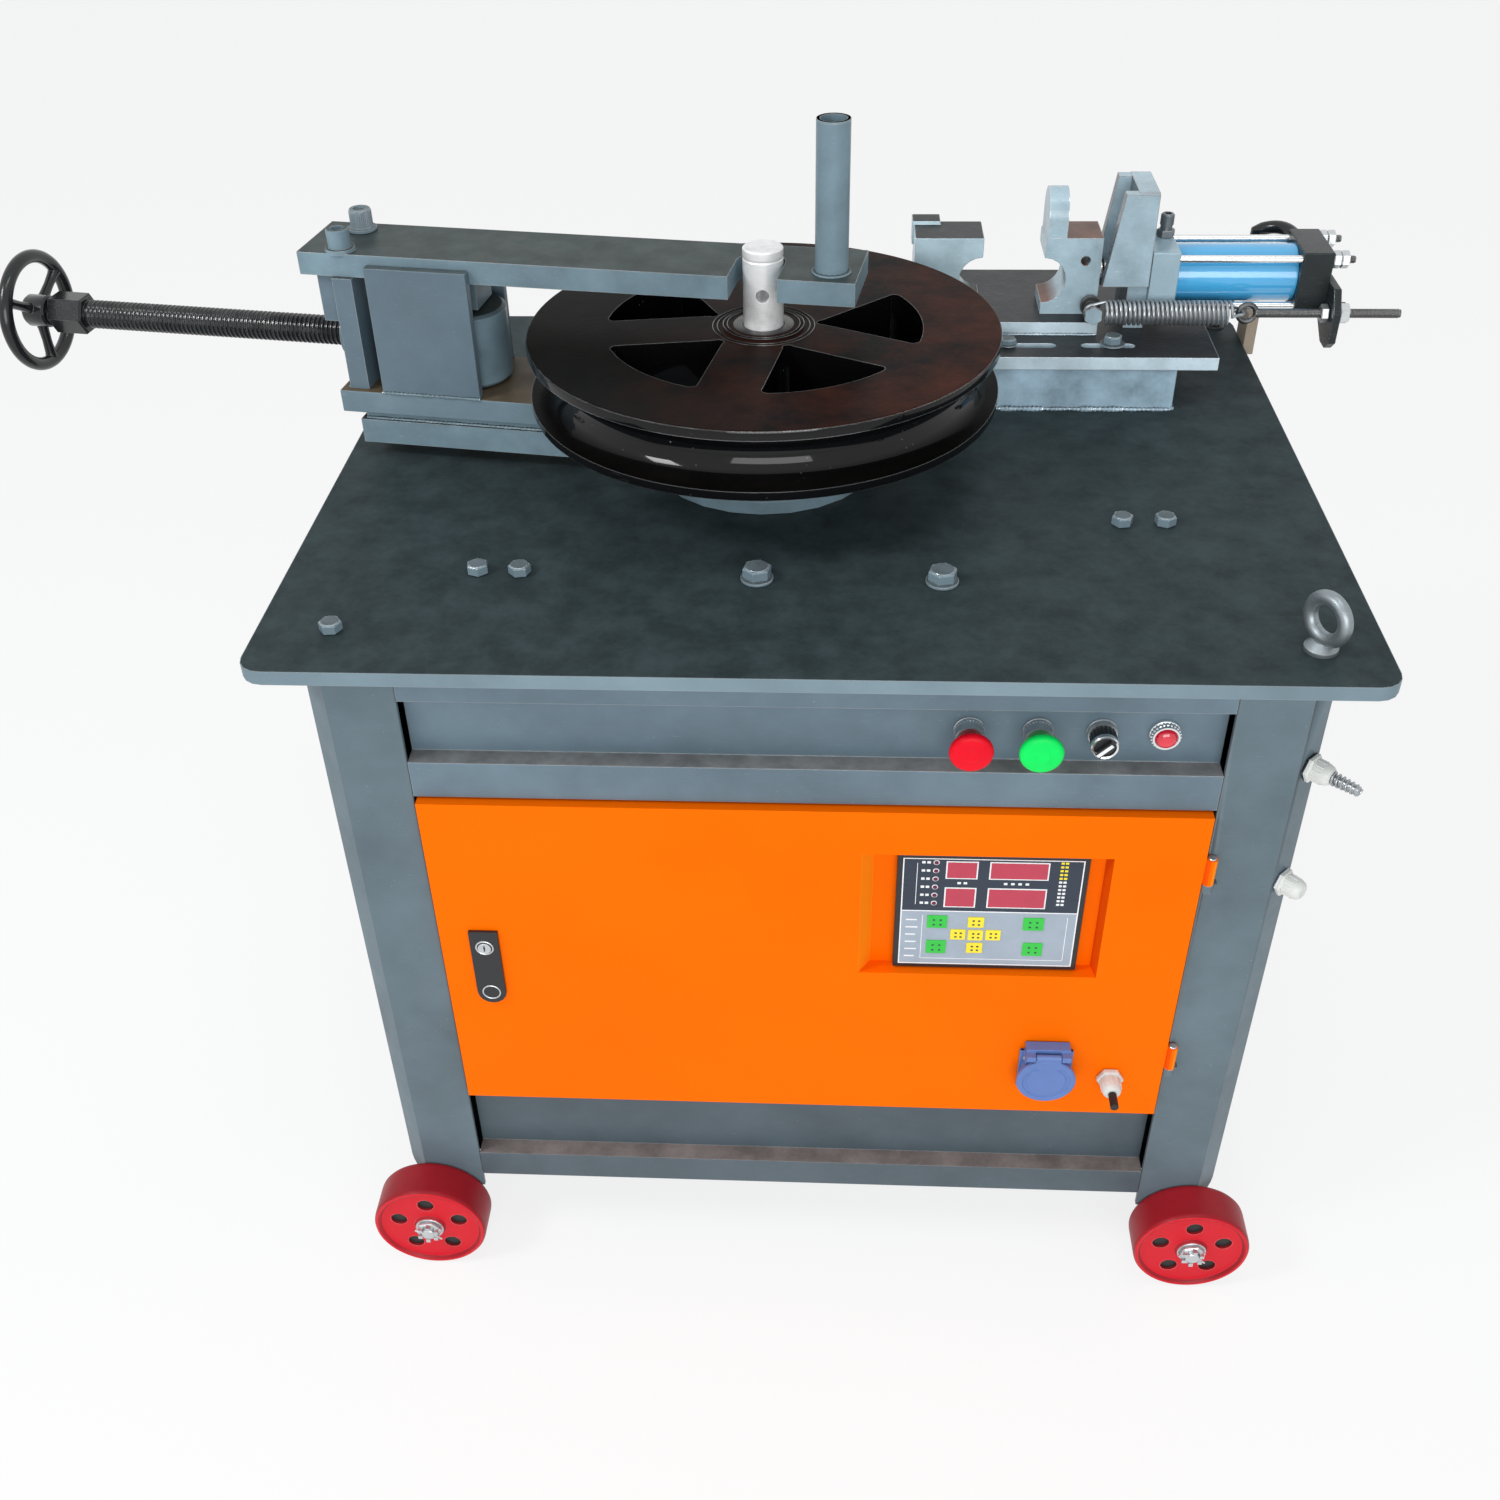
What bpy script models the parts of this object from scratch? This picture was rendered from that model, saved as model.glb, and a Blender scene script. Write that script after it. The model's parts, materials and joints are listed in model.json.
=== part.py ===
"""Pipe bending machine on a wheeled cabinet.

Lengths are metres. Everything is drawn in table coordinates: x runs right from the left edge of
the table top, y runs back from its front edge and z runs up from its upper face. The swinging arm
is drawn in its own frame, whose x runs outward from the spindle and whose y points to its front side.
"""
import math

import bmesh
import bpy
from mathutils import Matrix, Vector

# Fits
GAP = 0.0003
BITE = 0.001

# Table top
TABLE_WIDTH = 1.000
TABLE_DEPTH = 0.790
TABLE_THICK = 0.014
TABLE_CORNER = 0.022
TABLE_HEIGHT = 0.855

# Corner posts, folded from plate
POST_SIDE_INSET = 0.033
POST_FRONT_INSET = 0.050
POST_CHAMFER = 0.022
POST_FACE = 0.066
POST_RETURN = 0.068
POST_PLATE = 0.005
POST_END_ABOVE_AXLE = 0.0247
POST_FOOT_ROUND = 0.032

# Folded sheet between the posts
SHEET = 0.003
LIP_DROP = 0.052
PANEL_RECESS = 0.0205
PANEL_HEIGHT = 0.070
RAIL_DROP = 0.041
RAIL_RETURN = 0.025
LOW_PANEL_TOP_HEIGHT = 0.255
LOW_PANEL_HEIGHT = 0.106
LOW_RAIL_DROP = 0.038
CABINET_SHEET = 0.002
CABINET_FLOOR_HEIGHT = 0.113

# Road wheels and their axles
WHEEL_RADIUS = 0.065
WHEEL_WIDTH = 0.045
WHEEL_FACE_DISH = 0.003
WHEEL_RIM = 0.006
WHEEL_HOLE_RADIUS = 0.0095
WHEEL_HOLE_CIRCLE = 0.037
WHEEL_HOLES = 5
WHEEL_CENTRE_INSET = 0.061
AXLE_RADIUS = 0.0125
AXLE_END_RADIUS = 0.010
AXLE_NUT_RADIUS = 0.016
AXLE_NUT_LENGTH = 0.010
SADDLE_WIDTH = 0.036
SADDLE_DEPTH = 0.048
SADDLE_WALL = 0.008

# Door, its recess and what it carries
DOOR_PROUD = 0.008
DOOR_DEPTH = 0.020
DOOR_SHEET = 0.002
DOOR_SIDE_GAP = 0.003
DOOR_TOP_GAP = 0.003
DOOR_BOTTOM_GAP = 0.003
RECESS_WIDTH = 0.240
RECESS_FROM_RIGHT = 0.210
RECESS_TOP = -0.232
RECESS_BOTTOM = -0.391
RECESS_DEPTH = 0.018
RECESS_SPLAY = 0.012
UNIT_WIDTH = 0.185
UNIT_HEIGHT = 0.1505
UNIT_PROUD = 0.010
UNIT_FROM_RECESS_SIDE = 0.035
UNIT_FROM_RECESS_FOOT = 0.002
UNIT_BODY_INSET = 0.008
UNIT_BODY_DEPTH = 0.080
HINGE_PIN_RADIUS = 0.003
HINGE_BARREL_RADIUS = 0.0055
HINGE_LENGTH = 0.031
HINGE_FOOT = 0.010
HINGE_HIGH_TOP = -0.230
HINGE_LOW_ABOVE_FOOT = 0.106
HINGE_LEAF = 0.0035
LOCK_X = 0.170
LOCK_WIDTH = 0.030
LOCK_TOP = -0.343
LOCK_BOTTOM = -0.444
LOCK_PLATE = 0.004
LOCK_BARREL_Z = -0.364
LOCK_BARREL_RADIUS = 0.007
LOCK_BARREL_PROUD = 0.002
LOCK_CAM_LENGTH = 0.024
LOCK_CAM_THICK = 0.003
SOCKET_FROM_RIGHT = 0.249
SOCKET_ABOVE_DOOR_FOOT = 0.072
SOCKET_SIDE = 0.056
SOCKET_PLATE = 0.004
SOCKET_RADIUS = 0.026
SOCKET_REACH = 0.016
SOCKET_BORE = 0.019
FLAP_RADIUS = 0.031
FLAP_THICK = 0.005
FLAP_KNUCKLE = 0.0035
FLAP_KNUCKLE_LENGTH = 0.026
DOOR_GLAND_FROM_RIGHT = 0.179
DOOR_GLAND_ABOVE_DOOR_FOOT = 0.059

# Cable glands
GLAND_THREAD_RADIUS = 0.008
GLAND_HEX = 0.0125
GLAND_HEX_LENGTH = 0.007
GLAND_DOME_RADIUS = 0.011
GLAND_DOME_LENGTH = 0.018
GLAND_INNER_NUT = 0.006
LEAD_RADIUS = 0.0045
LEAD_LENGTH = 0.020
SIDE_GLAND_UPPER_Z = -0.1305
SIDE_GLAND_LOWER_Z = -0.2707
SPIRAL_TAIL_LENGTH = 0.030
SPIRAL_TAIL_RADIUS = 0.007

# Push buttons, switch and lamp on the upper panel
CONTROL_Z = -0.101
CONTROL_HOLE = 0.0112
RED_BUTTON_FROM_RIGHT = 0.355
GREEN_BUTTON_FROM_RIGHT = 0.292
SELECTOR_FROM_RIGHT = 0.234
LAMP_FROM_RIGHT = 0.177
MUSHROOM_RADIUS = 0.0203
MUSHROOM_THICK = 0.010
BUTTON_REACH = 0.042
BUTTON_TRAVEL = 0.004
BUTTON_STEM = 0.0075
COLLAR_RADIUS = 0.014
COLLAR_REACH = 0.018
BLOCK_DEPTH = 0.032
BLOCK_HEIGHT = 0.030
SELECTOR_RADIUS = 0.0125
SELECTOR_REACH = 0.031
SELECTOR_RIDGE = 0.006
LAMP_BEZEL_RADIUS = 0.0142
LAMP_REACH = 0.016
LAMP_LENS_RADIUS = 0.0105

# Spindle, bearing housing and bending die
SPINDLE_LEFT_OF_MIDDLE = 0.055
SPINDLE_Y = 0.400
SPINDLE_RADIUS = 0.020
SPINDLE_TOP = 0.230
SPINDLE_SHOULDER = 0.032
SPINDLE_HOLE_Z = 0.187
SPINDLE_HOLE_RADIUS = 0.0065
HOUSING_RADIUS = 0.115
HOUSING_THICK = 0.016
HOUSING_SPIGOT = 0.070
HOUSING_SPIGOT_DROP = 0.014
HUB_RADIUS = 0.055
DIE_RADIUS = 0.236
DIE_HEIGHT = 0.070
DIE_HUB_RING = 0.043
TUBE_RADIUS = 0.025
PITCH_RADIUS = 0.232
DIE_WINDOWS = 5
WINDOW_FIRST_ANGLE = math.radians(-64)
WINDOW_INNER = 0.054
WINDOW_OUTER = 0.158
WINDOW_HALF_ANGLE = math.radians(24.5)
WINDOW_INNER_HALF = 0.0055
WINDOW_CORNER = 0.007

# Arm: rest angle and plates, heights above the table top
ARM_ANGLE = math.radians(171.5)
ARM_HALF_WIDTH = 0.055
BASE_PLATE = 0.0262
BASE_REACH = 0.422
SPACER_THICK = 0.0072
SPACER_INSET = 0.005
LOWER_PLATE = 0.024
LOWER_HALF_WIDTH = 0.056
LOWER_REACH = 0.440
DIE_CLEARANCE = 0.006
ARM_WINDOW_HEIGHT = 0.1177
END_PLATE_START = 0.409
END_PLATE = 0.021
END_HALF_WIDTH = 0.050
BOSS_RADIUS = 0.025
BOSS_LENGTH = 0.015
PIVOT_BLOCK = 0.021
PIVOT_BLOCK_HALF = 0.038
PIVOT_BLOCK_HEIGHT = 0.050
SIDE_PLATE = 0.010
SIDE_START = 0.286
SIDE_END = 0.392
STOP_RISE = 0.0145

# Pressure roller, its carrier and the feed screw
ROLLER_DISTANCE = 0.310
ROLLER_RADIUS = 0.040
ROLLER_HEIGHT = 0.078
ROLLER_PIN = 0.012
ROLLER_CLEARANCE = 0.002
CARRIER_CHEEK_HALF = 0.022
CARRIER_CHEEK_NOSE = 0.020
FEED_IN = 0.020
FEED_OUT = 0.014
SCREW_RADIUS = 0.015
SCREW_PITCH = 0.005
SCREW_SEAT = 0.020
SCREW_TO_COUPLING = 0.3505
COUPLING_FLATS = 0.038
COUPLING_LENGTH = 0.040
STUB_RADIUS = 0.010
STUB_LENGTH = 0.030
HANDWHEEL_RADIUS = 0.058
HANDWHEEL_RIM = 0.0065
HANDWHEEL_HUB = 0.017
HANDWHEEL_HUB_LENGTH = 0.026
HANDWHEEL_SPOKES = 3
HANDWHEEL_SPOKE = 0.005

# Top plate of the arm and its lifting handle
TOP_PLATE = 0.023
TOP_HALF_WIDTH = 0.045
TOP_OUTER = 0.465
TOP_INNER = -0.097
TOP_SLOT_HALF = 0.024
TOP_SLOT_CENTRE = 0.002
HANDLE_A = -0.070
HANDLE_SIDE = 0.017
HANDLE_RADIUS = 0.016
HANDLE_BORE = 0.0125
HANDLE_BORE_DEPTH = 0.100
HANDLE_HEIGHT = 0.142
SCREW_A = 0.423
PIVOT_SIDE = -0.025
CLAMP_SCREW_SIDE = 0.033
CAP_SCREW_RADIUS = 0.008
CAP_HEAD_RADIUS = 0.0115
CAP_HEAD_HEIGHT = 0.019
CAP_WASHER_RADIUS = 0.015
CAP_WASHER = 0.003
CAP_SOCKET = 0.006
PIVOT_DEPTH = 0.030

# Drive under the table
GEAR_MODULE = 0.00625
GEAR_TEETH = 45
PINION_TEETH = 15
GEAR_FACE = 0.028
GEAR_DROP = 0.004
TOOTH_THINNING = 0.0006
CENTRE_SLACK = 0.0003
PRESSURE_ANGLE = math.radians(20)
ADDENDUM = 0.9
DEDENDUM = 1.2
THRUST_RADIUS = 0.030
SHELF_DROP = 0.110
SHELF_THICK = 0.012
SHELF_FRONT = 0.150
PINION_SHAFT = 0.012
GEARBOX_SIDE = 0.130
GEARBOX_HEIGHT = 0.118
MOTOR_RADIUS = 0.062
MOTOR_LENGTH = 0.235
TANK_FROM_RIGHT = 0.090
TANK_FROM_BACK = 0.100
TANK_WIDTH = 0.220
TANK_DEPTH = 0.210
TANK_HEIGHT = 0.230
PUMP_RADIUS = 0.060
PUMP_HEIGHT = 0.150

# Clamp: base, rail, jaws
CLAMP_FROM_SPINDLE = 0.145
CLAMP_BLOCK_LENGTH = 0.298
CLAMP_BLOCK_FRONT = 0.530
CLAMP_BLOCK_DEPTH = 0.220
CLAMP_BLOCK_HEIGHT = 0.0475
RAIL_LENGTH = 0.340
RAIL_OVERHANG = 0.003
RAIL_THICK = 0.0142
RAIL_SLOT_HALF = 0.0055
RAIL_SLOT_LENGTH = 0.058
RAIL_SLOT_INSET = 0.032
RAIL_SLOTS = (0.110, 0.196)
SLIDEWAY_LENGTH = 0.216
SLIDEWAY_INSET = 0.062
SLIDEWAY_RISE = 0.014
JAW_Y = 0.640
JAW_DEPTH = 0.055
JAW_TOP = 0.162
FIXED_JAW_LENGTH = 0.075
FIXED_LUG_LENGTH = 0.031
FIXED_LUG_DEPTH = 0.024
FIXED_LUG_RISE = 0.004
JAW_OPEN = 0.067
MOVING_JAW_LENGTH = 0.062
MOVING_LUG_LENGTH = 0.021
MOVING_LUG_TOP = 0.209
JAW_HOLE_RADIUS = 0.0055
JAW_HOLE_X = 0.045
JAW_HOLE_Z = 0.137

# Clamp cylinder
BRACKET_PLATE = 0.022
BRACKET_BACK = 0.031
BRACKET_HALF_DEPTH = 0.0385
BRACKET_TOP = 0.213
GUSSET = 0.014
GUSSET_TOP_REACH = 0.014
GUSSET_LOW_REACH = 0.0287
GUSSET_BOTTOM = 0.112
BRACKET_FRONT_RELIEF = 0.006
CAP_HALF_DEPTH = 0.039
CAP_HALF_HEIGHT = 0.035
FRONT_CAP = 0.030
CYLINDER_STROKE_BODY = 0.131
BARREL_RADIUS = 0.031
BARREL_WALL = 0.005
REAR_CAP = 0.033
PISTON_ROD = 0.0125
PISTON_THICK = 0.018
PISTON_FROM_CAP = 0.005
TIE_ROD = 0.0042
TIE_HALF_Y = 0.032
TIE_HALF_Z = 0.026
TIE_NUT = 0.0085
TIE_NUT_LENGTH = 0.009
TIE_END = 0.024
PORT_RADIUS = 0.0075
PORT_HEIGHT = 0.027
PORT_X = 0.010
PORT_BACK = 0.014
EAR_THICK = 0.008
EAR_FRONT = 0.020
EAR_BOTTOM = 0.053
EAR_TOP = 0.118

# Return spring and its adjuster
SPRING_SIDE = 0.055
SPRING_Z = 0.0895
SPRING_RADIUS = 0.0117
SPRING_WIRE = 0.0015
SPRING_CURLS = 25
SPRING_POINTS = 8
SPRING_COIL_START = 0.0135
SPRING_COIL_LENGTH = 0.136
HOOK_BOLT_RADIUS = 0.006
HOOK_BOLT_X = 0.054
HOOK_HEAD_RADIUS = 0.010
HOOK_HEAD = 0.005
HOOK_BOLT_PAST_SPRING = 0.006
EYE_RADIUS = 0.0095
EYE_WIRE = 0.003
EYE_FROM_COIL = 0.018
ADJUSTER_RADIUS = 0.005
ADJUSTER_END = 1.130
ADJUSTER_NUT = 0.0095
ADJUSTER_NUT_LENGTH = 0.008

# Elbow behind the rear cap, and the hose that hangs from it into the table
HOSE_RADIUS = 0.0065
HOSE_FITTING_RADIUS = 0.010
HOSE_FITTING = 0.012
HOSE_PORT_Z = 0.128
HOSE_PORT_FROM_END = 0.016
ELBOW_RADIUS = 0.0075
ELBOW_BACK = 0.044
ELBOW_SIDE = 0.0375
ELBOW_RISE = 0.007
ELBOW_DROP = 0.030
HOSE_LAND_FROM_RIGHT = 0.024
HOSE_LAND_FROM_BACK = 0.025
HOSE_STRAIGHT = 0.008
HOSE_IN_TABLE = 0.009
HOSE_STEP = 0.014

# Eye bolt
EYE_BOLT_FROM_RIGHT = 0.060
EYE_BOLT_Y = 0.056
EYE_BOLT_RING = 0.0195
EYE_BOLT_BAR = 0.0065
EYE_BOLT_COLLAR = 0.0150
EYE_BOLT_TURN = math.radians(58)
EYE_BOLT_COLLAR_HEIGHT = 0.007
EYE_BOLT_SHANK = 0.0075

SPINDLE_X = TABLE_WIDTH / 2 - SPINDLE_LEFT_OF_MIDDLE

# Heights that follow from the stack on the spindle, above the table top
HOUSING_TOP = HOUSING_THICK
BASE_LOW = HOUSING_TOP + GAP
BASE_TOP = BASE_LOW + BASE_PLATE
SPACER_TOP = BASE_TOP + SPACER_THICK
LOWER_LOW = SPACER_TOP + GAP
LOWER_TOP = LOWER_LOW + LOWER_PLATE
DIE_LOW = LOWER_TOP + DIE_CLEARANCE
DIE_TOP = DIE_LOW + DIE_HEIGHT
BEND_Z = (DIE_LOW + DIE_TOP) / 2
ARM_FLOOR = LOWER_TOP + GAP
ARM_CEILING = ARM_FLOOR + ARM_WINDOW_HEIGHT - GAP
TOP_LOW = ARM_CEILING + GAP
TOP_TOP = TOP_LOW + TOP_PLATE
UNDER_TABLE = -TABLE_THICK
GEAR_TOP = UNDER_TABLE - HOUSING_SPIGOT_DROP - GEAR_DROP
GEAR_LOW = GEAR_TOP - GEAR_FACE
HUB_LOW = GEAR_LOW - 0.002
SHELF_TOP = -SHELF_DROP
SHELF_LOW = SHELF_TOP - SHELF_THICK

# Faces of the cabinet
POST_FRONT = POST_FRONT_INSET
POST_INNER_X = POST_SIDE_INSET + POST_CHAMFER + POST_FACE
POST_TOP = UNDER_TABLE - GAP
WHEEL_Z = WHEEL_RADIUS - TABLE_HEIGHT
POST_BOTTOM = WHEEL_Z + POST_END_ABOVE_AXLE
PANEL_Y = POST_FRONT + PANEL_RECESS
LIP_BOTTOM = UNDER_TABLE - LIP_DROP
PANEL_BOTTOM = LIP_BOTTOM - PANEL_HEIGHT
RAIL_BOTTOM = PANEL_BOTTOM - RAIL_DROP
LOW_PANEL_TOP = LOW_PANEL_TOP_HEIGHT - TABLE_HEIGHT
LOW_RAIL_TOP = LOW_PANEL_TOP - LOW_PANEL_HEIGHT
LOW_RAIL_BOTTOM = LOW_RAIL_TOP - LOW_RAIL_DROP
DOOR_FRONT = POST_FRONT - DOOR_PROUD
DOOR_BACK = DOOR_FRONT + DOOR_DEPTH
DOOR_LEFT = POST_INNER_X + DOOR_SIDE_GAP
DOOR_RIGHT = TABLE_WIDTH - DOOR_LEFT
DOOR_TOP = RAIL_BOTTOM - DOOR_TOP_GAP
DOOR_BOTTOM = LOW_PANEL_TOP + DOOR_BOTTOM_GAP
SOCKET_Z = DOOR_BOTTOM + SOCKET_ABOVE_DOOR_FOOT
DOOR_GLAND_Z = DOOR_BOTTOM + DOOR_GLAND_ABOVE_DOOR_FOOT
HINGE_TOPS = (HINGE_HIGH_TOP, DOOR_BOTTOM + HINGE_LOW_ABOVE_FOOT)
HINGE_X = DOOR_RIGHT + HINGE_BARREL_RADIUS + GAP
HINGE_Y = DOOR_FRONT + 0.0013
CABINET_BOTTOM = CABINET_FLOOR_HEIGHT - TABLE_HEIGHT
RECESS_RIGHT = TABLE_WIDTH - RECESS_FROM_RIGHT
RECESS_LEFT = RECESS_RIGHT - RECESS_WIDTH
UNIT_LEFT = RECESS_LEFT + UNIT_FROM_RECESS_SIDE
SOCKET_X = TABLE_WIDTH - SOCKET_FROM_RIGHT
DOOR_GLAND_X = TABLE_WIDTH - DOOR_GLAND_FROM_RIGHT
RED_BUTTON_X = TABLE_WIDTH - RED_BUTTON_FROM_RIGHT
GREEN_BUTTON_X = TABLE_WIDTH - GREEN_BUTTON_FROM_RIGHT
SELECTOR_X = TABLE_WIDTH - SELECTOR_FROM_RIGHT
LAMP_X = TABLE_WIDTH - LAMP_FROM_RIGHT
TANK_LEFT = TABLE_WIDTH - TANK_FROM_RIGHT - TANK_WIDTH
TANK_FRONT = TABLE_DEPTH - TANK_FROM_BACK - TANK_DEPTH
EYE_BOLT_X = TABLE_WIDTH - EYE_BOLT_FROM_RIGHT
HOSE_LAND_X = TABLE_WIDTH - HOSE_LAND_FROM_RIGHT
HOSE_LAND_Y = TABLE_DEPTH - HOSE_LAND_FROM_BACK

# Faces of the clamp
CLAMP_LEFT = SPINDLE_X + CLAMP_FROM_SPINDLE
BLOCK_TOP = GAP + CLAMP_BLOCK_HEIGHT
RAIL_LOW = BLOCK_TOP + GAP
RAIL_TOP = RAIL_LOW + RAIL_THICK
RAIL_FRONT = CLAMP_BLOCK_FRONT - RAIL_OVERHANG
RAIL_BACK = CLAMP_BLOCK_FRONT + CLAMP_BLOCK_DEPTH
SLIDEWAY_TOP = RAIL_TOP + SLIDEWAY_RISE
JAW_LOW = SLIDEWAY_TOP + GAP
FIXED_FACE = SPINDLE_X + PITCH_RADIUS
MOVING_FACE = FIXED_FACE + JAW_OPEN
MOVING_BACK = MOVING_FACE + MOVING_JAW_LENGTH
BRACKET_FACE = MOVING_BACK + BRACKET_BACK
BRACKET_REAR = BRACKET_FACE + BRACKET_PLATE
FRONT_CAP_END = BRACKET_REAR + GAP + FRONT_CAP
REAR_CAP_START = FRONT_CAP_END + CYLINDER_STROKE_BODY
REAR_CAP_END = REAR_CAP_START + REAR_CAP
SPRING_Y = JAW_Y - SPRING_SIDE
HOOK_X = MOVING_FACE + HOOK_BOLT_X
COIL_START = HOOK_X + SPRING_COIL_START
COIL_END = COIL_START + SPRING_COIL_LENGTH
EYE_X = COIL_END + EYE_FROM_COIL
EAR_END = REAR_CAP_END + EAR_THICK

# Numbers of facets
ROUND_LARGE = 40
ROUND_MEDIUM = 24
ROUND_SMALL = 12
ROUND_TINY = 8

for leftover in list(bpy.data.objects):
    bpy.data.objects.remove(leftover, do_unlink=True)

PARTS = bpy.data.collections.new("pipe_bending_machine")
CUTTERS = bpy.data.collections.new("cutters")
bpy.context.scene.collection.children.link(PARTS)
bpy.context.scene.collection.children.link(CUTTERS)

rest_frames = {}
palette = {}


def paint(name, colour, roughness, metallic):
    """A Principled material that several pieces share."""
    material = bpy.data.materials.new(name)
    material.use_nodes = True
    shader = material.node_tree.nodes["Principled BSDF"]
    shader.inputs["Base Color"].default_value = (*colour, 1)
    shader.inputs["Roughness"].default_value = roughness
    shader.inputs["Metallic"].default_value = metallic
    palette[name] = material


def make_materials():
    paint("machine_grey", (0.095, 0.125, 0.150), 0.42, 0.0)
    paint("table_grey", (0.050, 0.062, 0.072), 0.45, 0.0)
    paint("door_orange", (1.000, 0.240, 0.010), 0.35, 0.0)
    paint("die_black", (0.012, 0.011, 0.010), 0.12, 0.0)
    paint("bright_steel", (0.560, 0.570, 0.560), 0.28, 1.0)
    paint("dark_steel", (0.090, 0.090, 0.090), 0.40, 1.0)
    paint("black_paint", (0.012, 0.012, 0.013), 0.30, 0.0)
    paint("cylinder_blue", (0.060, 0.260, 0.560), 0.28, 0.0)
    paint("wheel_red", (0.620, 0.012, 0.030), 0.40, 0.0)
    paint("button_red", (0.800, 0.008, 0.015), 0.25, 0.0)
    paint("button_green", (0.010, 0.720, 0.080), 0.25, 0.0)
    paint("socket_blue", (0.070, 0.160, 0.560), 0.35, 0.0)
    paint("white_plastic", (0.800, 0.820, 0.820), 0.35, 0.0)
    paint("black_rubber", (0.015, 0.015, 0.015), 0.60, 0.0)
    paint("black_plastic", (0.020, 0.020, 0.022), 0.35, 0.0)
    paint("galvanised", (0.420, 0.440, 0.450), 0.45, 1.0)


def empty(name, parent, matrix):
    """An empty whose place is given in its parent's frame."""
    holder = bpy.data.objects.new(name, None)
    holder.empty_display_size = 0.05
    PARTS.objects.link(holder)
    holder.parent = parent
    holder.matrix_basis = matrix
    before = rest_frames[parent.name] if parent else Matrix()
    rest_frames[name] = before @ matrix
    return holder


def at(x, y, z):
    return Matrix.Translation((x, y, z))


def attach(piece, rider, drawn_in):
    """Parent a piece to the empty it moves with, keeping it where it was drawn."""
    piece.parent = rider
    piece.matrix_parent_inverse = rest_frames[rider.name].inverted() @ rest_frames[drawn_in.name]


def smooth(mesh, angle=math.radians(32)):
    mesh.shade_smooth()
    mesh.set_sharp_from_angle(angle=angle)


def piece_from(mesh, name, material, rider, drawn_in=None):
    """A visible sub-part."""
    smooth(mesh)
    mesh.materials.clear()
    mesh.materials.append(palette[material])
    piece = bpy.data.objects.new(name, mesh)
    PARTS.objects.link(piece)
    attach(piece, rider, drawn_in or datum)
    return piece


def combine(piece, mesh, operation):
    """Cut a mesh from a piece, or join it, in the frame that the piece was drawn in."""
    count = len(piece.modifiers) + 1
    shape = bpy.data.objects.new(f"{piece.name}_{operation.lower()}_{count}", mesh)
    CUTTERS.objects.link(shape)
    shape.hide_render = True
    shape.display_type = "WIRE"
    shape.parent = piece.parent
    shape.matrix_parent_inverse = piece.matrix_parent_inverse.copy()
    modifier = piece.modifiers.new(f"{operation.title()} {count}", "BOOLEAN")
    modifier.operation = operation
    modifier.object = shape
    modifier.solver = "EXACT"


def cut(piece, *meshes):
    for mesh in meshes:
        combine(piece, mesh, "DIFFERENCE")


def join(piece, *meshes):
    for mesh in meshes:
        combine(piece, mesh, "UNION")


def mesh_of(build):
    """Make a mesh by running a function on an empty bmesh."""
    shape = bmesh.new()
    build(shape)
    bmesh.ops.recalc_face_normals(shape, faces=shape.faces)
    mesh = bpy.data.meshes.new("shape")
    shape.to_mesh(mesh)
    shape.free()
    return mesh


def block(low, high):
    """A box between two corners."""
    low = Vector(low)
    high = Vector(high)
    size = high - low

    def build(shape):
        matrix = Matrix.Translation((low + high) / 2) @ Matrix.Diagonal((*size, 1))
        bmesh.ops.create_cube(shape, size=1, matrix=matrix)

    return mesh_of(build)


def along(start, end):
    """The matrix that stands local z on the line from start to end, halfway."""
    start = Vector(start)
    end = Vector(end)
    turn = (end - start).to_track_quat("Z", "Y").to_matrix().to_4x4()
    return Matrix.Translation((start + end) / 2) @ turn


def rod(start, end, radius, sides=ROUND_SMALL, end_radius=None):
    """A cylinder or a cone between two points."""
    length = (Vector(end) - Vector(start)).length

    def build(shape):
        bmesh.ops.create_cone(
            shape,
            cap_ends=True,
            segments=sides,
            radius1=radius,
            radius2=radius if end_radius is None else end_radius,
            depth=length,
            matrix=along(start, end),
        )

    return mesh_of(build)


def hexagon(start, end, flats):
    """A hexagonal bar, by its width across flats."""
    return rod(start, end, flats / 2 / math.cos(math.radians(30)), 6)


def evaluated_mesh(source, merge=0.00001):
    """The mesh of a curve or a modified object, with its points in the object's parent frame."""
    bpy.context.view_layer.update()
    graph = bpy.context.evaluated_depsgraph_get()
    mesh = bpy.data.meshes.new_from_object(source.evaluated_get(graph))
    mesh.transform(source.matrix_world)
    data = source.data
    bpy.data.objects.remove(source, do_unlink=True)
    if isinstance(data, bpy.types.Curve):
        bpy.data.curves.remove(data)
    shape = bmesh.new()
    shape.from_mesh(mesh)
    bmesh.ops.remove_doubles(shape, verts=shape.verts, dist=merge)
    bmesh.ops.recalc_face_normals(shape, faces=shape.faces)
    shape.to_mesh(mesh)
    shape.free()
    return mesh


AXES = {
    "X": Matrix(((0, 0, 1, 0), (1, 0, 0, 0), (0, 1, 0, 0), (0, 0, 0, 1))),
    "Y": Matrix(((1, 0, 0, 0), (0, 0, -1, 0), (0, 1, 0, 0), (0, 0, 0, 1))),
    "Z": Matrix(),
}


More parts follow.
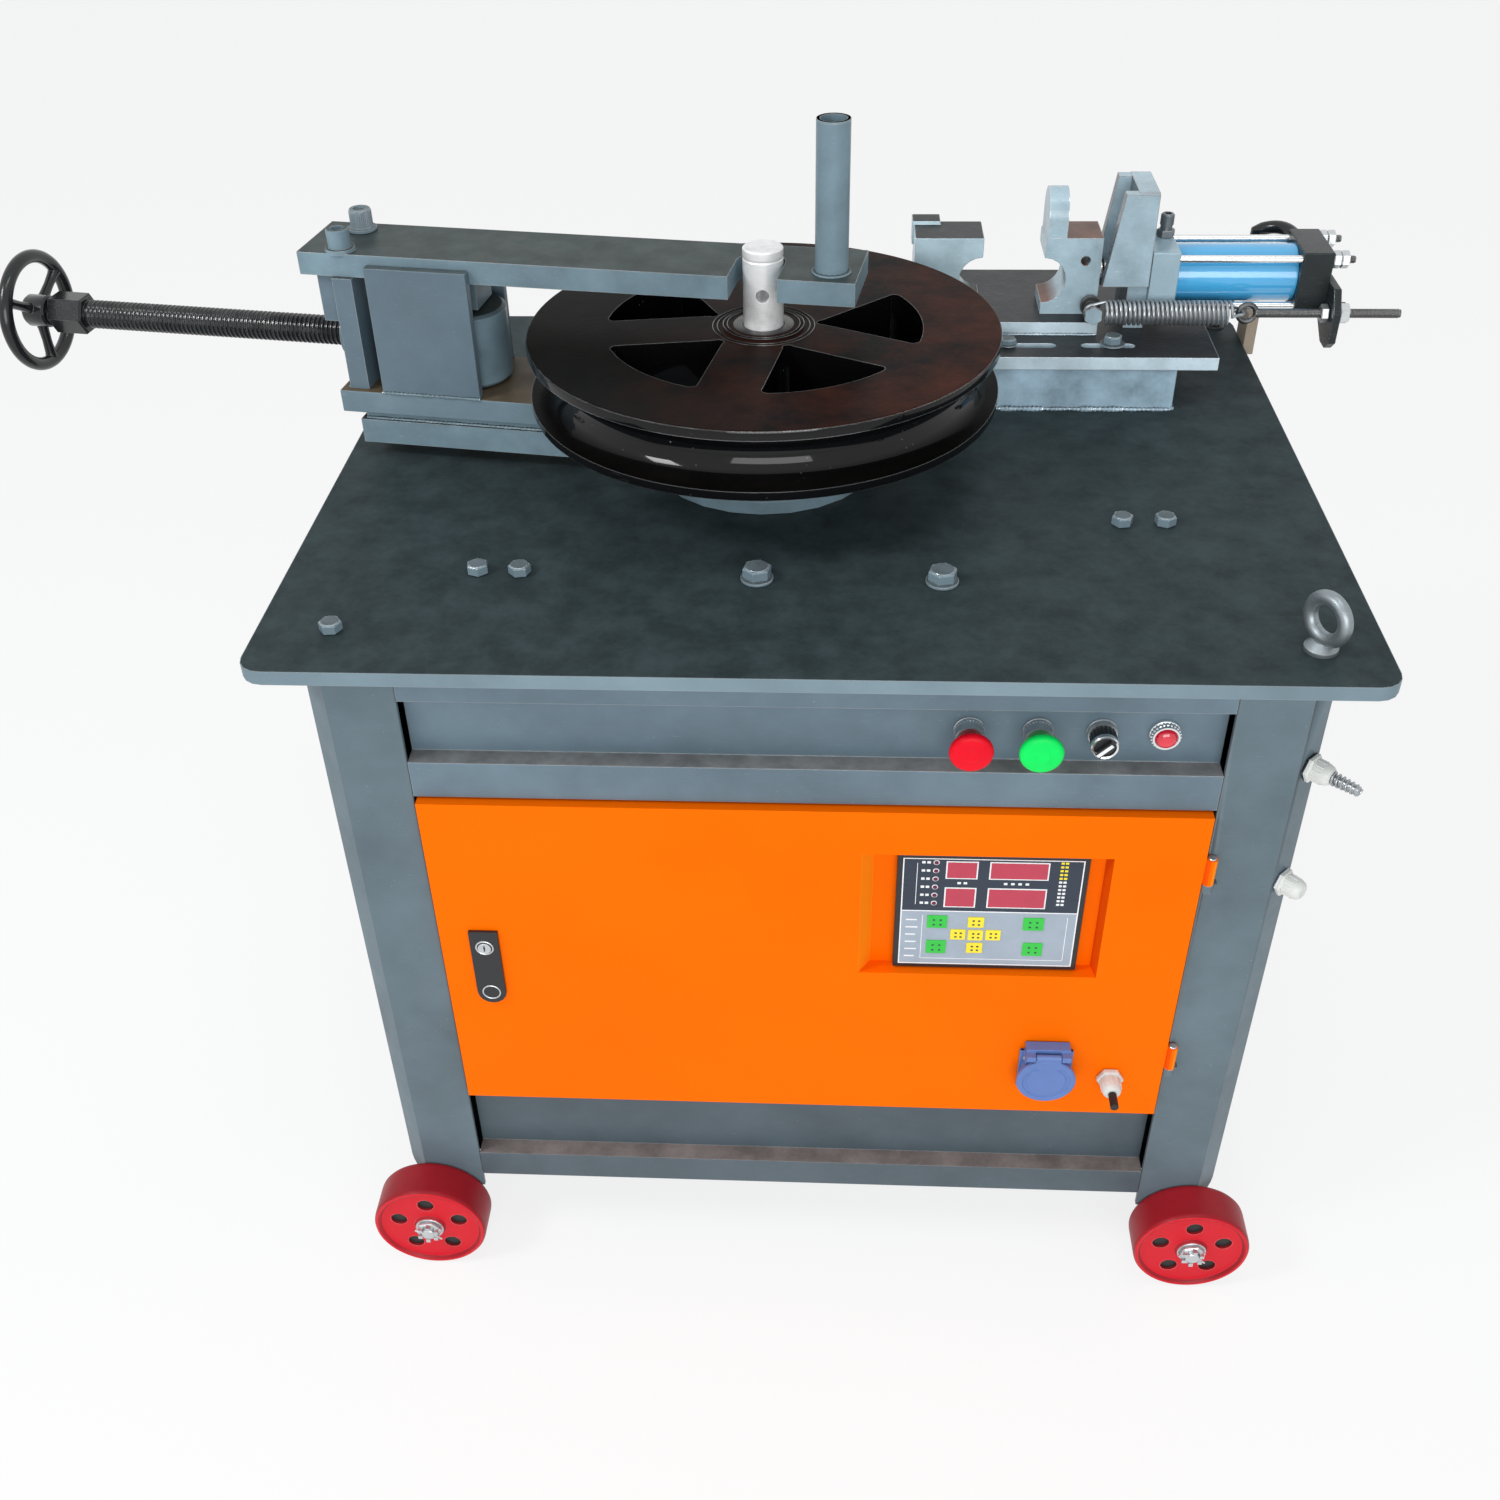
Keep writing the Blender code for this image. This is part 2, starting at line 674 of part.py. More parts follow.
def extruded(outlines, low, high, axis="Z"):
    """A flat outline with holes, drawn as (y, z), (x, z) or (x, y) and given a thickness along one axis."""
    curve = bpy.data.curves.new("outline", "CURVE")
    curve.dimensions = "2D"
    curve.fill_mode = "BOTH"
    curve.extrude = (high - low) / 2
    for outline in outlines:
        spline = curve.splines.new("POLY")
        spline.points.add(len(outline) - 1)
        for point, (u, v) in zip(spline.points, outline):
            point.co = (u, v, 0, 1)
        spline.use_cyclic_u = True
    source = bpy.data.objects.new("outline", curve)
    bpy.context.scene.collection.objects.link(source)
    middle = (low + high) / 2
    shift = {"X": (middle, 0, 0), "Y": (0, middle, 0), "Z": (0, 0, middle)}[axis]
    source.matrix_world = Matrix.Translation(shift) @ AXES[axis]
    return evaluated_mesh(source)


def turned(profile, sides, base=(0, 0, 0), direction=(0, 0, 1), closed=False):
    """A profile of (radius, height) points, turned about a line through base."""
    mesh = bpy.data.meshes.new("profile")
    count = len(profile)
    edges = [(i, i + 1) for i in range(count - 1)]
    if closed:
        edges.append((count - 1, 0))
    mesh.from_pydata([(r, 0, h) for r, h in profile], edges, [])
    source = bpy.data.objects.new("profile", mesh)
    bpy.context.scene.collection.objects.link(source)
    screw = source.modifiers.new("Turn", "SCREW")
    screw.angle = math.tau
    screw.steps = sides
    screw.render_steps = sides
    screw.use_merge_vertices = True
    screw.merge_threshold = 0.00001
    turn = Vector(direction).to_track_quat("Z", "Y").to_matrix().to_4x4()
    source.matrix_world = Matrix.Translation(base) @ turn
    return evaluated_mesh(source)


def ring_mesh(centre, normal, radius, thickness, major=ROUND_MEDIUM, minor=ROUND_TINY):
    """A torus about a normal."""
    profile = []
    for step in range(minor):
        angle = -math.tau * step / minor
        profile.append((radius + thickness * math.cos(angle), thickness * math.sin(angle)))
    return turned(profile, major, centre, normal, closed=True)


def tube_along(points, radius, bevel_resolution):
    """An unbroken round tube through points."""
    curve = bpy.data.curves.new("path", "CURVE")
    curve.dimensions = "3D"
    curve.bevel_depth = radius
    curve.bevel_resolution = bevel_resolution
    curve.use_fill_caps = True
    spline = curve.splines.new("POLY")
    spline.points.add(len(points) - 1)
    for place, point in zip(spline.points, points):
        place.co = (*point, 1)
    source = bpy.data.objects.new("path", curve)
    bpy.context.scene.collection.objects.link(source)
    return evaluated_mesh(source)


def arc(centre, radius, start, end, steps):
    """Points on an arc, both ends included."""
    points = []
    for step in range(steps + 1):
        angle = start + (end - start) * step / steps
        points.append((centre[0] + radius * math.cos(angle), centre[1] + radius * math.sin(angle)))
    return points


def circle(centre, radius, sides=ROUND_SMALL):
    return arc(centre, radius, 0, math.tau * (1 - 1 / sides), sides - 1)


def rectangle(left, low, right, high):
    return [(left, low), (right, low), (right, high), (left, high)]


def rounded_rectangle(left, low, right, high, radius, steps=4):
    points = []
    corners = ((right, high, 0), (left, high, 90), (left, low, 180), (right, low, 270))
    for x, y, turn in corners:
        centre = (x - radius if x == right else x + radius, y - radius if y == high else y + radius)
        start = math.radians(turn)
        points += arc(centre, radius, start, start + math.pi / 2, steps)
    return points


def offset_path(path, distance):
    """The same open path moved to its left by a distance, with mitred corners."""
    moved = []
    for index, point in enumerate(path):
        here = Vector(point)
        sides = []
        if index > 0:
            sides.append((here - Vector(path[index - 1])).normalized())
        if index < len(path) - 1:
            sides.append((Vector(path[index + 1]) - here).normalized())
        normals = [Vector((-side.y, side.x)) for side in sides]
        middle = sum(normals, Vector((0, 0))).normalized()
        moved.append(tuple(here + middle * (distance / middle.dot(normals[0]))))
    return moved


def folded(path, thickness):
    """The outline of a sheet folded along a path, its thickness lying to the left of the path."""
    return list(path) + offset_path(path, thickness)[::-1]


def mirrored(outline, left_to_right, front_to_back):
    """An outline in plan, reflected about the middle of the table."""
    points = []
    for x, y in outline:
        x = TABLE_WIDTH - x if left_to_right else x
        y = TABLE_DEPTH - y if front_to_back else y
        points.append((x, y))
    return points


def make_table():
    outline = rounded_rectangle(0, 0, TABLE_WIDTH, TABLE_DEPTH, TABLE_CORNER)
    holes = [
        circle((SPINDLE_X, SPINDLE_Y), HOUSING_SPIGOT + 4 * GAP, 32),
        circle((EYE_BOLT_X, EYE_BOLT_Y), EYE_BOLT_SHANK + 3 * GAP, ROUND_TINY),
        circle((HOSE_LAND_X, HOSE_LAND_Y), HOSE_RADIUS + 3 * GAP, ROUND_TINY),
    ]
    mesh = extruded([outline] + holes, -TABLE_THICK, 0)
    piece_from(mesh, "table_top", "table_grey", datum)


def post_path():
    left = POST_SIDE_INSET
    fold_x = left + POST_CHAMFER
    fold_y = POST_FRONT + POST_CHAMFER
    return [(left, fold_y + POST_RETURN), (left, fold_y), (fold_x, POST_FRONT), (POST_INNER_X, POST_FRONT)]


def make_posts():
    """Four folded posts, each with the saddle block that carries an axle."""
    outline = folded(post_path(), POST_PLATE)
    saddle_low = WHEEL_Z - AXLE_RADIUS - SADDLE_WALL
    saddle_left = WHEEL_CENTRE_INSET - SADDLE_WIDTH / 2
    saddle_front = POST_FRONT + POST_PLATE / 2
    foot = POST_FOOT_ROUND
    for side, right in (("left", False), ("right", True)):
        for end, back in (("front", False), ("back", True)):
            mesh = extruded([mirrored(outline, right, back)], POST_BOTTOM, POST_TOP)
            post = piece_from(mesh, f"post_{end}_{side}", "machine_grey", datum)
            edge = POST_SIDE_INSET - BITE
            low = POST_BOTTOM - BITE
            corner = arc((edge + foot, low + foot), foot, math.pi, 1.5 * math.pi, 4) + [(edge, low)]
            corner = [(x - BITE, z - BITE) if (x, z) == (edge, low) else (x, z) for x, z in corner]
            corner = [(TABLE_WIDTH - x, z) if right else (x, z) for x, z in corner]
            front = POST_FRONT - BITE
            deep = POST_FRONT + POST_CHAMFER + POST_RETURN + BITE
            span = (TABLE_DEPTH - deep, TABLE_DEPTH - front) if back else (front, deep)
            cut(post, extruded([corner], *span, axis="Y"))
            saddle = [
                (saddle_left, saddle_front),
                (saddle_left + SADDLE_WIDTH, saddle_front),
                (saddle_left + SADDLE_WIDTH, saddle_front + SADDLE_DEPTH),
                (saddle_left, saddle_front + SADDLE_DEPTH),
            ]
            join(post, extruded([mirrored(saddle, right, back)], saddle_low, POST_BOTTOM + 0.012))
            axle_x = TABLE_WIDTH - WHEEL_CENTRE_INSET if right else WHEEL_CENTRE_INSET
            bore_ends = (front - 0.01, deep + 0.01)
            if back:
                bore_ends = (TABLE_DEPTH - bore_ends[1], TABLE_DEPTH - bore_ends[0])
            bore = [(axle_x, y, WHEEL_Z) for y in bore_ends]
            cut(post, rod(*bore, AXLE_RADIUS + GAP, 24))
            if right and not back:
                join_hinge_feet(post)
                for height in (SIDE_GLAND_UPPER_Z, SIDE_GLAND_LOWER_Z):
                    centre = side_gland_place(height)
                    way = Vector((1, -1, 0)).normalized() * 0.02
                    cut(post, rod(centre - way, centre + way, GLAND_THREAD_RADIUS + 2 * GAP))


def side_gland_place(height):
    """The middle of the chamfer face of the right front post, at one height."""
    half = POST_CHAMFER / 2
    return Vector((TABLE_WIDTH - POST_SIDE_INSET - half, POST_FRONT + half, height))


def make_cabinet():
    """The folded panels between the posts, the wrap round sides and back, and the drive shelf."""
    left = POST_INNER_X + GAP
    right = TABLE_WIDTH - left
    upper = [
        (POST_FRONT, UNDER_TABLE - GAP),
        (POST_FRONT, LIP_BOTTOM),
        (PANEL_Y, LIP_BOTTOM),
        (PANEL_Y, PANEL_BOTTOM),
        (POST_FRONT, PANEL_BOTTOM),
        (POST_FRONT, RAIL_BOTTOM),
        (POST_FRONT + RAIL_RETURN, RAIL_BOTTOM),
    ]
    mesh = extruded([folded(upper, SHEET)], left, right, "X")
    panel = piece_from(mesh, "control_panel", "machine_grey", datum)
    for x in (RED_BUTTON_X, GREEN_BUTTON_X, SELECTOR_X, LAMP_X):
        near = (x, PANEL_Y - 0.005, CONTROL_Z)
        far = (x, PANEL_Y + SHEET + 0.005, CONTROL_Z)
        cut(panel, rod(near, far, CONTROL_HOLE, 14))
    lower = [
        (POST_FRONT + PANEL_RECESS, LOW_PANEL_TOP),
        (POST_FRONT + PANEL_RECESS, LOW_RAIL_TOP),
        (POST_FRONT, LOW_RAIL_TOP),
        (POST_FRONT, LOW_RAIL_BOTTOM),
        (POST_FRONT + RAIL_RETURN, LOW_RAIL_BOTTOM),
    ]
    mesh = extruded([folded(lower, SHEET)], left, right, "X")
    piece_from(mesh, "bottom_panel", "machine_grey", datum)

    inset = POST_PLATE + GAP
    front_end = POST_FRONT + POST_CHAMFER + 0.010
    half = post_path()[1:3]
    corner_left = mirrored(half, False, True)
    corner_right = mirrored(half, True, True)
    outer = [(POST_SIDE_INSET, front_end)] + corner_left + corner_right[::-1]
    outer.append((TABLE_WIDTH - POST_SIDE_INSET, front_end))
    around = offset_path(outer, -inset)
    wrap_low = CABINET_BOTTOM
    mesh = extruded([folded(around, -CABINET_SHEET)], wrap_low, UNDER_TABLE - GAP)
    cabinet = piece_from(mesh, "cabinet_shell", "machine_grey", datum)
    tray = offset_path(outer, -(inset + CABINET_SHEET / 2))
    tray[0] = (tray[0][0], front_end + BITE)
    tray[-1] = (tray[-1][0], front_end + BITE)
    join(cabinet, extruded([tray], wrap_low + 0.0005, wrap_low + 0.0005 + CABINET_SHEET))

    side = POST_SIDE_INSET + inset + CABINET_SHEET + GAP
    shelf = rectangle(side, SHELF_FRONT, TABLE_WIDTH - side, TABLE_DEPTH - POST_FRONT - POST_CHAMFER - 0.012)
    holes = [
        circle((SPINDLE_X, SPINDLE_Y), SPINDLE_RADIUS + GAP, 24),
        circle((PINION_X, SPINDLE_Y), PINION_SHAFT + 2 * GAP, 14),
    ]
    mesh = extruded([shelf] + holes, SHELF_LOW, SHELF_TOP)
    piece_from(mesh, "drive_shelf", "machine_grey", datum)


def make_wheels():
    """Four road wheels on two through axles with a nut outside each wheel."""
    nut = AXLE_NUT_LENGTH
    wheel_front = POST_FRONT - GAP - WHEEL_WIDTH
    for side, x in (("left", WHEEL_CENTRE_INSET), ("right", TABLE_WIDTH - WHEEL_CENTRE_INSET)):
        half = TABLE_DEPTH / 2
        end = half - wheel_front + GAP + nut
        shoulder = half - POST_FRONT - GAP
        profile = [
            (0, end + 0.003),
            (AXLE_END_RADIUS, end + 0.003),
            (AXLE_END_RADIUS, end),
            (AXLE_NUT_RADIUS, end),
            (AXLE_NUT_RADIUS, end - nut),
            (AXLE_END_RADIUS, end - nut),
            (AXLE_END_RADIUS, shoulder),
            (AXLE_RADIUS, shoulder),
        ]
        profile += [(r, -h) for r, h in profile[::-1]]
        mesh = turned(profile, 10, (x, half, WHEEL_Z), (0, -1, 0))
        piece_from(mesh, f"axle_{side}", "dark_steel", datum)
        for end_name, back in (("front", False), ("back", True)):
            name = f"wheel_{end_name}_{side}"
            y = wheel_front + WHEEL_WIDTH / 2
            y = TABLE_DEPTH - y if back else y
            axis = empty(f"{name}_axis", datum, at(x, y, WHEEL_Z))
            rim = WHEEL_RADIUS - WHEEL_RIM
            half_width = WHEEL_WIDTH / 2
            dish = half_width - WHEEL_FACE_DISH
            bore = AXLE_END_RADIUS + GAP
            side_profile = [
                (bore, dish),
                (rim, dish),
                (WHEEL_RADIUS - 0.003, half_width),
                (WHEEL_RADIUS, half_width - 0.004),
            ]
            outline = side_profile + [(r, -h) for r, h in side_profile[::-1]]
            mesh = turned(outline, 20, (x, y, WHEEL_Z), (0, -1, 0), closed=True)
            wheel = piece_from(mesh, name, "wheel_red", axis)
            for hole in range(WHEEL_HOLES):
                turn = math.tau * (hole + 0.27) / WHEEL_HOLES
                hx = x + WHEEL_HOLE_CIRCLE * math.cos(turn)
                hz = WHEEL_Z + WHEEL_HOLE_CIRCLE * math.sin(turn)
                reach = half_width + 0.01
                cut(wheel, rod((hx, y - reach, hz), (hx, y + reach, hz), WHEEL_HOLE_RADIUS, 7))


def make_door():
    """The folded door pan with its splayed recess, and the pieces fastened to it."""
    mesh = block((DOOR_LEFT, DOOR_FRONT, DOOR_BOTTOM), (DOOR_RIGHT, DOOR_BACK, DOOR_TOP))
    door = piece_from(mesh, "door_panel", "door_orange", door_axis)
    t = DOOR_SHEET
    inside_low = (DOOR_LEFT + t, DOOR_FRONT + t, DOOR_BOTTOM + t)
    inside_high = (DOOR_RIGHT - t, DOOR_BACK + 0.01, DOOR_TOP - t)
    cut(door, block(inside_low, inside_high))
    floor_y = DOOR_FRONT + RECESS_DEPTH
    join(door, recess_shape(DOOR_FRONT + t / 2, floor_y + t, t))
    cut(door, recess_shape(DOOR_FRONT - BITE, floor_y, 0))
    body = UNIT_BODY_INSET
    window_low = (UNIT_LEFT + body - GAP, floor_y - 0.01, UNIT_BOTTOM + body - GAP)
    window_high = (UNIT_LEFT + UNIT_WIDTH - body + GAP, floor_y + 0.02, UNIT_TOP - body + GAP)
    cut(door, block(window_low, window_high))
    cut(door, rod((LOCK_X, DOOR_FRONT - 0.01, LOCK_BARREL_Z), (LOCK_X, DOOR_BACK, LOCK_BARREL_Z), 0.0115))
    near = DOOR_FRONT - 0.01
    cut(door, rod((SOCKET_X, near, SOCKET_Z), (SOCKET_X, DOOR_BACK, SOCKET_Z), SOCKET_RADIUS, 24))
    gland_end = (DOOR_GLAND_X, DOOR_BACK, DOOR_GLAND_Z)
    cut(door, rod((DOOR_GLAND_X, near, DOOR_GLAND_Z), gland_end, GLAND_THREAD_RADIUS + 2 * GAP))
    for top in HINGE_TOPS:
        low = top - HINGE_LENGTH
        join(door, hinge_rod(low, top, HINGE_BARREL_RADIUS))
        leaf_low = (DOOR_RIGHT - 0.006, DOOR_FRONT + 0.0005, low + 0.0005)
        join(door, block(leaf_low, (HINGE_X, DOOR_FRONT + 0.0005 + HINGE_LEAF, top - 0.0005)))
        cut(door, hinge_rod(low - 0.01, top + 0.01, HINGE_PIN_RADIUS + GAP))
    make_controller()
    make_lock()
    make_socket()


def recess_shape(front, back, grow):
    """The splayed recess in the door, between two depths, grown by a wall."""
    reach = RECESS_DEPTH
    shapes = []
    for depth in (front, back):
        share = (depth - DOOR_FRONT) / reach
        splay = RECESS_SPLAY * share
        shapes.append((depth, RECESS_LEFT + splay - grow, RECESS_RIGHT - splay * 0.3 + grow))

    def build(shape):
        rings = []
        for depth, left, right in shapes:
            low = RECESS_BOTTOM - grow
            high = RECESS_TOP + grow
            corners = ((left, low), (right, low), (right, high), (left, high))
            rings.append([shape.verts.new((x, depth, z)) for x, z in corners])
        shape.faces.new(rings[0])
        shape.faces.new(rings[1][::-1])
        for i in range(4):
            j = (i + 1) % 4
            shape.faces.new((rings[0][i], rings[1][i], rings[1][j], rings[0][j]))

    return mesh_of(build)


def hinge_rod(low, high, radius):
    return rod((HINGE_X, HINGE_Y, low), (HINGE_X, HINGE_Y, high), radius)


def join_hinge_feet(post):
    """The lower half of each lift-off hinge, welded to the post: a short barrel, its leaf and the pin."""
    for top in HINGE_TOPS:
        high = top - HINGE_LENGTH - GAP
        low = high - HINGE_FOOT
        join(post, hinge_rod(low, high, HINGE_BARREL_RADIUS))
        join(post, hinge_rod(high - BITE, top - 0.001, HINGE_PIN_RADIUS))
        leaf = ((HINGE_X, HINGE_Y, low + 0.0005), (HINGE_X + 0.009, POST_FRONT + BITE, high - 0.0005))
        join(post, block(*leaf))


def make_controller():
    """The counter unit: a bezel in the recess and its case behind the door skin."""
    face = DOOR_FRONT + RECESS_DEPTH - UNIT_PROUD
    seat = DOOR_FRONT + RECESS_DEPTH - GAP
    right = UNIT_LEFT + UNIT_WIDTH
    mesh = block((UNIT_LEFT, face, UNIT_BOTTOM), (right, seat, UNIT_TOP))
    unit = piece_from(mesh, "controller", "black_plastic", door_axis)
    body = UNIT_BODY_INSET
    case_low = (UNIT_LEFT + body, seat - BITE, UNIT_BOTTOM + body)
    join(unit, block(case_low, (right - body, seat + UNIT_BODY_DEPTH, UNIT_TOP - body)))


def make_lock():
    """The lock plate, its barrel housing and the barrel with its cam."""
    half = LOCK_WIDTH / 2
    seat = DOOR_FRONT - GAP
    outline = [(LOCK_X + half, LOCK_TOP), (LOCK_X - half, LOCK_TOP)]
    outline += arc((LOCK_X, LOCK_BOTTOM + half), half, math.pi, math.tau, 8)
    mesh = extruded([outline], seat - LOCK_PLATE, seat, "Y")
    plate = piece_from(mesh, "lock_plate", "black_plastic", door_axis)
    end = DOOR_BACK - 0.002
    join(plate, rod((LOCK_X, seat - BITE, LOCK_BARREL_Z), (LOCK_X, end, LOCK_BARREL_Z), 0.011))
    bore = LOCK_BARREL_RADIUS + GAP
    cut(plate, rod((LOCK_X, seat - 0.02, LOCK_BARREL_Z), (LOCK_X, end + 0.01, LOCK_BARREL_Z), bore, 16))
    front = seat - LOCK_PLATE - LOCK_BARREL_PROUD
    cam = end + GAP
    cam_end = cam + LOCK_CAM_THICK
    mesh = rod((LOCK_X, front, LOCK_BARREL_Z), (LOCK_X, cam_end, LOCK_BARREL_Z), LOCK_BARREL_RADIUS)
    barrel = piece_from(mesh, "lock_barrel", "bright_steel", lock_axis)
    cam_low = (LOCK_X - 0.009, cam, LOCK_BARREL_Z - LOCK_CAM_LENGTH)
    join(barrel, block(cam_low, (LOCK_X + 0.009, cam_end, LOCK_BARREL_Z + 0.009)))
    slot_low = (LOCK_X - 0.0008, front - 0.001, LOCK_BARREL_Z - 0.004)
    cut(barrel, block(slot_low, (LOCK_X + 0.0008, front + 0.006, LOCK_BARREL_Z + 0.004)))


def make_socket():
    """The panel socket and the sprung flap over its mouth."""
    half = SOCKET_SIDE / 2
    seat = DOOR_FRONT - GAP
    plate_front = seat - SOCKET_PLATE
    mouth = seat - SOCKET_REACH
    low = (SOCKET_X - half, plate_front, SOCKET_Z - half)
    mesh = block(low, (SOCKET_X + half, seat, SOCKET_Z + half))
    body = piece_from(mesh, "mains_socket", "socket_blue", door_axis)
    back = DOOR_BACK + 0.020
    join(body, rod((SOCKET_X, mouth, SOCKET_Z), (SOCKET_X, back, SOCKET_Z), SOCKET_RADIUS - GAP, 24))
    top = SOCKET_Z + half
    length = FLAP_KNUCKLE_LENGTH / 2
    knuckle = FLAP_KNUCKLE
    rest = FLAP_KNUCKLE + 0.0015
    hood_low = (SOCKET_X - length - 0.010, FLAP_Y + rest, top - 0.012)
    join(body, block(hood_low, (SOCKET_X + length + 0.010, seat - BITE, FLAP_Z + 0.006)))
    for side in (-1, 1):
        near = SOCKET_X + side * (length + 0.0005)
        far = SOCKET_X + side * (length + 0.010)
        ear_low = (min(near, far), FLAP_Y - knuckle, FLAP_Z - knuckle)
        join(body, block(ear_low, (max(near, far), FLAP_Y + rest + BITE, FLAP_Z + knuckle)))
    bore_end = DOOR_BACK + 0.010
    cut(body, rod((SOCKET_X, mouth - 0.01, SOCKET_Z), (SOCKET_X, bore_end, SOCKET_Z), SOCKET_BORE, 16))

    near = mouth - GAP
    mesh = rod((SOCKET_X, near - FLAP_THICK, FLAP_CENTRE_Z), (SOCKET_X, near, FLAP_CENTRE_Z), FLAP_RADIUS, 20)
    flap = piece_from(mesh, "socket_flap", "socket_blue", flap_axis)
    link_low = (SOCKET_X - length, near - FLAP_THICK + 0.0005, FLAP_CENTRE_Z + FLAP_RADIUS - 0.012)
    join(flap, block(link_low, (SOCKET_X + length, near - 0.0005, FLAP_Z)))
    join(flap, rod((SOCKET_X - length, FLAP_Y, FLAP_Z), (SOCKET_X + length, FLAP_Y, FLAP_Z), knuckle, 12))


def gland_mesh(name, seat, outward, wall, material, rider):
    """A cable gland: threaded shank, inner nut, hexagon and domed nut with its mouth."""
    seat = Vector(seat)
    way = Vector(outward).normalized()
    start = seat + way * GAP
    dome = GLAND_DOME_LENGTH
    end = start + way * GLAND_HEX_LENGTH
    body = piece_from(hexagon(start, end, GLAND_HEX * 2), name, material, rider)
    inner = seat - way * (wall + GAP)
    join(body, rod(seat - way * (wall + 0.012), end - way * BITE, GLAND_THREAD_RADIUS))
    join(body, hexagon(inner - way * GLAND_INNER_NUT, inner, GLAND_HEX * 1.7))
    profile = [
        (0, dome),
        (GLAND_DOME_RADIUS * 0.62, dome),
        (GLAND_DOME_RADIUS * 0.85, dome * 0.86),
        (GLAND_DOME_RADIUS * 0.97, dome * 0.62),
        (GLAND_DOME_RADIUS, dome * 0.2),
        (GLAND_DOME_RADIUS, -0.001),
        (0, -0.001),
    ]
    join(body, turned(profile, 10, end, way))
    return body, end + way * dome


def make_glands():
    """The gland and cut lead on the door, and two glands on the chamfer of the right post."""
    seat = (DOOR_GLAND_X, DOOR_FRONT, DOOR_GLAND_Z)
    body, mouth = gland_mesh("door_gland", seat, (0, -1, 0), DOOR_SHEET, "white_plastic", door_axis)
    join(body, rod(mouth + Vector((0, BITE, 0)), mouth + Vector((0, -LEAD_LENGTH, 0)), LEAD_RADIUS, 12))
    way = (1, -1, 0)
    place = side_gland_place(SIDE_GLAND_UPPER_Z)
    body, mouth = gland_mesh("side_gland_upper", place, way, POST_PLATE, "white_plastic", datum)
    step = Vector(way).normalized()
    tail_end = mouth + step * SPIRAL_TAIL_LENGTH
    join(body, rod(mouth - step * BITE, tail_end, SPIRAL_TAIL_RADIUS, 12, SPIRAL_TAIL_RADIUS * 0.72))
    place = side_gland_place(SIDE_GLAND_LOWER_Z)
    gland_mesh("side_gland_lower", place, way, POST_PLATE, "white_plastic", datum)


def make_controls():
    """The contact block behind the panel, with its bushes, and the heads in front."""
    behind = PANEL_Y + SHEET + GAP
    back = behind + BLOCK_DEPTH
    front = PANEL_Y - GAP
    half = BLOCK_HEIGHT / 2
    left = RED_BUTTON_X - half
    mesh = block((left, behind, CONTROL_Z - half), (SELECTOR_X + half, back, CONTROL_Z + half))
    contacts = piece_from(mesh, "contact_block", "bright_steel", datum)
    stem_bore = BUTTON_STEM + GAP
    for x in (RED_BUTTON_X, GREEN_BUTTON_X, SELECTOR_X):
        thread = CONTROL_HOLE - 2 * GAP
        join(contacts, rod((x, front - BITE, CONTROL_Z), (x, behind + BITE, CONTROL_Z), thread))
        reach = COLLAR_REACH if x != SELECTOR_X else 0.008
        collar = rod((x, front - reach, CONTROL_Z), (x, front, CONTROL_Z), COLLAR_RADIUS, 14)
        join(contacts, collar)
        cut(contacts, rod((x, front - reach - 0.01, CONTROL_Z), (x, back - 0.004, CONTROL_Z), stem_bore, 18))
    stem_end = back - 0.004 - BUTTON_TRAVEL - 0.001
    for name, x, material, axis in (
        ("red_button", RED_BUTTON_X, "button_red", red_axis),
        ("green_button", GREEN_BUTTON_X, "button_green", green_axis),
    ):
        face = PANEL_Y - BUTTON_REACH
        radius = MUSHROOM_RADIUS
        thick = MUSHROOM_THICK
        profile = [
            (0, 0),
            (radius * 0.72, -0.0006),
            (radius * 0.94, -0.0022),
            (radius, -0.0050),
            (radius * 0.97, -thick * 0.8),
            (BUTTON_STEM + 0.004, -thick),
            (BUTTON_STEM, -thick),
            (BUTTON_STEM, face - stem_end),
            (0, face - stem_end),
        ]
        mesh = turned(profile, 16, (x, face, CONTROL_Z), (0, -1, 0))
        piece_from(mesh, name, material, axis)
    face = PANEL_Y - SELECTOR_REACH
    base = front - 0.008 - GAP
    knob_front = face + SELECTOR_RIDGE
    mesh = rod((SELECTOR_X, knob_front, CONTROL_Z), (SELECTOR_X, base, CONTROL_Z), SELECTOR_RADIUS, 16)
    knob = piece_from(mesh, "selector_knob", "black_plastic", selector_axis)
    tall = SELECTOR_RADIUS * 0.92
    ridge = block((-0.0035, 0, -tall), (0.0035, SELECTOR_RIDGE + BITE, tall))
    ridge.transform(at(SELECTOR_X, face, CONTROL_Z) @ Matrix.Rotation(math.radians(45), 4, "Y"))
    join(knob, ridge)
    join(knob, rod((SELECTOR_X, base - BITE, CONTROL_Z), (SELECTOR_X, stem_end, CONTROL_Z), BUTTON_STEM))

    reach = LAMP_REACH
    mesh = rod((LAMP_X, front - reach * 0.7, CONTROL_Z), (LAMP_X, front, CONTROL_Z), LAMP_BEZEL_RADIUS, 16)
    lamp = piece_from(mesh, "pilot_lamp", "button_red", datum)
    end = (LAMP_X, behind + 0.020, CONTROL_Z)
    join(lamp, rod((LAMP_X, front - reach, CONTROL_Z), end, LAMP_LENS_RADIUS, 14))
    join(lamp, hexagon((LAMP_X, behind, CONTROL_Z), (LAMP_X, behind + 0.006, CONTROL_Z), COLLAR_RADIUS * 2))


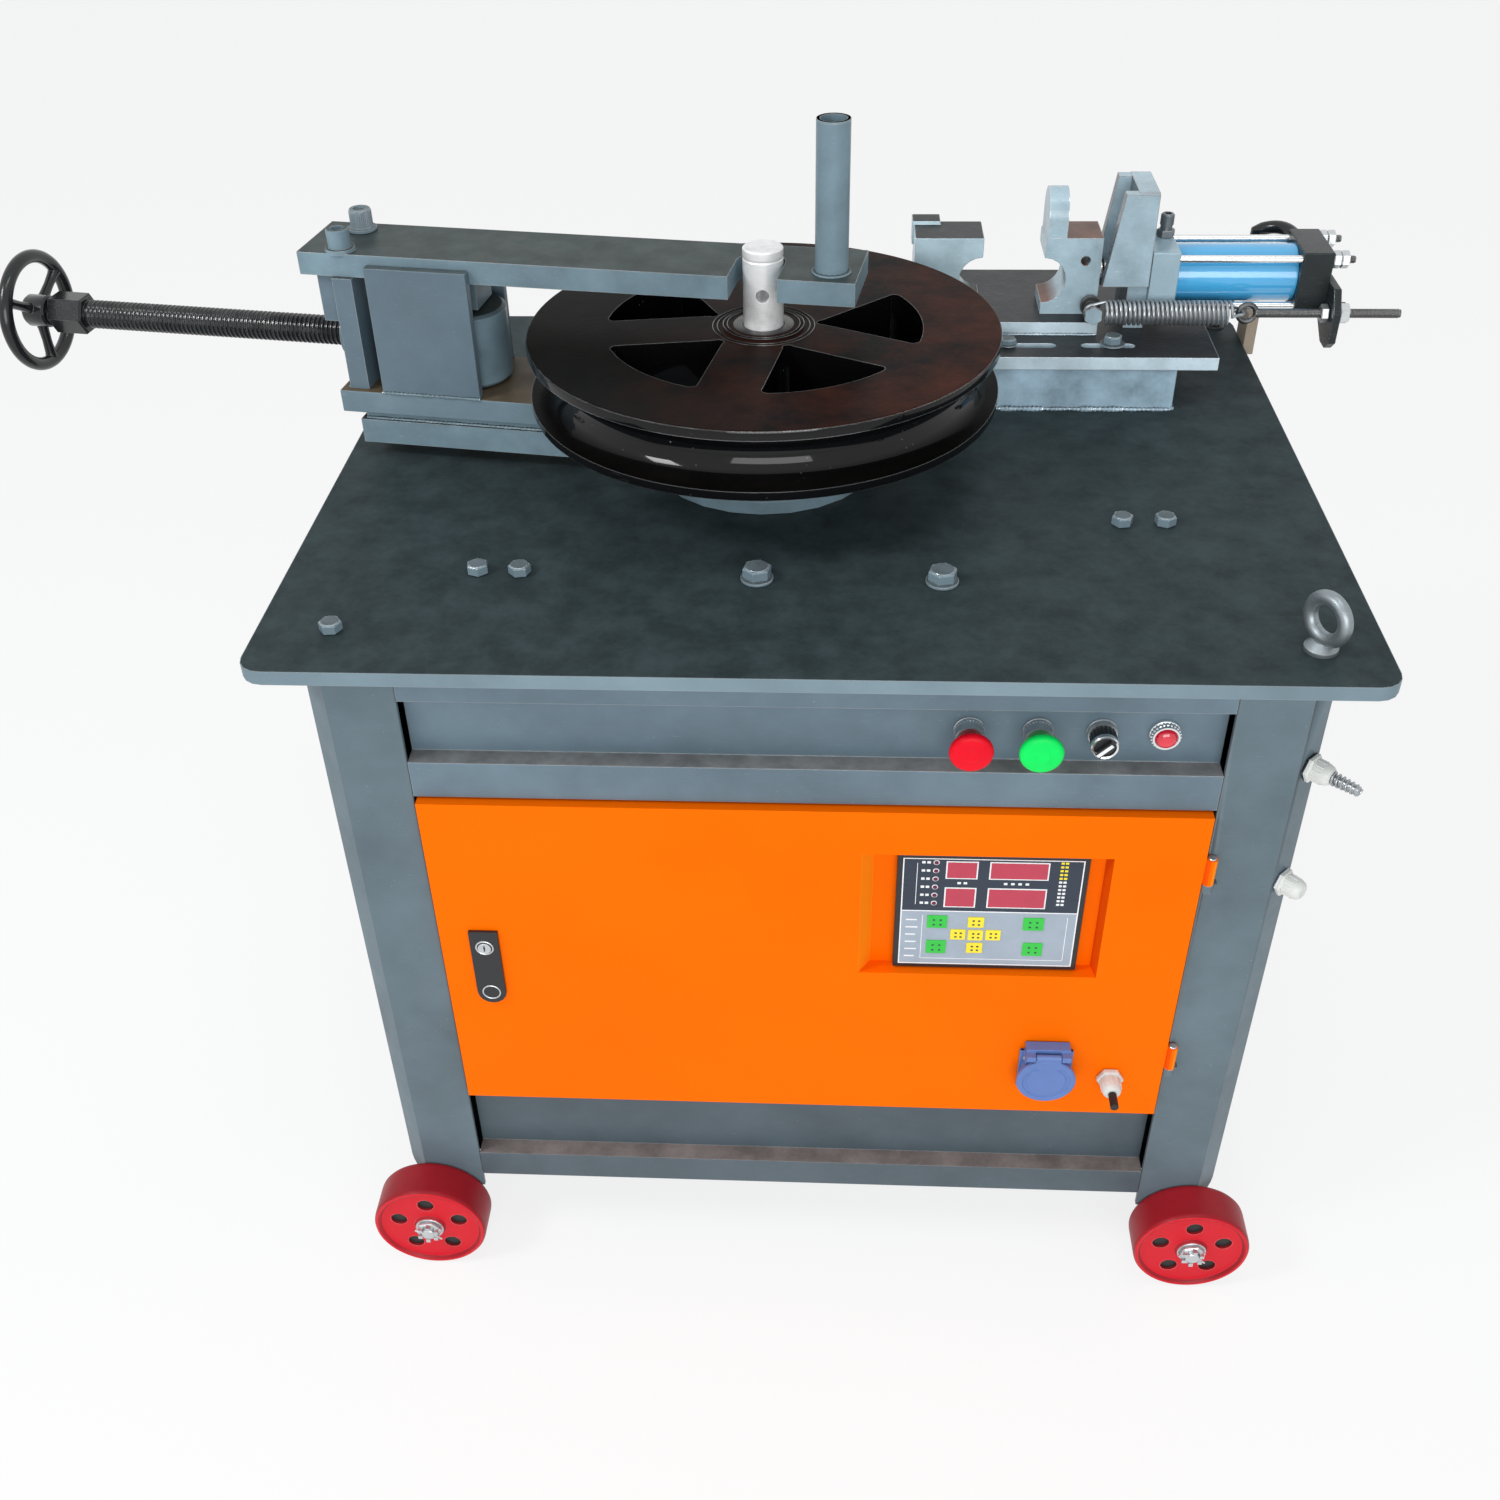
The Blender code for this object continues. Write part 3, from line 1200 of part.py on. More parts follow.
def make_spindle():
    """The fixed spindle, the bearing housing on the table and the bending die."""
    centre = (SPINDLE_X, SPINDLE_Y, 0)
    r = SPINDLE_RADIUS
    profile = [
        (0, SPINDLE_TOP),
        (r, SPINDLE_TOP),
        (r, DIE_LOW - GAP),
        (SPINDLE_SHOULDER, DIE_LOW - GAP),
        (SPINDLE_SHOULDER, SPACER_TOP + GAP),
        (r, SPACER_TOP + GAP),
        (r, HUB_LOW - GAP),
        (THRUST_RADIUS, HUB_LOW - GAP),
        (THRUST_RADIUS, SHELF_TOP + GAP),
        (r, SHELF_TOP + GAP),
        (r, SHELF_LOW - GAP),
        (THRUST_RADIUS, SHELF_LOW - GAP),
        (THRUST_RADIUS, SHELF_LOW - 0.016),
        (0, SHELF_LOW - 0.016),
    ]
    spindle = piece_from(turned(profile, 20, centre), "spindle", "bright_steel", datum)
    hole = SPINDLE_HOLE_Z
    near = (SPINDLE_X, SPINDLE_Y - r - 0.01, hole)
    cut(spindle, rod(near, (SPINDLE_X, SPINDLE_Y + r + 0.01, hole), SPINDLE_HOLE_RADIUS, 10))

    bore = HUB_RADIUS + GAP
    profile = [
        (bore, HOUSING_TOP),
        (HOUSING_RADIUS - 0.002, HOUSING_TOP),
        (HOUSING_RADIUS, HOUSING_TOP - 0.002),
        (HOUSING_RADIUS, GAP),
        (HOUSING_SPIGOT, GAP),
        (HOUSING_SPIGOT, UNDER_TABLE - HOUSING_SPIGOT_DROP),
        (bore, UNDER_TABLE - HOUSING_SPIGOT_DROP),
    ]
    mesh = turned(profile, ROUND_MEDIUM, centre, closed=True)
    piece_from(mesh, "bearing_housing", "machine_grey", datum)

    groove = TUBE_RADIUS + GAP
    depth = DIE_RADIUS - PITCH_RADIUS
    opening = math.asin(depth / groove)
    edge = 0.003
    arc_points = arc((PITCH_RADIUS, BEND_Z), groove, math.pi / 2 - opening, 1.5 * math.pi + opening, 5)
    bore = SPINDLE_RADIUS + GAP
    ring = DIE_HUB_RING
    profile = [
        (bore, DIE_TOP + 0.002),
        (ring - 0.008, DIE_TOP + 0.002),
        (ring, DIE_TOP),
        (DIE_RADIUS - edge, DIE_TOP),
        (DIE_RADIUS, DIE_TOP - edge),
    ]
    profile += arc_points
    profile += [(DIE_RADIUS, DIE_LOW + edge), (DIE_RADIUS - edge, DIE_LOW), (bore, DIE_LOW)]
    die = piece_from(turned(profile, ROUND_LARGE, centre, closed=True), "bending_die", "die_black", datum)
    windows = [window_outline(k) for k in range(DIE_WINDOWS)]
    cut(die, extruded(windows, DIE_LOW - 0.01, DIE_TOP + 0.01))


def window_outline(number):
    """One window of the die: a wedge with rounded corners and a curved outer edge."""
    middle = WINDOW_FIRST_ANGLE + math.tau * number / DIE_WINDOWS
    half = WINDOW_HALF_ANGLE
    corner = WINDOW_CORNER
    outer = WINDOW_OUTER
    centre_radius = outer - corner
    swing = half - corner / centre_radius
    points = []
    for step in range(6):
        angle = -swing + 2 * swing * step / 5
        points.append((outer * math.cos(angle), outer * math.sin(angle)))
    inner = WINDOW_INNER
    low_corner = (centre_radius * math.cos(-swing), centre_radius * math.sin(-swing))
    high_corner = (low_corner[0], -low_corner[1])
    points += arc(high_corner, corner, swing, swing + math.radians(75), 2)[1:]
    points += [(inner, WINDOW_INNER_HALF), (inner, -WINDOW_INNER_HALF)]
    points += arc(low_corner, corner, -swing - math.radians(75), -swing, 2)[:-1]
    turned_points = []
    for x, y in points:
        turned_points.append(
            (
                SPINDLE_X + x * math.cos(middle) - y * math.sin(middle),
                SPINDLE_Y + x * math.sin(middle) + y * math.cos(middle),
            )
        )
    return turned_points


def hub_outline(half_width, reach, inset=0.0):
    """A bar that runs outward from the spindle, its inner end round."""
    half = half_width - inset
    points = arc((0, 0), half, math.pi / 2, 1.5 * math.pi, 12)
    return points + [(reach - inset, -half), (reach - inset, half)]


def make_arm():
    """The welded plates of the swinging arm."""
    mesh = extruded([hub_outline(ARM_HALF_WIDTH, BASE_REACH)], BASE_LOW, BASE_TOP)
    base = piece_from(mesh, "arm_base_plate", "machine_grey", arm, arm)
    spacer = hub_outline(ARM_HALF_WIDTH, BASE_REACH, SPACER_INSET)
    join(base, extruded([spacer], BASE_TOP - BITE, SPACER_TOP))
    join(base, rod((0, 0, HUB_LOW), (0, 0, BASE_LOW + BITE), HUB_RADIUS - GAP, ROUND_MEDIUM))
    cut(base, rod((0, 0, HUB_LOW - 0.01), (0, 0, SPACER_TOP + 0.01), SPINDLE_RADIUS + GAP, 24))

    outline = hub_outline(LOWER_HALF_WIDTH, LOWER_REACH)
    bore = circle((0, 0), SPINDLE_SHOULDER + 3 * GAP, 24)
    mesh = extruded([outline, bore], LOWER_LOW, LOWER_TOP)
    piece_from(mesh, "arm_lower_plate", "machine_grey", arm, arm)

    end = END_PLATE_START + END_PLATE
    half = END_HALF_WIDTH
    mesh = block((END_PLATE_START, -half, ARM_FLOOR), (end, half, ARM_CEILING))
    plate = piece_from(mesh, "arm_end_plate", "machine_grey", arm, arm)
    low = ARM_CEILING - PIVOT_BLOCK_HEIGHT
    side = PIVOT_BLOCK_HALF
    join(plate, block((end - BITE, -side, low), (end + PIVOT_BLOCK, side, ARM_CEILING)))
    join(plate, rod((end - BITE, 0, BEND_Z), (end + BOSS_LENGTH, 0, BEND_Z), BOSS_RADIUS, 28))
    cut(plate, rod((END_PLATE_START - 0.01, 0, BEND_Z), (end + 0.05, 0, BEND_Z), SCREW_RADIUS + GAP, 24))
    pivot_low = (SCREW_A, PIVOT_SIDE, ARM_CEILING - PIVOT_DEPTH - GAP)
    pivot_high = (SCREW_A, PIVOT_SIDE, ARM_CEILING + 0.01)
    cut(plate, rod(pivot_low, pivot_high, CAP_SCREW_RADIUS + 2 * GAP))

    inner = LOWER_HALF_WIDTH - SIDE_PLATE
    front_low = (SIDE_START, inner, ARM_FLOOR)
    front_high = (SIDE_END, LOWER_HALF_WIDTH, ARM_CEILING + STOP_RISE)
    piece_from(block(front_low, front_high), "front_side_plate", "machine_grey", arm, arm)
    rear_low = (SIDE_START, -LOWER_HALF_WIDTH, ARM_FLOOR)
    rear_high = (SIDE_END, -inner, ARM_CEILING)
    piece_from(block(rear_low, rear_high), "rear_side_plate", "machine_grey", arm, arm)


def make_feed():
    """The roller, the carrier that slides in the arm, and the screw with its handwheel."""
    half = LOWER_HALF_WIDTH - SIDE_PLATE - GAP
    back = END_PLATE_START - FEED_OUT - 0.0005
    front = ROLLER_DISTANCE + ROLLER_RADIUS + ROLLER_CLEARANCE
    top = ARM_CEILING - GAP
    low = ARM_FLOOR
    roller_low = LOWER_TOP + ROLLER_CLEARANCE
    roller_high = roller_low + ROLLER_HEIGHT
    mesh = block((front, -half, low), (back, half, top))
    carrier = piece_from(mesh, "roller_carrier", "machine_grey", feed, arm)
    nose = ROLLER_DISTANCE - CARRIER_CHEEK_NOSE
    cheek = CARRIER_CHEEK_HALF
    join(carrier, block((nose, -cheek, roller_high + ROLLER_CLEARANCE), (front + BITE, cheek, top)))
    pin_low = (ROLLER_DISTANCE, 0, low)
    join(carrier, rod(pin_low, (ROLLER_DISTANCE, 0, top - 0.005), ROLLER_PIN, 14))
    seat = back - SCREW_SEAT
    cut(carrier, rod((seat, 0, BEND_Z), (back + 0.01, 0, BEND_Z), SCREW_RADIUS + GAP, 24))

    bore = ROLLER_PIN + GAP
    profile = [
        (bore, roller_high),
        (ROLLER_RADIUS - 0.0015, roller_high),
        (ROLLER_RADIUS, roller_high - 0.0015),
        (ROLLER_RADIUS, roller_low + 0.0015),
        (ROLLER_RADIUS - 0.0015, roller_low),
        (bore, roller_low),
    ]
    mesh = turned(profile, 24, (ROLLER_DISTANCE, 0, 0), closed=True)
    piece_from(mesh, "pressure_roller", "machine_grey", roller_spin, arm)

    start = seat + GAP
    coupling = back + SCREW_TO_COUPLING
    coupling_end = coupling + COUPLING_LENGTH
    mesh = rod((start, 0, BEND_Z), (coupling + BITE, 0, BEND_Z), SCREW_RADIUS, 24)
    screw = piece_from(mesh, "feed_screw", "black_paint", screw_axis, arm)
    join(screw, hexagon((coupling, 0, BEND_Z), (coupling_end, 0, BEND_Z), COUPLING_FLATS))
    stub_end = coupling_end + STUB_LENGTH
    join(screw, rod((coupling_end - BITE, 0, BEND_Z), (stub_end, 0, BEND_Z), STUB_RADIUS, 20))

    hub_start = coupling_end + 0.006
    hub_end = hub_start + HANDWHEEL_HUB_LENGTH
    middle = (hub_start + hub_end) / 2 + 0.004
    mesh = ring_mesh((middle, 0, BEND_Z), (1, 0, 0), HANDWHEEL_RADIUS, HANDWHEEL_RIM, 20, 6)
    handwheel = piece_from(mesh, "handwheel", "black_paint", screw_axis, arm)
    join(handwheel, rod((hub_start, 0, BEND_Z), (hub_end, 0, BEND_Z), HANDWHEEL_HUB, 20))
    for number in range(HANDWHEEL_SPOKES):
        turn = math.tau * (number + 0.25) / HANDWHEEL_SPOKES
        tip = (middle, HANDWHEEL_RADIUS * math.cos(turn), BEND_Z + HANDWHEEL_RADIUS * math.sin(turn))
        join(handwheel, rod((middle, 0, BEND_Z), tip, HANDWHEEL_SPOKE, 8))
    cut(handwheel, rod((hub_start - 0.01, 0, BEND_Z), (hub_end + 0.01, 0, BEND_Z), STUB_RADIUS + GAP, 20))


def make_top_plate():
    """The plate that ties the arm to the top of the spindle, with its handle and screws."""
    half = TOP_HALF_WIDTH
    slot_left = TOP_SLOT_CENTRE + TOP_SLOT_HALF
    slot_right = TOP_SLOT_CENTRE - TOP_SLOT_HALF
    outline = [(TOP_OUTER, -half), (TOP_OUTER, half), (slot_left, half)]
    outline += arc((TOP_SLOT_CENTRE, 0), TOP_SLOT_HALF, 0, -math.pi, 12)
    outline += [(slot_right, half), (TOP_INNER, half), (TOP_INNER, -half)]
    hole = CAP_SCREW_RADIUS + 2 * GAP
    mesh = extruded([outline, circle((SCREW_A, PIVOT_SIDE), hole)], TOP_LOW, TOP_TOP)
    plate = piece_from(mesh, "arm_top_plate", "machine_grey", top_axis, arm)
    tip = TOP_TOP + HANDLE_HEIGHT
    place = lambda z: (HANDLE_A, HANDLE_SIDE, z)
    join(plate, rod(place(TOP_TOP - BITE), place(tip), HANDLE_RADIUS, 18))
    cut(plate, rod(place(tip - HANDLE_BORE_DEPTH), place(tip + 0.01), HANDLE_BORE, 14))
    join(plate, cap_screw(CLAMP_SCREW_SIDE, TOP_TOP - BITE, TOP_LOW + 0.004))
    cut(plate, cap_socket(CLAMP_SCREW_SIDE))

    mesh = cap_screw(PIVOT_SIDE, TOP_TOP + GAP, ARM_CEILING - PIVOT_DEPTH)
    pivot = piece_from(mesh, "pivot_screw", "machine_grey", arm, arm)
    cut(pivot, cap_socket(PIVOT_SIDE))


def cap_screw(side, seat, low):
    """A socket head screw standing at one side of the arm, its washer starting at the seat."""
    washer = TOP_TOP + GAP + CAP_WASHER
    head = washer + CAP_HEAD_HEIGHT
    profile = [
        (0, head),
        (CAP_HEAD_RADIUS - 0.001, head),
        (CAP_HEAD_RADIUS, head - 0.001),
        (CAP_HEAD_RADIUS, washer),
        (CAP_WASHER_RADIUS, washer),
        (CAP_WASHER_RADIUS, seat),
        (CAP_SCREW_RADIUS, seat),
        (CAP_SCREW_RADIUS, low),
        (0, low),
    ]
    return turned(profile, 16, (SCREW_A, side, 0))


def cap_socket(side):
    head = TOP_TOP + GAP + CAP_WASHER + CAP_HEAD_HEIGHT
    return hexagon((SCREW_A, side, head - 0.009), (SCREW_A, side, head + 0.005), CAP_SOCKET * 2)


def gear_outline(centre, teeth, phase):
    """An involute spur gear."""
    pitch = GEAR_MODULE * teeth / 2
    base = pitch * math.cos(PRESSURE_ANGLE)
    tip = pitch + ADDENDUM * GEAR_MODULE
    root = pitch - DEDENDUM * GEAR_MODULE
    start = max(base, root)
    half = math.pi / (2 * teeth) - TOOTH_THINNING / 2 / pitch
    at_pitch = math.tan(PRESSURE_ANGLE) - PRESSURE_ANGLE
    flank = []
    for radius in (start, tip):
        roll = math.acos(min(1, base / radius))
        flank.append((radius, half + at_pitch - (math.tan(roll) - roll)))
    if root < start:
        flank.insert(0, (root, flank[0][1]))
    points = []
    for tooth in range(teeth):
        middle = phase + math.tau * tooth / teeth
        side = [(radius, middle - angle) for radius, angle in flank]
        side += [(radius, middle + angle) for radius, angle in flank[::-1]]
        points += [(centre[0] + r * math.cos(a), centre[1] + r * math.sin(a)) for r, a in side]
    return points


def make_drive():
    """Ring gear on the arm hub, pinion, gearmotor under the shelf and the hydraulic unit."""
    outline = gear_outline((0, 0), GEAR_TEETH, -ARM_ANGLE)
    mesh = extruded([outline, circle((0, 0), HUB_RADIUS + GAP, ROUND_MEDIUM)], GEAR_LOW, GEAR_TOP)
    piece_from(mesh, "arm_gear", "dark_steel", arm, arm)

    outline = gear_outline((PINION_X, SPINDLE_Y), PINION_TEETH, 0)
    pinion = piece_from(extruded([outline], GEAR_LOW, GEAR_TOP), "drive_pinion", "dark_steel", pinion_axis)
    shaft_end = SHELF_LOW - 0.060
    top = (PINION_X, SPINDLE_Y, GEAR_LOW + BITE)
    join(pinion, rod((PINION_X, SPINDLE_Y, shaft_end), top, PINION_SHAFT, 14))

    half = GEARBOX_SIDE / 2
    box_top = SHELF_LOW - GAP
    box_low = box_top - GEARBOX_HEIGHT
    low = (PINION_X - half, SPINDLE_Y - half, box_low)
    mesh = block(low, (PINION_X + half, SPINDLE_Y + half, box_top))
    motor = piece_from(mesh, "gearmotor", "machine_grey", datum)
    axis_z = (box_low + box_top) / 2
    start = (PINION_X + half - BITE, SPINDLE_Y, axis_z)
    end = (PINION_X + half + MOTOR_LENGTH, SPINDLE_Y, axis_z)
    join(motor, rod(start, end, MOTOR_RADIUS - 0.004, 18))
    low = (PINION_X, SPINDLE_Y, shaft_end - GAP)
    cut(motor, rod(low, (PINION_X, SPINDLE_Y, box_top + 0.01), PINION_SHAFT + 2 * GAP, 14))

    floor = CABINET_BOTTOM + 0.0005 + CABINET_SHEET + GAP
    low = (TANK_LEFT, TANK_FRONT, floor)
    tank_top = floor + TANK_HEIGHT
    mesh = block(low, (TANK_LEFT + TANK_WIDTH, TANK_FRONT + TANK_DEPTH, tank_top))
    tank = piece_from(mesh, "hydraulic_unit", "machine_grey", datum)
    centre = (TANK_LEFT + TANK_WIDTH / 2, TANK_FRONT + TANK_DEPTH / 2)
    join(tank, rod((*centre, tank_top - BITE), (*centre, tank_top + PUMP_HEIGHT), PUMP_RADIUS, 18))


def make_clamp():
    """The clamp block and rail on the table, and the two jaws."""
    right = CLAMP_LEFT + CLAMP_BLOCK_LENGTH
    mesh = block((CLAMP_LEFT, CLAMP_BLOCK_FRONT, GAP), (right, RAIL_BACK, BLOCK_TOP))
    piece_from(mesh, "clamp_block", "machine_grey", datum)

    outline = rectangle(CLAMP_LEFT, RAIL_FRONT, CLAMP_LEFT + RAIL_LENGTH, RAIL_BACK)
    slots = []
    for start in RAIL_SLOTS:
        left = CLAMP_LEFT + start
        y = RAIL_FRONT + RAIL_SLOT_INSET
        half = RAIL_SLOT_HALF
        slot = arc((left + half, y), half, math.pi / 2, 1.5 * math.pi, 5)
        slot += arc((left + RAIL_SLOT_LENGTH - half, y), half, -math.pi / 2, math.pi / 2, 5)
        slots.append(slot)
    rail = piece_from(extruded([outline] + slots, RAIL_LOW, RAIL_TOP), "clamp_rail", "machine_grey", datum)
    way_low = (CLAMP_LEFT + BITE, RAIL_FRONT + SLIDEWAY_INSET, RAIL_TOP - BITE)
    join(rail, block(way_low, (CLAMP_LEFT + SLIDEWAY_LENGTH, RAIL_BACK - BITE, SLIDEWAY_TOP)))

    groove = TUBE_RADIUS + GAP
    front = JAW_Y - JAW_DEPTH / 2
    back = JAW_Y + JAW_DEPTH / 2
    left = FIXED_FACE - FIXED_JAW_LENGTH
    outline = [(left, JAW_TOP), (left, JAW_LOW), (FIXED_FACE, JAW_LOW)]
    outline += arc((FIXED_FACE, BEND_Z), groove, 1.5 * math.pi, math.pi / 2, 10)
    outline += [(FIXED_FACE, JAW_TOP)]
    jaw = piece_from(extruded([outline], front, back, "Y"), "fixed_jaw", "machine_grey", datum)
    lug_low = (left - 0.002, back - 0.012, BEND_Z + TUBE_RADIUS)
    lug_high = (left - 0.002 + FIXED_LUG_LENGTH, back - 0.012 + FIXED_LUG_DEPTH, JAW_TOP + FIXED_LUG_RISE)
    join(jaw, block(lug_low, lug_high))

    outline = [(MOVING_FACE, JAW_LOW), (MOVING_BACK, JAW_LOW), (MOVING_BACK, JAW_TOP)]
    outline += [(MOVING_FACE + 0.005, JAW_TOP), (MOVING_FACE, JAW_TOP - 0.006)]
    outline += arc((MOVING_FACE, BEND_Z), groove, math.pi / 2, -math.pi / 2, 10)
    jaw = piece_from(extruded([outline], front, back, "Y"), "moving_jaw", "machine_grey", clamp_axis)
    lug_round = JAW_DEPTH / 2 - 0.0005
    lug = [(front + 0.0005, JAW_TOP - 0.004)]
    lug += [(back - 0.0005, JAW_TOP - 0.004)]
    lug += arc((JAW_Y, MOVING_LUG_TOP - lug_round), lug_round, 0, math.pi, 10)
    lug_start = MOVING_FACE + 0.0012
    join(jaw, extruded([lug], lug_start, lug_start + MOVING_LUG_LENGTH, "X"))
    hole_x = MOVING_FACE + JAW_HOLE_X
    cut(jaw, rod((hole_x, front - 0.01, JAW_HOLE_Z), (hole_x, back + 0.01, JAW_HOLE_Z), JAW_HOLE_RADIUS, 14))
    tip = SPRING_Y - HOOK_BOLT_PAST_SPRING
    join(jaw, rod((HOOK_X, tip, SPRING_Z), (HOOK_X, front + 0.005, SPRING_Z), HOOK_BOLT_RADIUS, 18))
    head = (HOOK_X, tip - HOOK_HEAD, SPRING_Z)
    join(jaw, hexagon(head, (HOOK_X, tip + 0.0005, SPRING_Z), HOOK_HEAD_RADIUS * 1.8))
    collar_end = front - 0.010
    join(jaw, rod((HOOK_X, collar_end, SPRING_Z), (HOOK_X, front + 0.002, SPRING_Z), HOOK_HEAD_RADIUS, 18))


def make_cylinder():
    """The bracket, the clamp cylinder, its piston and the spring adjuster."""
    half = BRACKET_HALF_DEPTH
    relief = BRACKET_FRONT_RELIEF
    low = (BRACKET_FACE, JAW_Y - half + relief, RAIL_TOP + GAP)
    mesh = block(low, (BRACKET_REAR, JAW_Y + half, BRACKET_TOP))
    bracket = piece_from(mesh, "cylinder_bracket", "machine_grey", datum)
    gusset = [
        (BRACKET_FACE - GUSSET_TOP_REACH, BRACKET_TOP - 0.0005),
        (BRACKET_FACE - GUSSET_LOW_REACH, GUSSET_BOTTOM),
        (BRACKET_REAR - 0.0005, GUSSET_BOTTOM),
        (BRACKET_REAR - 0.0005, BRACKET_TOP - 0.0005),
    ]
    front = JAW_Y - half
    back = JAW_Y + half - 0.0005
    join(bracket, extruded([gusset], front, front + GUSSET, "Y"))
    join(bracket, extruded([gusset], back - GUSSET, back, "Y"))
    bore_start = (BRACKET_FACE - 0.05, JAW_Y, BEND_Z)
    cut(bracket, rod(bore_start, (BRACKET_REAR + 0.01, JAW_Y, BEND_Z), PISTON_ROD + GAP, 24))

    start = BRACKET_REAR + GAP
    cap_y = CAP_HALF_DEPTH
    cap_z = CAP_HALF_HEIGHT
    low = (start, JAW_Y - cap_y, BEND_Z - cap_z)
    mesh = block(low, (FRONT_CAP_END, JAW_Y + cap_y, BEND_Z + cap_z))
    cap = piece_from(mesh, "cylinder_front_cap", "black_paint", datum)
    port = (FRONT_CAP_END - PORT_X, JAW_Y + PORT_BACK, BEND_Z + cap_z - BITE)
    join(cap, rod(port, (port[0], port[1], port[2] + PORT_HEIGHT), PORT_RADIUS, 12))
    join(cap, hexagon(port, (port[0], port[1], port[2] + 0.009), PORT_RADIUS * 2.3))
    cut(cap, rod((start - 0.01, JAW_Y, BEND_Z), (FRONT_CAP_END + 0.01, JAW_Y, BEND_Z), PISTON_ROD + GAP, 24))
    for y, z in tie_places():
        cut(cap, rod((start + 0.004, y, z), (FRONT_CAP_END + 0.01, y, z), TIE_ROD + 2 * GAP, ROUND_TINY))

    wall = BARREL_WALL
    profile = [
        (BARREL_RADIUS - wall, CYLINDER_STROKE_BODY - GAP),
        (BARREL_RADIUS, CYLINDER_STROKE_BODY - GAP),
        (BARREL_RADIUS, GAP),
        (BARREL_RADIUS - wall, GAP),
    ]
    mesh = turned(profile, ROUND_MEDIUM, (FRONT_CAP_END, JAW_Y, BEND_Z), (1, 0, 0), closed=True)
    piece_from(mesh, "cylinder_barrel", "cylinder_blue", datum)

    low = (REAR_CAP_START, JAW_Y - cap_y, BEND_Z - cap_z)
    mesh = block(low, (REAR_CAP_END, JAW_Y + cap_y, BEND_Z + cap_z))
    rear = piece_from(mesh, "cylinder_rear_cap", "black_paint", datum)
    ear_front = SPRING_Y - EAR_FRONT
    ear = [
        (JAW_Y, EAR_BOTTOM + 0.030),
        (JAW_Y, EAR_TOP),
        (ear_front + 0.016, EAR_TOP),
        (ear_front, EAR_TOP - 0.022),
        (ear_front, EAR_BOTTOM + 0.010),
        (ear_front + 0.012, EAR_BOTTOM),
        (ear_front + 0.030, EAR_BOTTOM),
    ]
    join(rear, extruded([ear], REAR_CAP_END - BITE, EAR_END, "X"))
    for y, z in tie_places():
        tie_start = start + 0.004 + GAP
        join(rear, rod((tie_start, y, z), (REAR_CAP_END + TIE_END, y, z), TIE_ROD, ROUND_TINY))
        nut_start = REAR_CAP_END - BITE
        join(rear, hexagon((nut_start, y, z), (REAR_CAP_END + EAR_THICK + TIE_NUT_LENGTH, y, z), TIE_NUT * 2))
    port_x = REAR_CAP_END - HOSE_PORT_FROM_END
    port_start = (port_x, JAW_Y + cap_y - BITE, HOSE_PORT_Z)
    port_end = (port_x, JAW_Y + cap_y + HOSE_FITTING, HOSE_PORT_Z)
    join(rear, hexagon(port_start, port_end, HOSE_FITTING_RADIUS * 1.8))
    join(rear, tube_along(elbow_route(), ELBOW_RADIUS, 1))
    clear = ADJUSTER_RADIUS + GAP
    cut(rear, rod((REAR_CAP_END - 0.01, SPRING_Y, SPRING_Z), (EAR_END + 0.01, SPRING_Y, SPRING_Z), clear, 12))

    end = REAR_CAP_START - PISTON_FROM_CAP
    rod_start = MOVING_BACK + GAP
    mesh = rod((rod_start, JAW_Y, BEND_Z), (end, JAW_Y, BEND_Z), PISTON_ROD, 18)
    piston = piece_from(mesh, "piston_rod", "bright_steel", clamp_axis)
    bore = BARREL_RADIUS - BARREL_WALL - GAP
    join(piston, rod((end - PISTON_THICK, JAW_Y, BEND_Z), (end - 0.0005, JAW_Y, BEND_Z), bore, ROUND_MEDIUM))


def tie_places():
    return [(JAW_Y + side * TIE_HALF_Y, BEND_Z + up * TIE_HALF_Z) for side in (-1, 1) for up in (-1, 1)]


def make_spring():
    """The return spring: a hook over the jaw bolt, the coil, and a hook through the adjuster eye."""
    hook = HOOK_BOLT_RADIUS + SPRING_WIRE + 2 * GAP
    points = []
    for x, z in arc((HOOK_X, SPRING_Z), hook, math.radians(290), math.radians(90), 10):
        points.append(Vector((x, SPRING_Y, z)))
    first = points[0]
    tangent = Vector((1, 0, 0.35)).normalized()
    points.insert(0, first + tangent * SPRING_WIRE * 2)
    points.append(Vector((HOOK_X + SPRING_COIL_START * 0.55, SPRING_Y, SPRING_Z + SPRING_RADIUS * 0.88)))
    steps = SPRING_CURLS * SPRING_POINTS
    quarter = steps + round(SPRING_POINTS / 4)
    for step in range(quarter + 1):
        angle = math.tau * step / SPRING_POINTS
        x = COIL_START + SPRING_COIL_LENGTH * step / quarter
        y = SPRING_Y - SPRING_RADIUS * math.sin(angle)
        points.append(Vector((x, y, SPRING_Z + SPRING_RADIUS * math.cos(angle))))
    rim = EYE_X - EYE_RADIUS
    reach = EYE_WIRE + SPRING_WIRE + 2 * GAP
    points.append(Vector((COIL_END + 0.004, SPRING_Y - SPRING_RADIUS * 0.75, SPRING_Z)))
    for x, y in arc((rim, SPRING_Y), reach, math.radians(-90), math.radians(90), 6):
        points.append(Vector((x, y, SPRING_Z)))
    points.append(points[-1] + Vector((-2 * SPRING_WIRE, 0, 0)))
    mesh = tube_along(points, SPRING_WIRE, 1)
    piece_from(mesh, "return_spring", "dark_steel", datum)
    print(f"return_spring least gap to itself {least_gap(points, SPRING_WIRE) * 1000:.2f} mm")


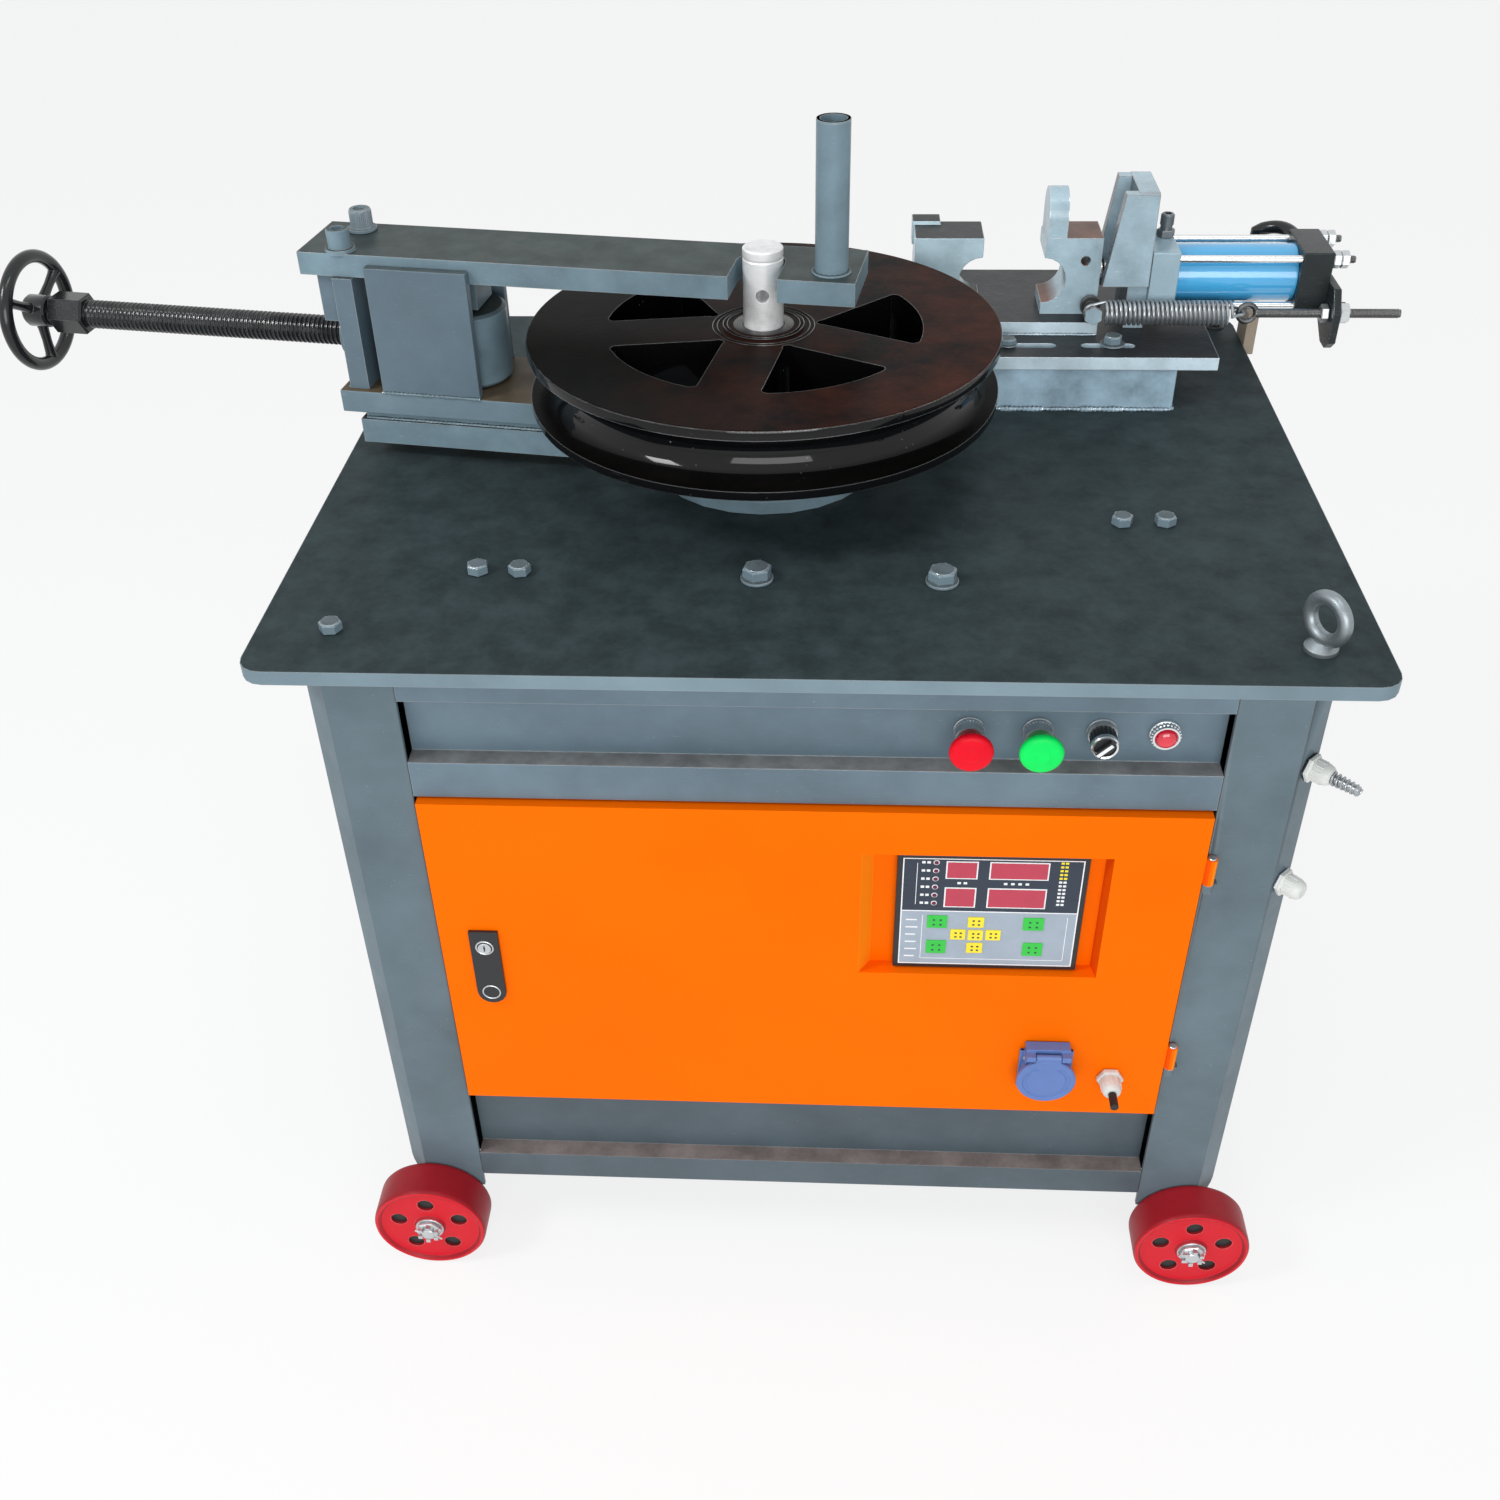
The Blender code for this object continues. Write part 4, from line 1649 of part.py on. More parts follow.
def least_gap(points, radius):
    """The smallest space between stretches of a tube that are not neighbours along it."""
    lengths = [0.0]
    for before, after in zip(points, points[1:]):
        lengths.append(lengths[-1] + (after - before).length)
    least = math.inf
    for i, point in enumerate(points):
        for j in range(i + 1, len(points)):
            if lengths[j] - lengths[i] < 10 * radius:
                continue
            least = min(least, (points[j] - point).length)
    return least - 2 * radius


def make_adjuster():
    """The threaded rod with its eye and two nuts, one each side of the ear."""
    start = EYE_X + EYE_RADIUS
    line = lambda x: (x, SPRING_Y, SPRING_Z)
    mesh = rod(line(start), line(ADJUSTER_END), ADJUSTER_RADIUS, 12)
    adjuster = piece_from(mesh, "spring_adjuster", "dark_steel", datum)
    join(adjuster, ring_mesh(line(EYE_X), (0, 1, 0), EYE_RADIUS, EYE_WIRE, 16, 6))
    flats = ADJUSTER_NUT * 1.8
    seat = REAR_CAP_END - BITE - GAP
    join(adjuster, hexagon(line(seat - ADJUSTER_NUT_LENGTH), line(seat), flats))
    join(adjuster, hexagon(line(EAR_END + GAP), line(EAR_END + GAP + ADJUSTER_NUT_LENGTH), flats))


def elbow_route():
    """The centre line of the elbow: back out of its fitting, over to the left, then down to the hose."""
    port_x = REAR_CAP_END - HOSE_PORT_FROM_END
    start_y = JAW_Y + CAP_HALF_DEPTH + HOSE_FITTING
    back_y = start_y + ELBOW_BACK
    route = [Vector((port_x, start_y - BITE, HOSE_PORT_Z))]
    steps = 6
    for step in range(1, steps + 1):
        turn = math.pi / 2 * step / steps
        x = port_x - ELBOW_SIDE * (1 - math.cos(turn))
        y = start_y + (back_y - start_y) * math.sin(turn)
        route.append(Vector((x, y, HOSE_PORT_Z + ELBOW_RISE * math.sin(math.pi * step / steps))))
    route.append(Vector((port_x - ELBOW_SIDE, back_y, HOSE_PORT_Z - ELBOW_DROP)))
    return route


def make_hose():
    """The hose that hangs from the elbow and passes into the table."""
    top = elbow_route()[-1] - Vector((0, 0, GAP))
    foot = Vector((HOSE_LAND_X, HOSE_LAND_Y, -HOSE_IN_TABLE))
    straight = Vector((0, 0, HOSE_STRAIGHT))
    high = top - straight
    low = foot + straight
    steps = round((high - low).length / HOSE_STEP)
    points = [top]
    for step in range(steps + 1):
        share = step / steps
        aside = (1 - math.cos(math.pi * share)) / 2
        points.append(Vector([a + (b - a) * t for a, b, t in zip(high, low, (aside, aside, share))]))
    points.append(foot)
    piece_from(tube_along(points, HOSE_RADIUS, 2), "rear_hose", "black_rubber", datum)
    length = sum((after - before).length for before, after in zip(points, points[1:]))
    print(f"rear_hose length {length:.3f} m")


def make_eye_bolt():
    """The lifting eye near the front right corner."""
    place = lambda z: (EYE_BOLT_X, EYE_BOLT_Y, z)
    seat = GAP
    top = seat + EYE_BOLT_COLLAR_HEIGHT
    centre = top + EYE_BOLT_RING + EYE_BOLT_BAR - 0.0015
    facing = (math.sin(EYE_BOLT_TURN), math.cos(EYE_BOLT_TURN), 0)
    mesh = ring_mesh(place(centre), facing, EYE_BOLT_RING, EYE_BOLT_BAR, 16, 8)
    bolt = piece_from(mesh, "eye_bolt", "galvanised", datum)
    join(bolt, rod(place(seat), place(top), EYE_BOLT_COLLAR, 20, EYE_BOLT_COLLAR * 0.8))
    join(bolt, rod(place(UNDER_TABLE + BITE), place(top - BITE), EYE_BOLT_SHANK, ROUND_TINY))


# Values that need the ones above
PINION_X = SPINDLE_X + GEAR_MODULE * (GEAR_TEETH + PINION_TEETH) / 2 + CENTRE_SLACK
UNIT_BOTTOM = RECESS_BOTTOM + UNIT_FROM_RECESS_FOOT
UNIT_TOP = UNIT_BOTTOM + UNIT_HEIGHT
FLAP_Y = DOOR_FRONT - GAP - SOCKET_REACH - GAP - FLAP_THICK / 2
FLAP_Z = SOCKET_Z + SOCKET_SIDE / 2 + 0.006
FLAP_CENTRE_Z = FLAP_Z - 0.004 - FLAP_RADIUS
DOOR_MIDDLE = (DOOR_TOP + DOOR_BOTTOM) / 2

make_materials()
datum = empty("machine_datum", None, Matrix())
arm = empty("arm_axis", datum, at(SPINDLE_X, SPINDLE_Y, 0) @ Matrix.Rotation(ARM_ANGLE, 4, "Z"))
feed = empty("feed_axis", arm, at(ROLLER_DISTANCE, 0, BEND_Z))
roller_spin = empty("roller_axis", feed, Matrix())
screw_axis = empty("screw_axis", feed, at(SCREW_TO_COUPLING, 0, 0))
top_axis = empty("top_plate_axis", arm, at(SCREW_A, PIVOT_SIDE, TOP_LOW))
pinion_axis = empty("pinion_axis", datum, at(PINION_X, SPINDLE_Y, GEAR_LOW))
clamp_axis = empty("clamp_axis", datum, at(MOVING_FACE, JAW_Y, BEND_Z))
door_axis = empty("door_axis", datum, at(HINGE_X, HINGE_Y, DOOR_MIDDLE))
lock_axis = empty("lock_axis", door_axis, at(LOCK_X - HINGE_X, 0, LOCK_BARREL_Z - DOOR_MIDDLE))
flap_axis = empty("flap_axis", door_axis, at(SOCKET_X - HINGE_X, FLAP_Y - HINGE_Y, FLAP_Z - DOOR_MIDDLE))
red_axis = empty("red_button_axis", datum, at(RED_BUTTON_X, PANEL_Y, CONTROL_Z))
green_axis = empty("green_button_axis", datum, at(GREEN_BUTTON_X, PANEL_Y, CONTROL_Z))
selector_axis = empty("selector_axis", datum, at(SELECTOR_X, PANEL_Y, CONTROL_Z))

make_table()
make_posts()
make_cabinet()
make_wheels()
make_door()
make_glands()
make_controls()
make_spindle()
make_arm()
make_feed()
make_top_plate()
make_drive()
make_clamp()
make_cylinder()
make_spring()
make_adjuster()
make_hose()
make_eye_bolt()


def stand_on_origin():
    """Move the whole machine so that the origin is on the floor, under the middle of its box."""
    bpy.context.view_layer.update()
    graph = bpy.context.evaluated_depsgraph_get()
    low = Vector((math.inf,) * 3)
    high = Vector((-math.inf,) * 3)
    for piece in PARTS.objects:
        if piece.type != "MESH" or piece.name in ("rear_hose", "door_lead"):
            continue
        shape = piece.evaluated_get(graph)
        for vertex in shape.data.vertices:
            point = piece.matrix_world @ vertex.co
            low = Vector(map(min, low, point))
            high = Vector(map(max, high, point))
    datum.location = (-(low.x + high.x) / 2, -(low.y + high.y) / 2, -low.z)
    print("box", [round(value, 4) for value in high - low])
    print("datum", [round(value, 5) for value in datum.location])


stand_on_origin()
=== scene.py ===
import json
import math

import bmesh
import bpy
from mathutils import Matrix, Vector

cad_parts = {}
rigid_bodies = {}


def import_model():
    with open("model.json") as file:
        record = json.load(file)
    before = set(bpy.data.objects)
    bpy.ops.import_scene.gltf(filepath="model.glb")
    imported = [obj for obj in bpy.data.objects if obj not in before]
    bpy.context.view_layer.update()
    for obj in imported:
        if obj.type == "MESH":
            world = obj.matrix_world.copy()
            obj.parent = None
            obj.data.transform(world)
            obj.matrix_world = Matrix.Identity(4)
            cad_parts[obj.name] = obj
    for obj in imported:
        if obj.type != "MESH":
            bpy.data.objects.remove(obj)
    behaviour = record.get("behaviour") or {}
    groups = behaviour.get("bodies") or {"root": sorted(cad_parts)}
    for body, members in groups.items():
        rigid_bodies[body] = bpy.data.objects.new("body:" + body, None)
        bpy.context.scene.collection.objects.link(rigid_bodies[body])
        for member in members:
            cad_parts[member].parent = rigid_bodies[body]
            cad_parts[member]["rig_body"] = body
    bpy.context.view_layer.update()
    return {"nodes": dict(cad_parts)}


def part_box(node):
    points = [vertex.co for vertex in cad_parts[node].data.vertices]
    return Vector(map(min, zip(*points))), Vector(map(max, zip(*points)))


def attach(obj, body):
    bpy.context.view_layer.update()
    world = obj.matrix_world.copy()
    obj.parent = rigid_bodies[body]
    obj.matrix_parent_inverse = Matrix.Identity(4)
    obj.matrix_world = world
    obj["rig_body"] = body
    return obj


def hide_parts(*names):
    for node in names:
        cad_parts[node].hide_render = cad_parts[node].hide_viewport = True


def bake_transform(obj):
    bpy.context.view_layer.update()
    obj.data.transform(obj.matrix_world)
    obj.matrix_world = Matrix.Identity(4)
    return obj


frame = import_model()
nodes = frame["nodes"]
print("frame loaded,", len(nodes), "nodes")

for leftover in ("Cube", "Light", "Camera"):
    if leftover in bpy.data.objects:
        bpy.data.objects.remove(bpy.data.objects[leftover], do_unlink=True)

# Everything is drawn in table coordinates: x right, y back, z up from the upper face of the table.
# The arm has its own frame, whose x runs outward from the spindle.
deckLow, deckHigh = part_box("table_top")
origin = Vector((deckLow.x, deckLow.y, deckHigh.z))
onTable = Matrix.Translation(origin)
spindleX, spindleY, armAngle = 0.445, 0.400, math.radians(171.5)
onArm = onTable @ Matrix.Translation((spindleX, spindleY, 0)) @ Matrix.Rotation(armAngle, 4, "Z")
dieLow, dieTop, bendZ = 0.080, 0.150, 0.115
armFloor, armCeiling, topTop = 0.0743, 0.1917, 0.215


# Camera and studio

studio = {
    "eye": (0.13537, -1.5117, 1.6312),
    "right": (0.99867, 0.04886, -0.01660),
    "up": (-0.01643, 0.60608, 0.79523),
    "ahead": (-0.04891, 0.79390, -0.60608),
    "lens": 38.297,
    "white": (1, 1, 1, 1),
    "worldColour": (0.95, 0.98, 1.0, 1),
    "worldStrength": 0.52,
    "floorColour": (0.93, 0.93, 0.93, 1),
    "floorGlow": 0.80, "floorRadius": 9.0,
    "lamps": {   # place, what it points at, width and height, power
        "key": ((-2.2, -1.4, 3.1), (0, 0, 0.8), (0.8, 0.8), 40),
        "front": ((0.4, -3.3, 1.5), (0, 0, 0.6), (2.4, 1.4), 52),
        "top": ((0.5, -0.7, 3.2), (0, 0, 0.9), (1.6, 0.3), 10),
    },
}


def makeCamera():
    camera = bpy.data.objects.new("camera", bpy.data.cameras.new("camera"))
    bpy.context.scene.collection.objects.link(camera)
    right, up, ahead = (Vector(studio[key]) for key in ("right", "up", "ahead"))
    turn = Matrix((right, up, -ahead)).transposed().to_4x4()
    camera.matrix_world = Matrix.Translation(studio["eye"]) @ turn
    camera.data.lens = studio["lens"]
    camera.data.sensor_width = 36
    camera.data.sensor_fit = "AUTO"
    bpy.context.scene.camera = camera


makeCamera()
print("camera set")


# Shader sockets that take part in expressions, and the nodes of one material or of the world

class Wire:
    def __init__(self, home, socket):
        self.home = home
        self.socket = socket

    def work(self, operation, first, second):
        return self.home.add("Math", {"operation": operation}, {0: first, 1: second})

    def __add__(self, other):
        return self.work("ADD", self, other)

    def __radd__(self, other):
        return self.work("ADD", other, self)

    def __sub__(self, other):
        return self.work("SUBTRACT", self, other)

    def __rsub__(self, other):
        return self.work("SUBTRACT", other, self)

    def __mul__(self, other):
        return self.work("MULTIPLY", self, other)

    def __rmul__(self, other):
        return self.work("MULTIPLY", other, self)

    def band(self, low, high):
        return self.home.add("MapRange", {"clamp": True}, {"Value": self, "From Min": low, "From Max": high})


class NodeWork:
    def __init__(self, owner):
        owner.use_nodes = True
        self.tree = owner.node_tree
        self.tree.nodes.clear()

    def add(self, kind, settings=None, inputs=None, out=0):
        node = self.tree.nodes.new("ShaderNode" + kind)
        for key, value in (settings or {}).items():
            setattr(node, key, value)
        for key, value in (inputs or {}).items():
            if isinstance(value, Wire):
                self.tree.links.new(value.socket, node.inputs[key])
            else:
                node.inputs[key].default_value = value
        return Wire(self, node.outputs[out]) if node.outputs else None


class Finish(NodeWork):
    def __init__(self, name):
        self.material = bpy.data.materials.new(name)
        super().__init__(self.material)
        self.spot = self.add("TexCoord", out="Object")   # metres, with the piece at rest

    def noise(self, scale, detail=3, rough=0.55, stretch=None, turn=(0, 0, 0)):
        spot = self.spot
        if stretch:
            spot = self.add("Mapping", {}, {"Vector": spot, "Scale": stretch, "Rotation": turn})
        values = {"Vector": spot, "Scale": scale, "Detail": detail, "Roughness": rough}
        return self.add("TexNoise", {}, values)

    def flecks(self, scale, size):
        apart = self.add("TexVoronoi", {}, {"Vector": self.spot, "Scale": scale})
        return 1 - apart.band(size * 0.6, size)

    def mix(self, mask, under, over):
        return self.add("Mix", {"data_type": "RGBA"}, {0: mask, 6: under, 7: over}, out=2)

    def facing(self, axis, low, high, either=False):
        normal = self.add("TexCoord", out="Normal")
        part = self.add("SeparateXYZ", {}, {0: normal}, out=axis)
        return (self.add("Math", {"operation": "ABSOLUTE"}, {0: part}) if either else part).band(low, high)

    def along(self, axis, low, high):
        return self.add("SeparateXYZ", {}, {0: self.spot}, out=axis).band(low, high)

    def edges(self, radius):
        soft = self.add("Bevel", {"samples": 4}, {"Radius": radius})
        true = self.add("NewGeometry", out="Normal")
        match = self.add("VectorMath", {"operation": "DOT_PRODUCT"}, {0: soft, 1: true}, out="Value")
        return (1 - match).band(0.02, 0.20)

    def bump(self, height, distance, strength):
        return self.add("Bump", {}, {"Height": height, "Distance": distance, "Strength": strength})

    def close(self, colour, roughness, metallic, normal, **others):
        values = {"Base Color": colour, "Roughness": roughness, "Metallic": metallic, "Normal": normal}
        for key, value in others.items():
            values[key.replace("_", " ")] = value
        surface = self.add("BsdfPrincipled", {}, values)
        self.add("OutputMaterial", {}, {"Surface": surface})
        return self.material


def opaque(colour):
    return (*colour, 1)


def shaded(colour, factor):
    return tuple(min(1.0, part * factor) for part in colour)


# What a finish has unless it says otherwise
usualPaint = {"cloud": 7, "dark": 0.8, "light": 1.2, "roughSpread": 0.25, "scuff": 0.4, "speckScale": 130,
              "speck": 0.5, "speckColour": (0.30, 0.32, 0.32), "coat": 0.0, "rimCoat": 0.0, "sides": (),
              "topAmount": 1.0, "topRough": 0.15, "edge": 0.0018, "wear": 0.5, "bare": (0.30, 0.29, 0.27),
              "bareMetal": 0.55, "relief": 0.0004, "specular": 0.3}
usualMetal = {"stretch": (8, 8, 160), "stainScale": 30, "stain": 0.4, "stainColour": (0.10, 0.075, 0.055),
              "wear": 0.4, "bright": (0.75, 0.75, 0.74), "metallic": 0.9, "relief": 0.00012}
usualPlastic = {"cloud": 60, "rub": 0.3, "coat": 0.0, "relief": 0.0001, "specular": 0.4}


def paintFinish(name, chosen):
    # Brushed or sprayed paint: cloudy tone, orange peel, scuffs, specks, and bare metal along worn edges
    f = Finish(name)
    look = {**usualPaint, **chosen}
    base = look["colour"]
    cloud = f.noise(look["cloud"], 5, 0.6)
    darker, lighter = opaque(shaded(base, look["dark"])), opaque(shaded(base, look["light"]))
    colour = f.mix(cloud.band(0.3, 0.7), darker, lighter)
    rough = look["rough"] + (f.noise(38, 4, 0.6) - 0.5) * look["roughSpread"]
    scuff = f.noise(9, 6, 0.75, (6, 60, 60), (0.2, 0.1, 0.5)).band(0.60, 0.72) * look["scuff"]
    colour = f.mix(scuff, colour, opaque(look.get("scuffColour", shaded(base, 2.2))))
    speck = f.flecks(look["speckScale"], 0.13) * f.noise(24, 2).band(0.55, 0.7) * look["speck"]
    colour = f.mix(speck, colour, opaque(look["speckColour"]))
    coat = look["coat"]
    # faces across y get their own colour, a lighter copy of the paint: painted light
    if "face" in look:
        colour = f.mix(f.facing(1, 0.75, 0.95, True), colour, opaque(look["face"]))
    # faces turned one way get a lighter or darker copy of the paint: painted light and painted shade
    for axis, low, high, paintedSideShading, amount in look["sides"]:
        colour = f.mix(f.facing(axis, low, high) * amount, colour, opaque(paintedSideShading))
    if "top" in look:   # dirt or another tone on what faces up
        facingUp = f.facing(2, 0.6, 0.95)
        if "topBelow" in look:
            facingUp = facingUp * (1 - f.along(2, look["topBelow"] - 0.008, look["topBelow"]))
        patches = f.noise(26, 6, 0.7).band(0.35, 0.65)
        tone = f.mix(patches, opaque(shaded(look["top"], 0.72)), opaque(shaded(look["top"], 1.28)))
        up = facingUp * (look["topAmount"] + f.noise(13, 5, 0.65) - 0.5).band(0.0, 0.6)
        colour = f.mix(up, colour, tone)
        rough = rough + up * look["topRough"]
        if look["rimCoat"]:
            coat = (1 - facingUp) * look["rimCoat"]
            rough = rough - (1 - facingUp) * 0.10
    if "tint" in look:   # a stain on one side of the upper face
        axis, low, high, tintColour, amount = look["tint"]
        upper = f.facing(2, 0.6, 0.95) * f.along(2, look["tintAbove"] - 0.004, look["tintAbove"] - 0.002)
        side = f.along(axis, low, high) * upper * f.noise(9, 6, 0.7).band(0.38, 0.68) * amount
        colour = f.mix(side, colour, opaque(tintColour))
    worn = (f.edges(look["edge"]) * look["wear"] + f.noise(55, 5, 0.7) * 0.62).band(0.60, 0.72)
    colour = f.mix(worn, colour, opaque(look["bare"]))
    rough = rough - worn * 0.08
    metallic = worn * look["bareMetal"]
    height = f.noise(320, 2) * 0.5 + cloud * 1.5 - worn * 0.5
    normal = f.bump(height, look["relief"], 0.55)
    return f.close(colour, rough, metallic, normal, Coat_Weight=coat, Coat_Roughness=0.05,
                   Specular_IOR_Level=look["specular"])


def metalFinish(name, chosen):
    # Bare metal: machining lines, stains and dull spots
    f = Finish(name)
    look = {**usualMetal, **chosen}
    base = look["colour"]
    lines = f.noise(10, 3, 0.6, look["stretch"])
    stain = f.noise(look["stainScale"], 5, 0.65).band(0.48, 0.72)
    colour = f.mix(lines, opaque(shaded(base, 0.75)), opaque(shaded(base, 1.2)))
    colour = f.mix(stain * look["stain"], colour, opaque(look["stainColour"]))
    worn = f.edges(0.0012) * look["wear"]
    colour = f.mix(worn, colour, opaque(look["bright"]))
    rough = look["rough"] + lines * 0.12 + stain * look["stain"] * 0.25
    normal = f.bump(lines + stain * 0.4, look["relief"], 0.4)
    return f.close(colour, rough, look["metallic"], normal)


def mouldedFinish(name, chosen):
    # Moulded plastic or rubber: fine texture, slight unevenness, rubbed edges
    f = Finish(name)
    look = {**usualPlastic, **chosen}
    base = look["colour"]
    cloud = f.noise(look["cloud"], 4, 0.6)
    colour = f.mix(cloud, opaque(shaded(base, 0.86)), opaque(shaded(base, 1.12)))
    colour = f.mix(f.edges(0.0009) * look["rub"], colour, opaque(shaded(base, 1.7)))
    rough = look["rough"] + (cloud - 0.5) * 0.2
    normal = f.bump(f.noise(900, 2) + cloud * 0.5, look["relief"], 0.35)
    return f.close(colour, rough, 0.0, normal, Coat_Weight=look["coat"], Coat_Roughness=0.1,
                   Specular_IOR_Level=look["specular"])


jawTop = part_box("moving_jaw")[1].z

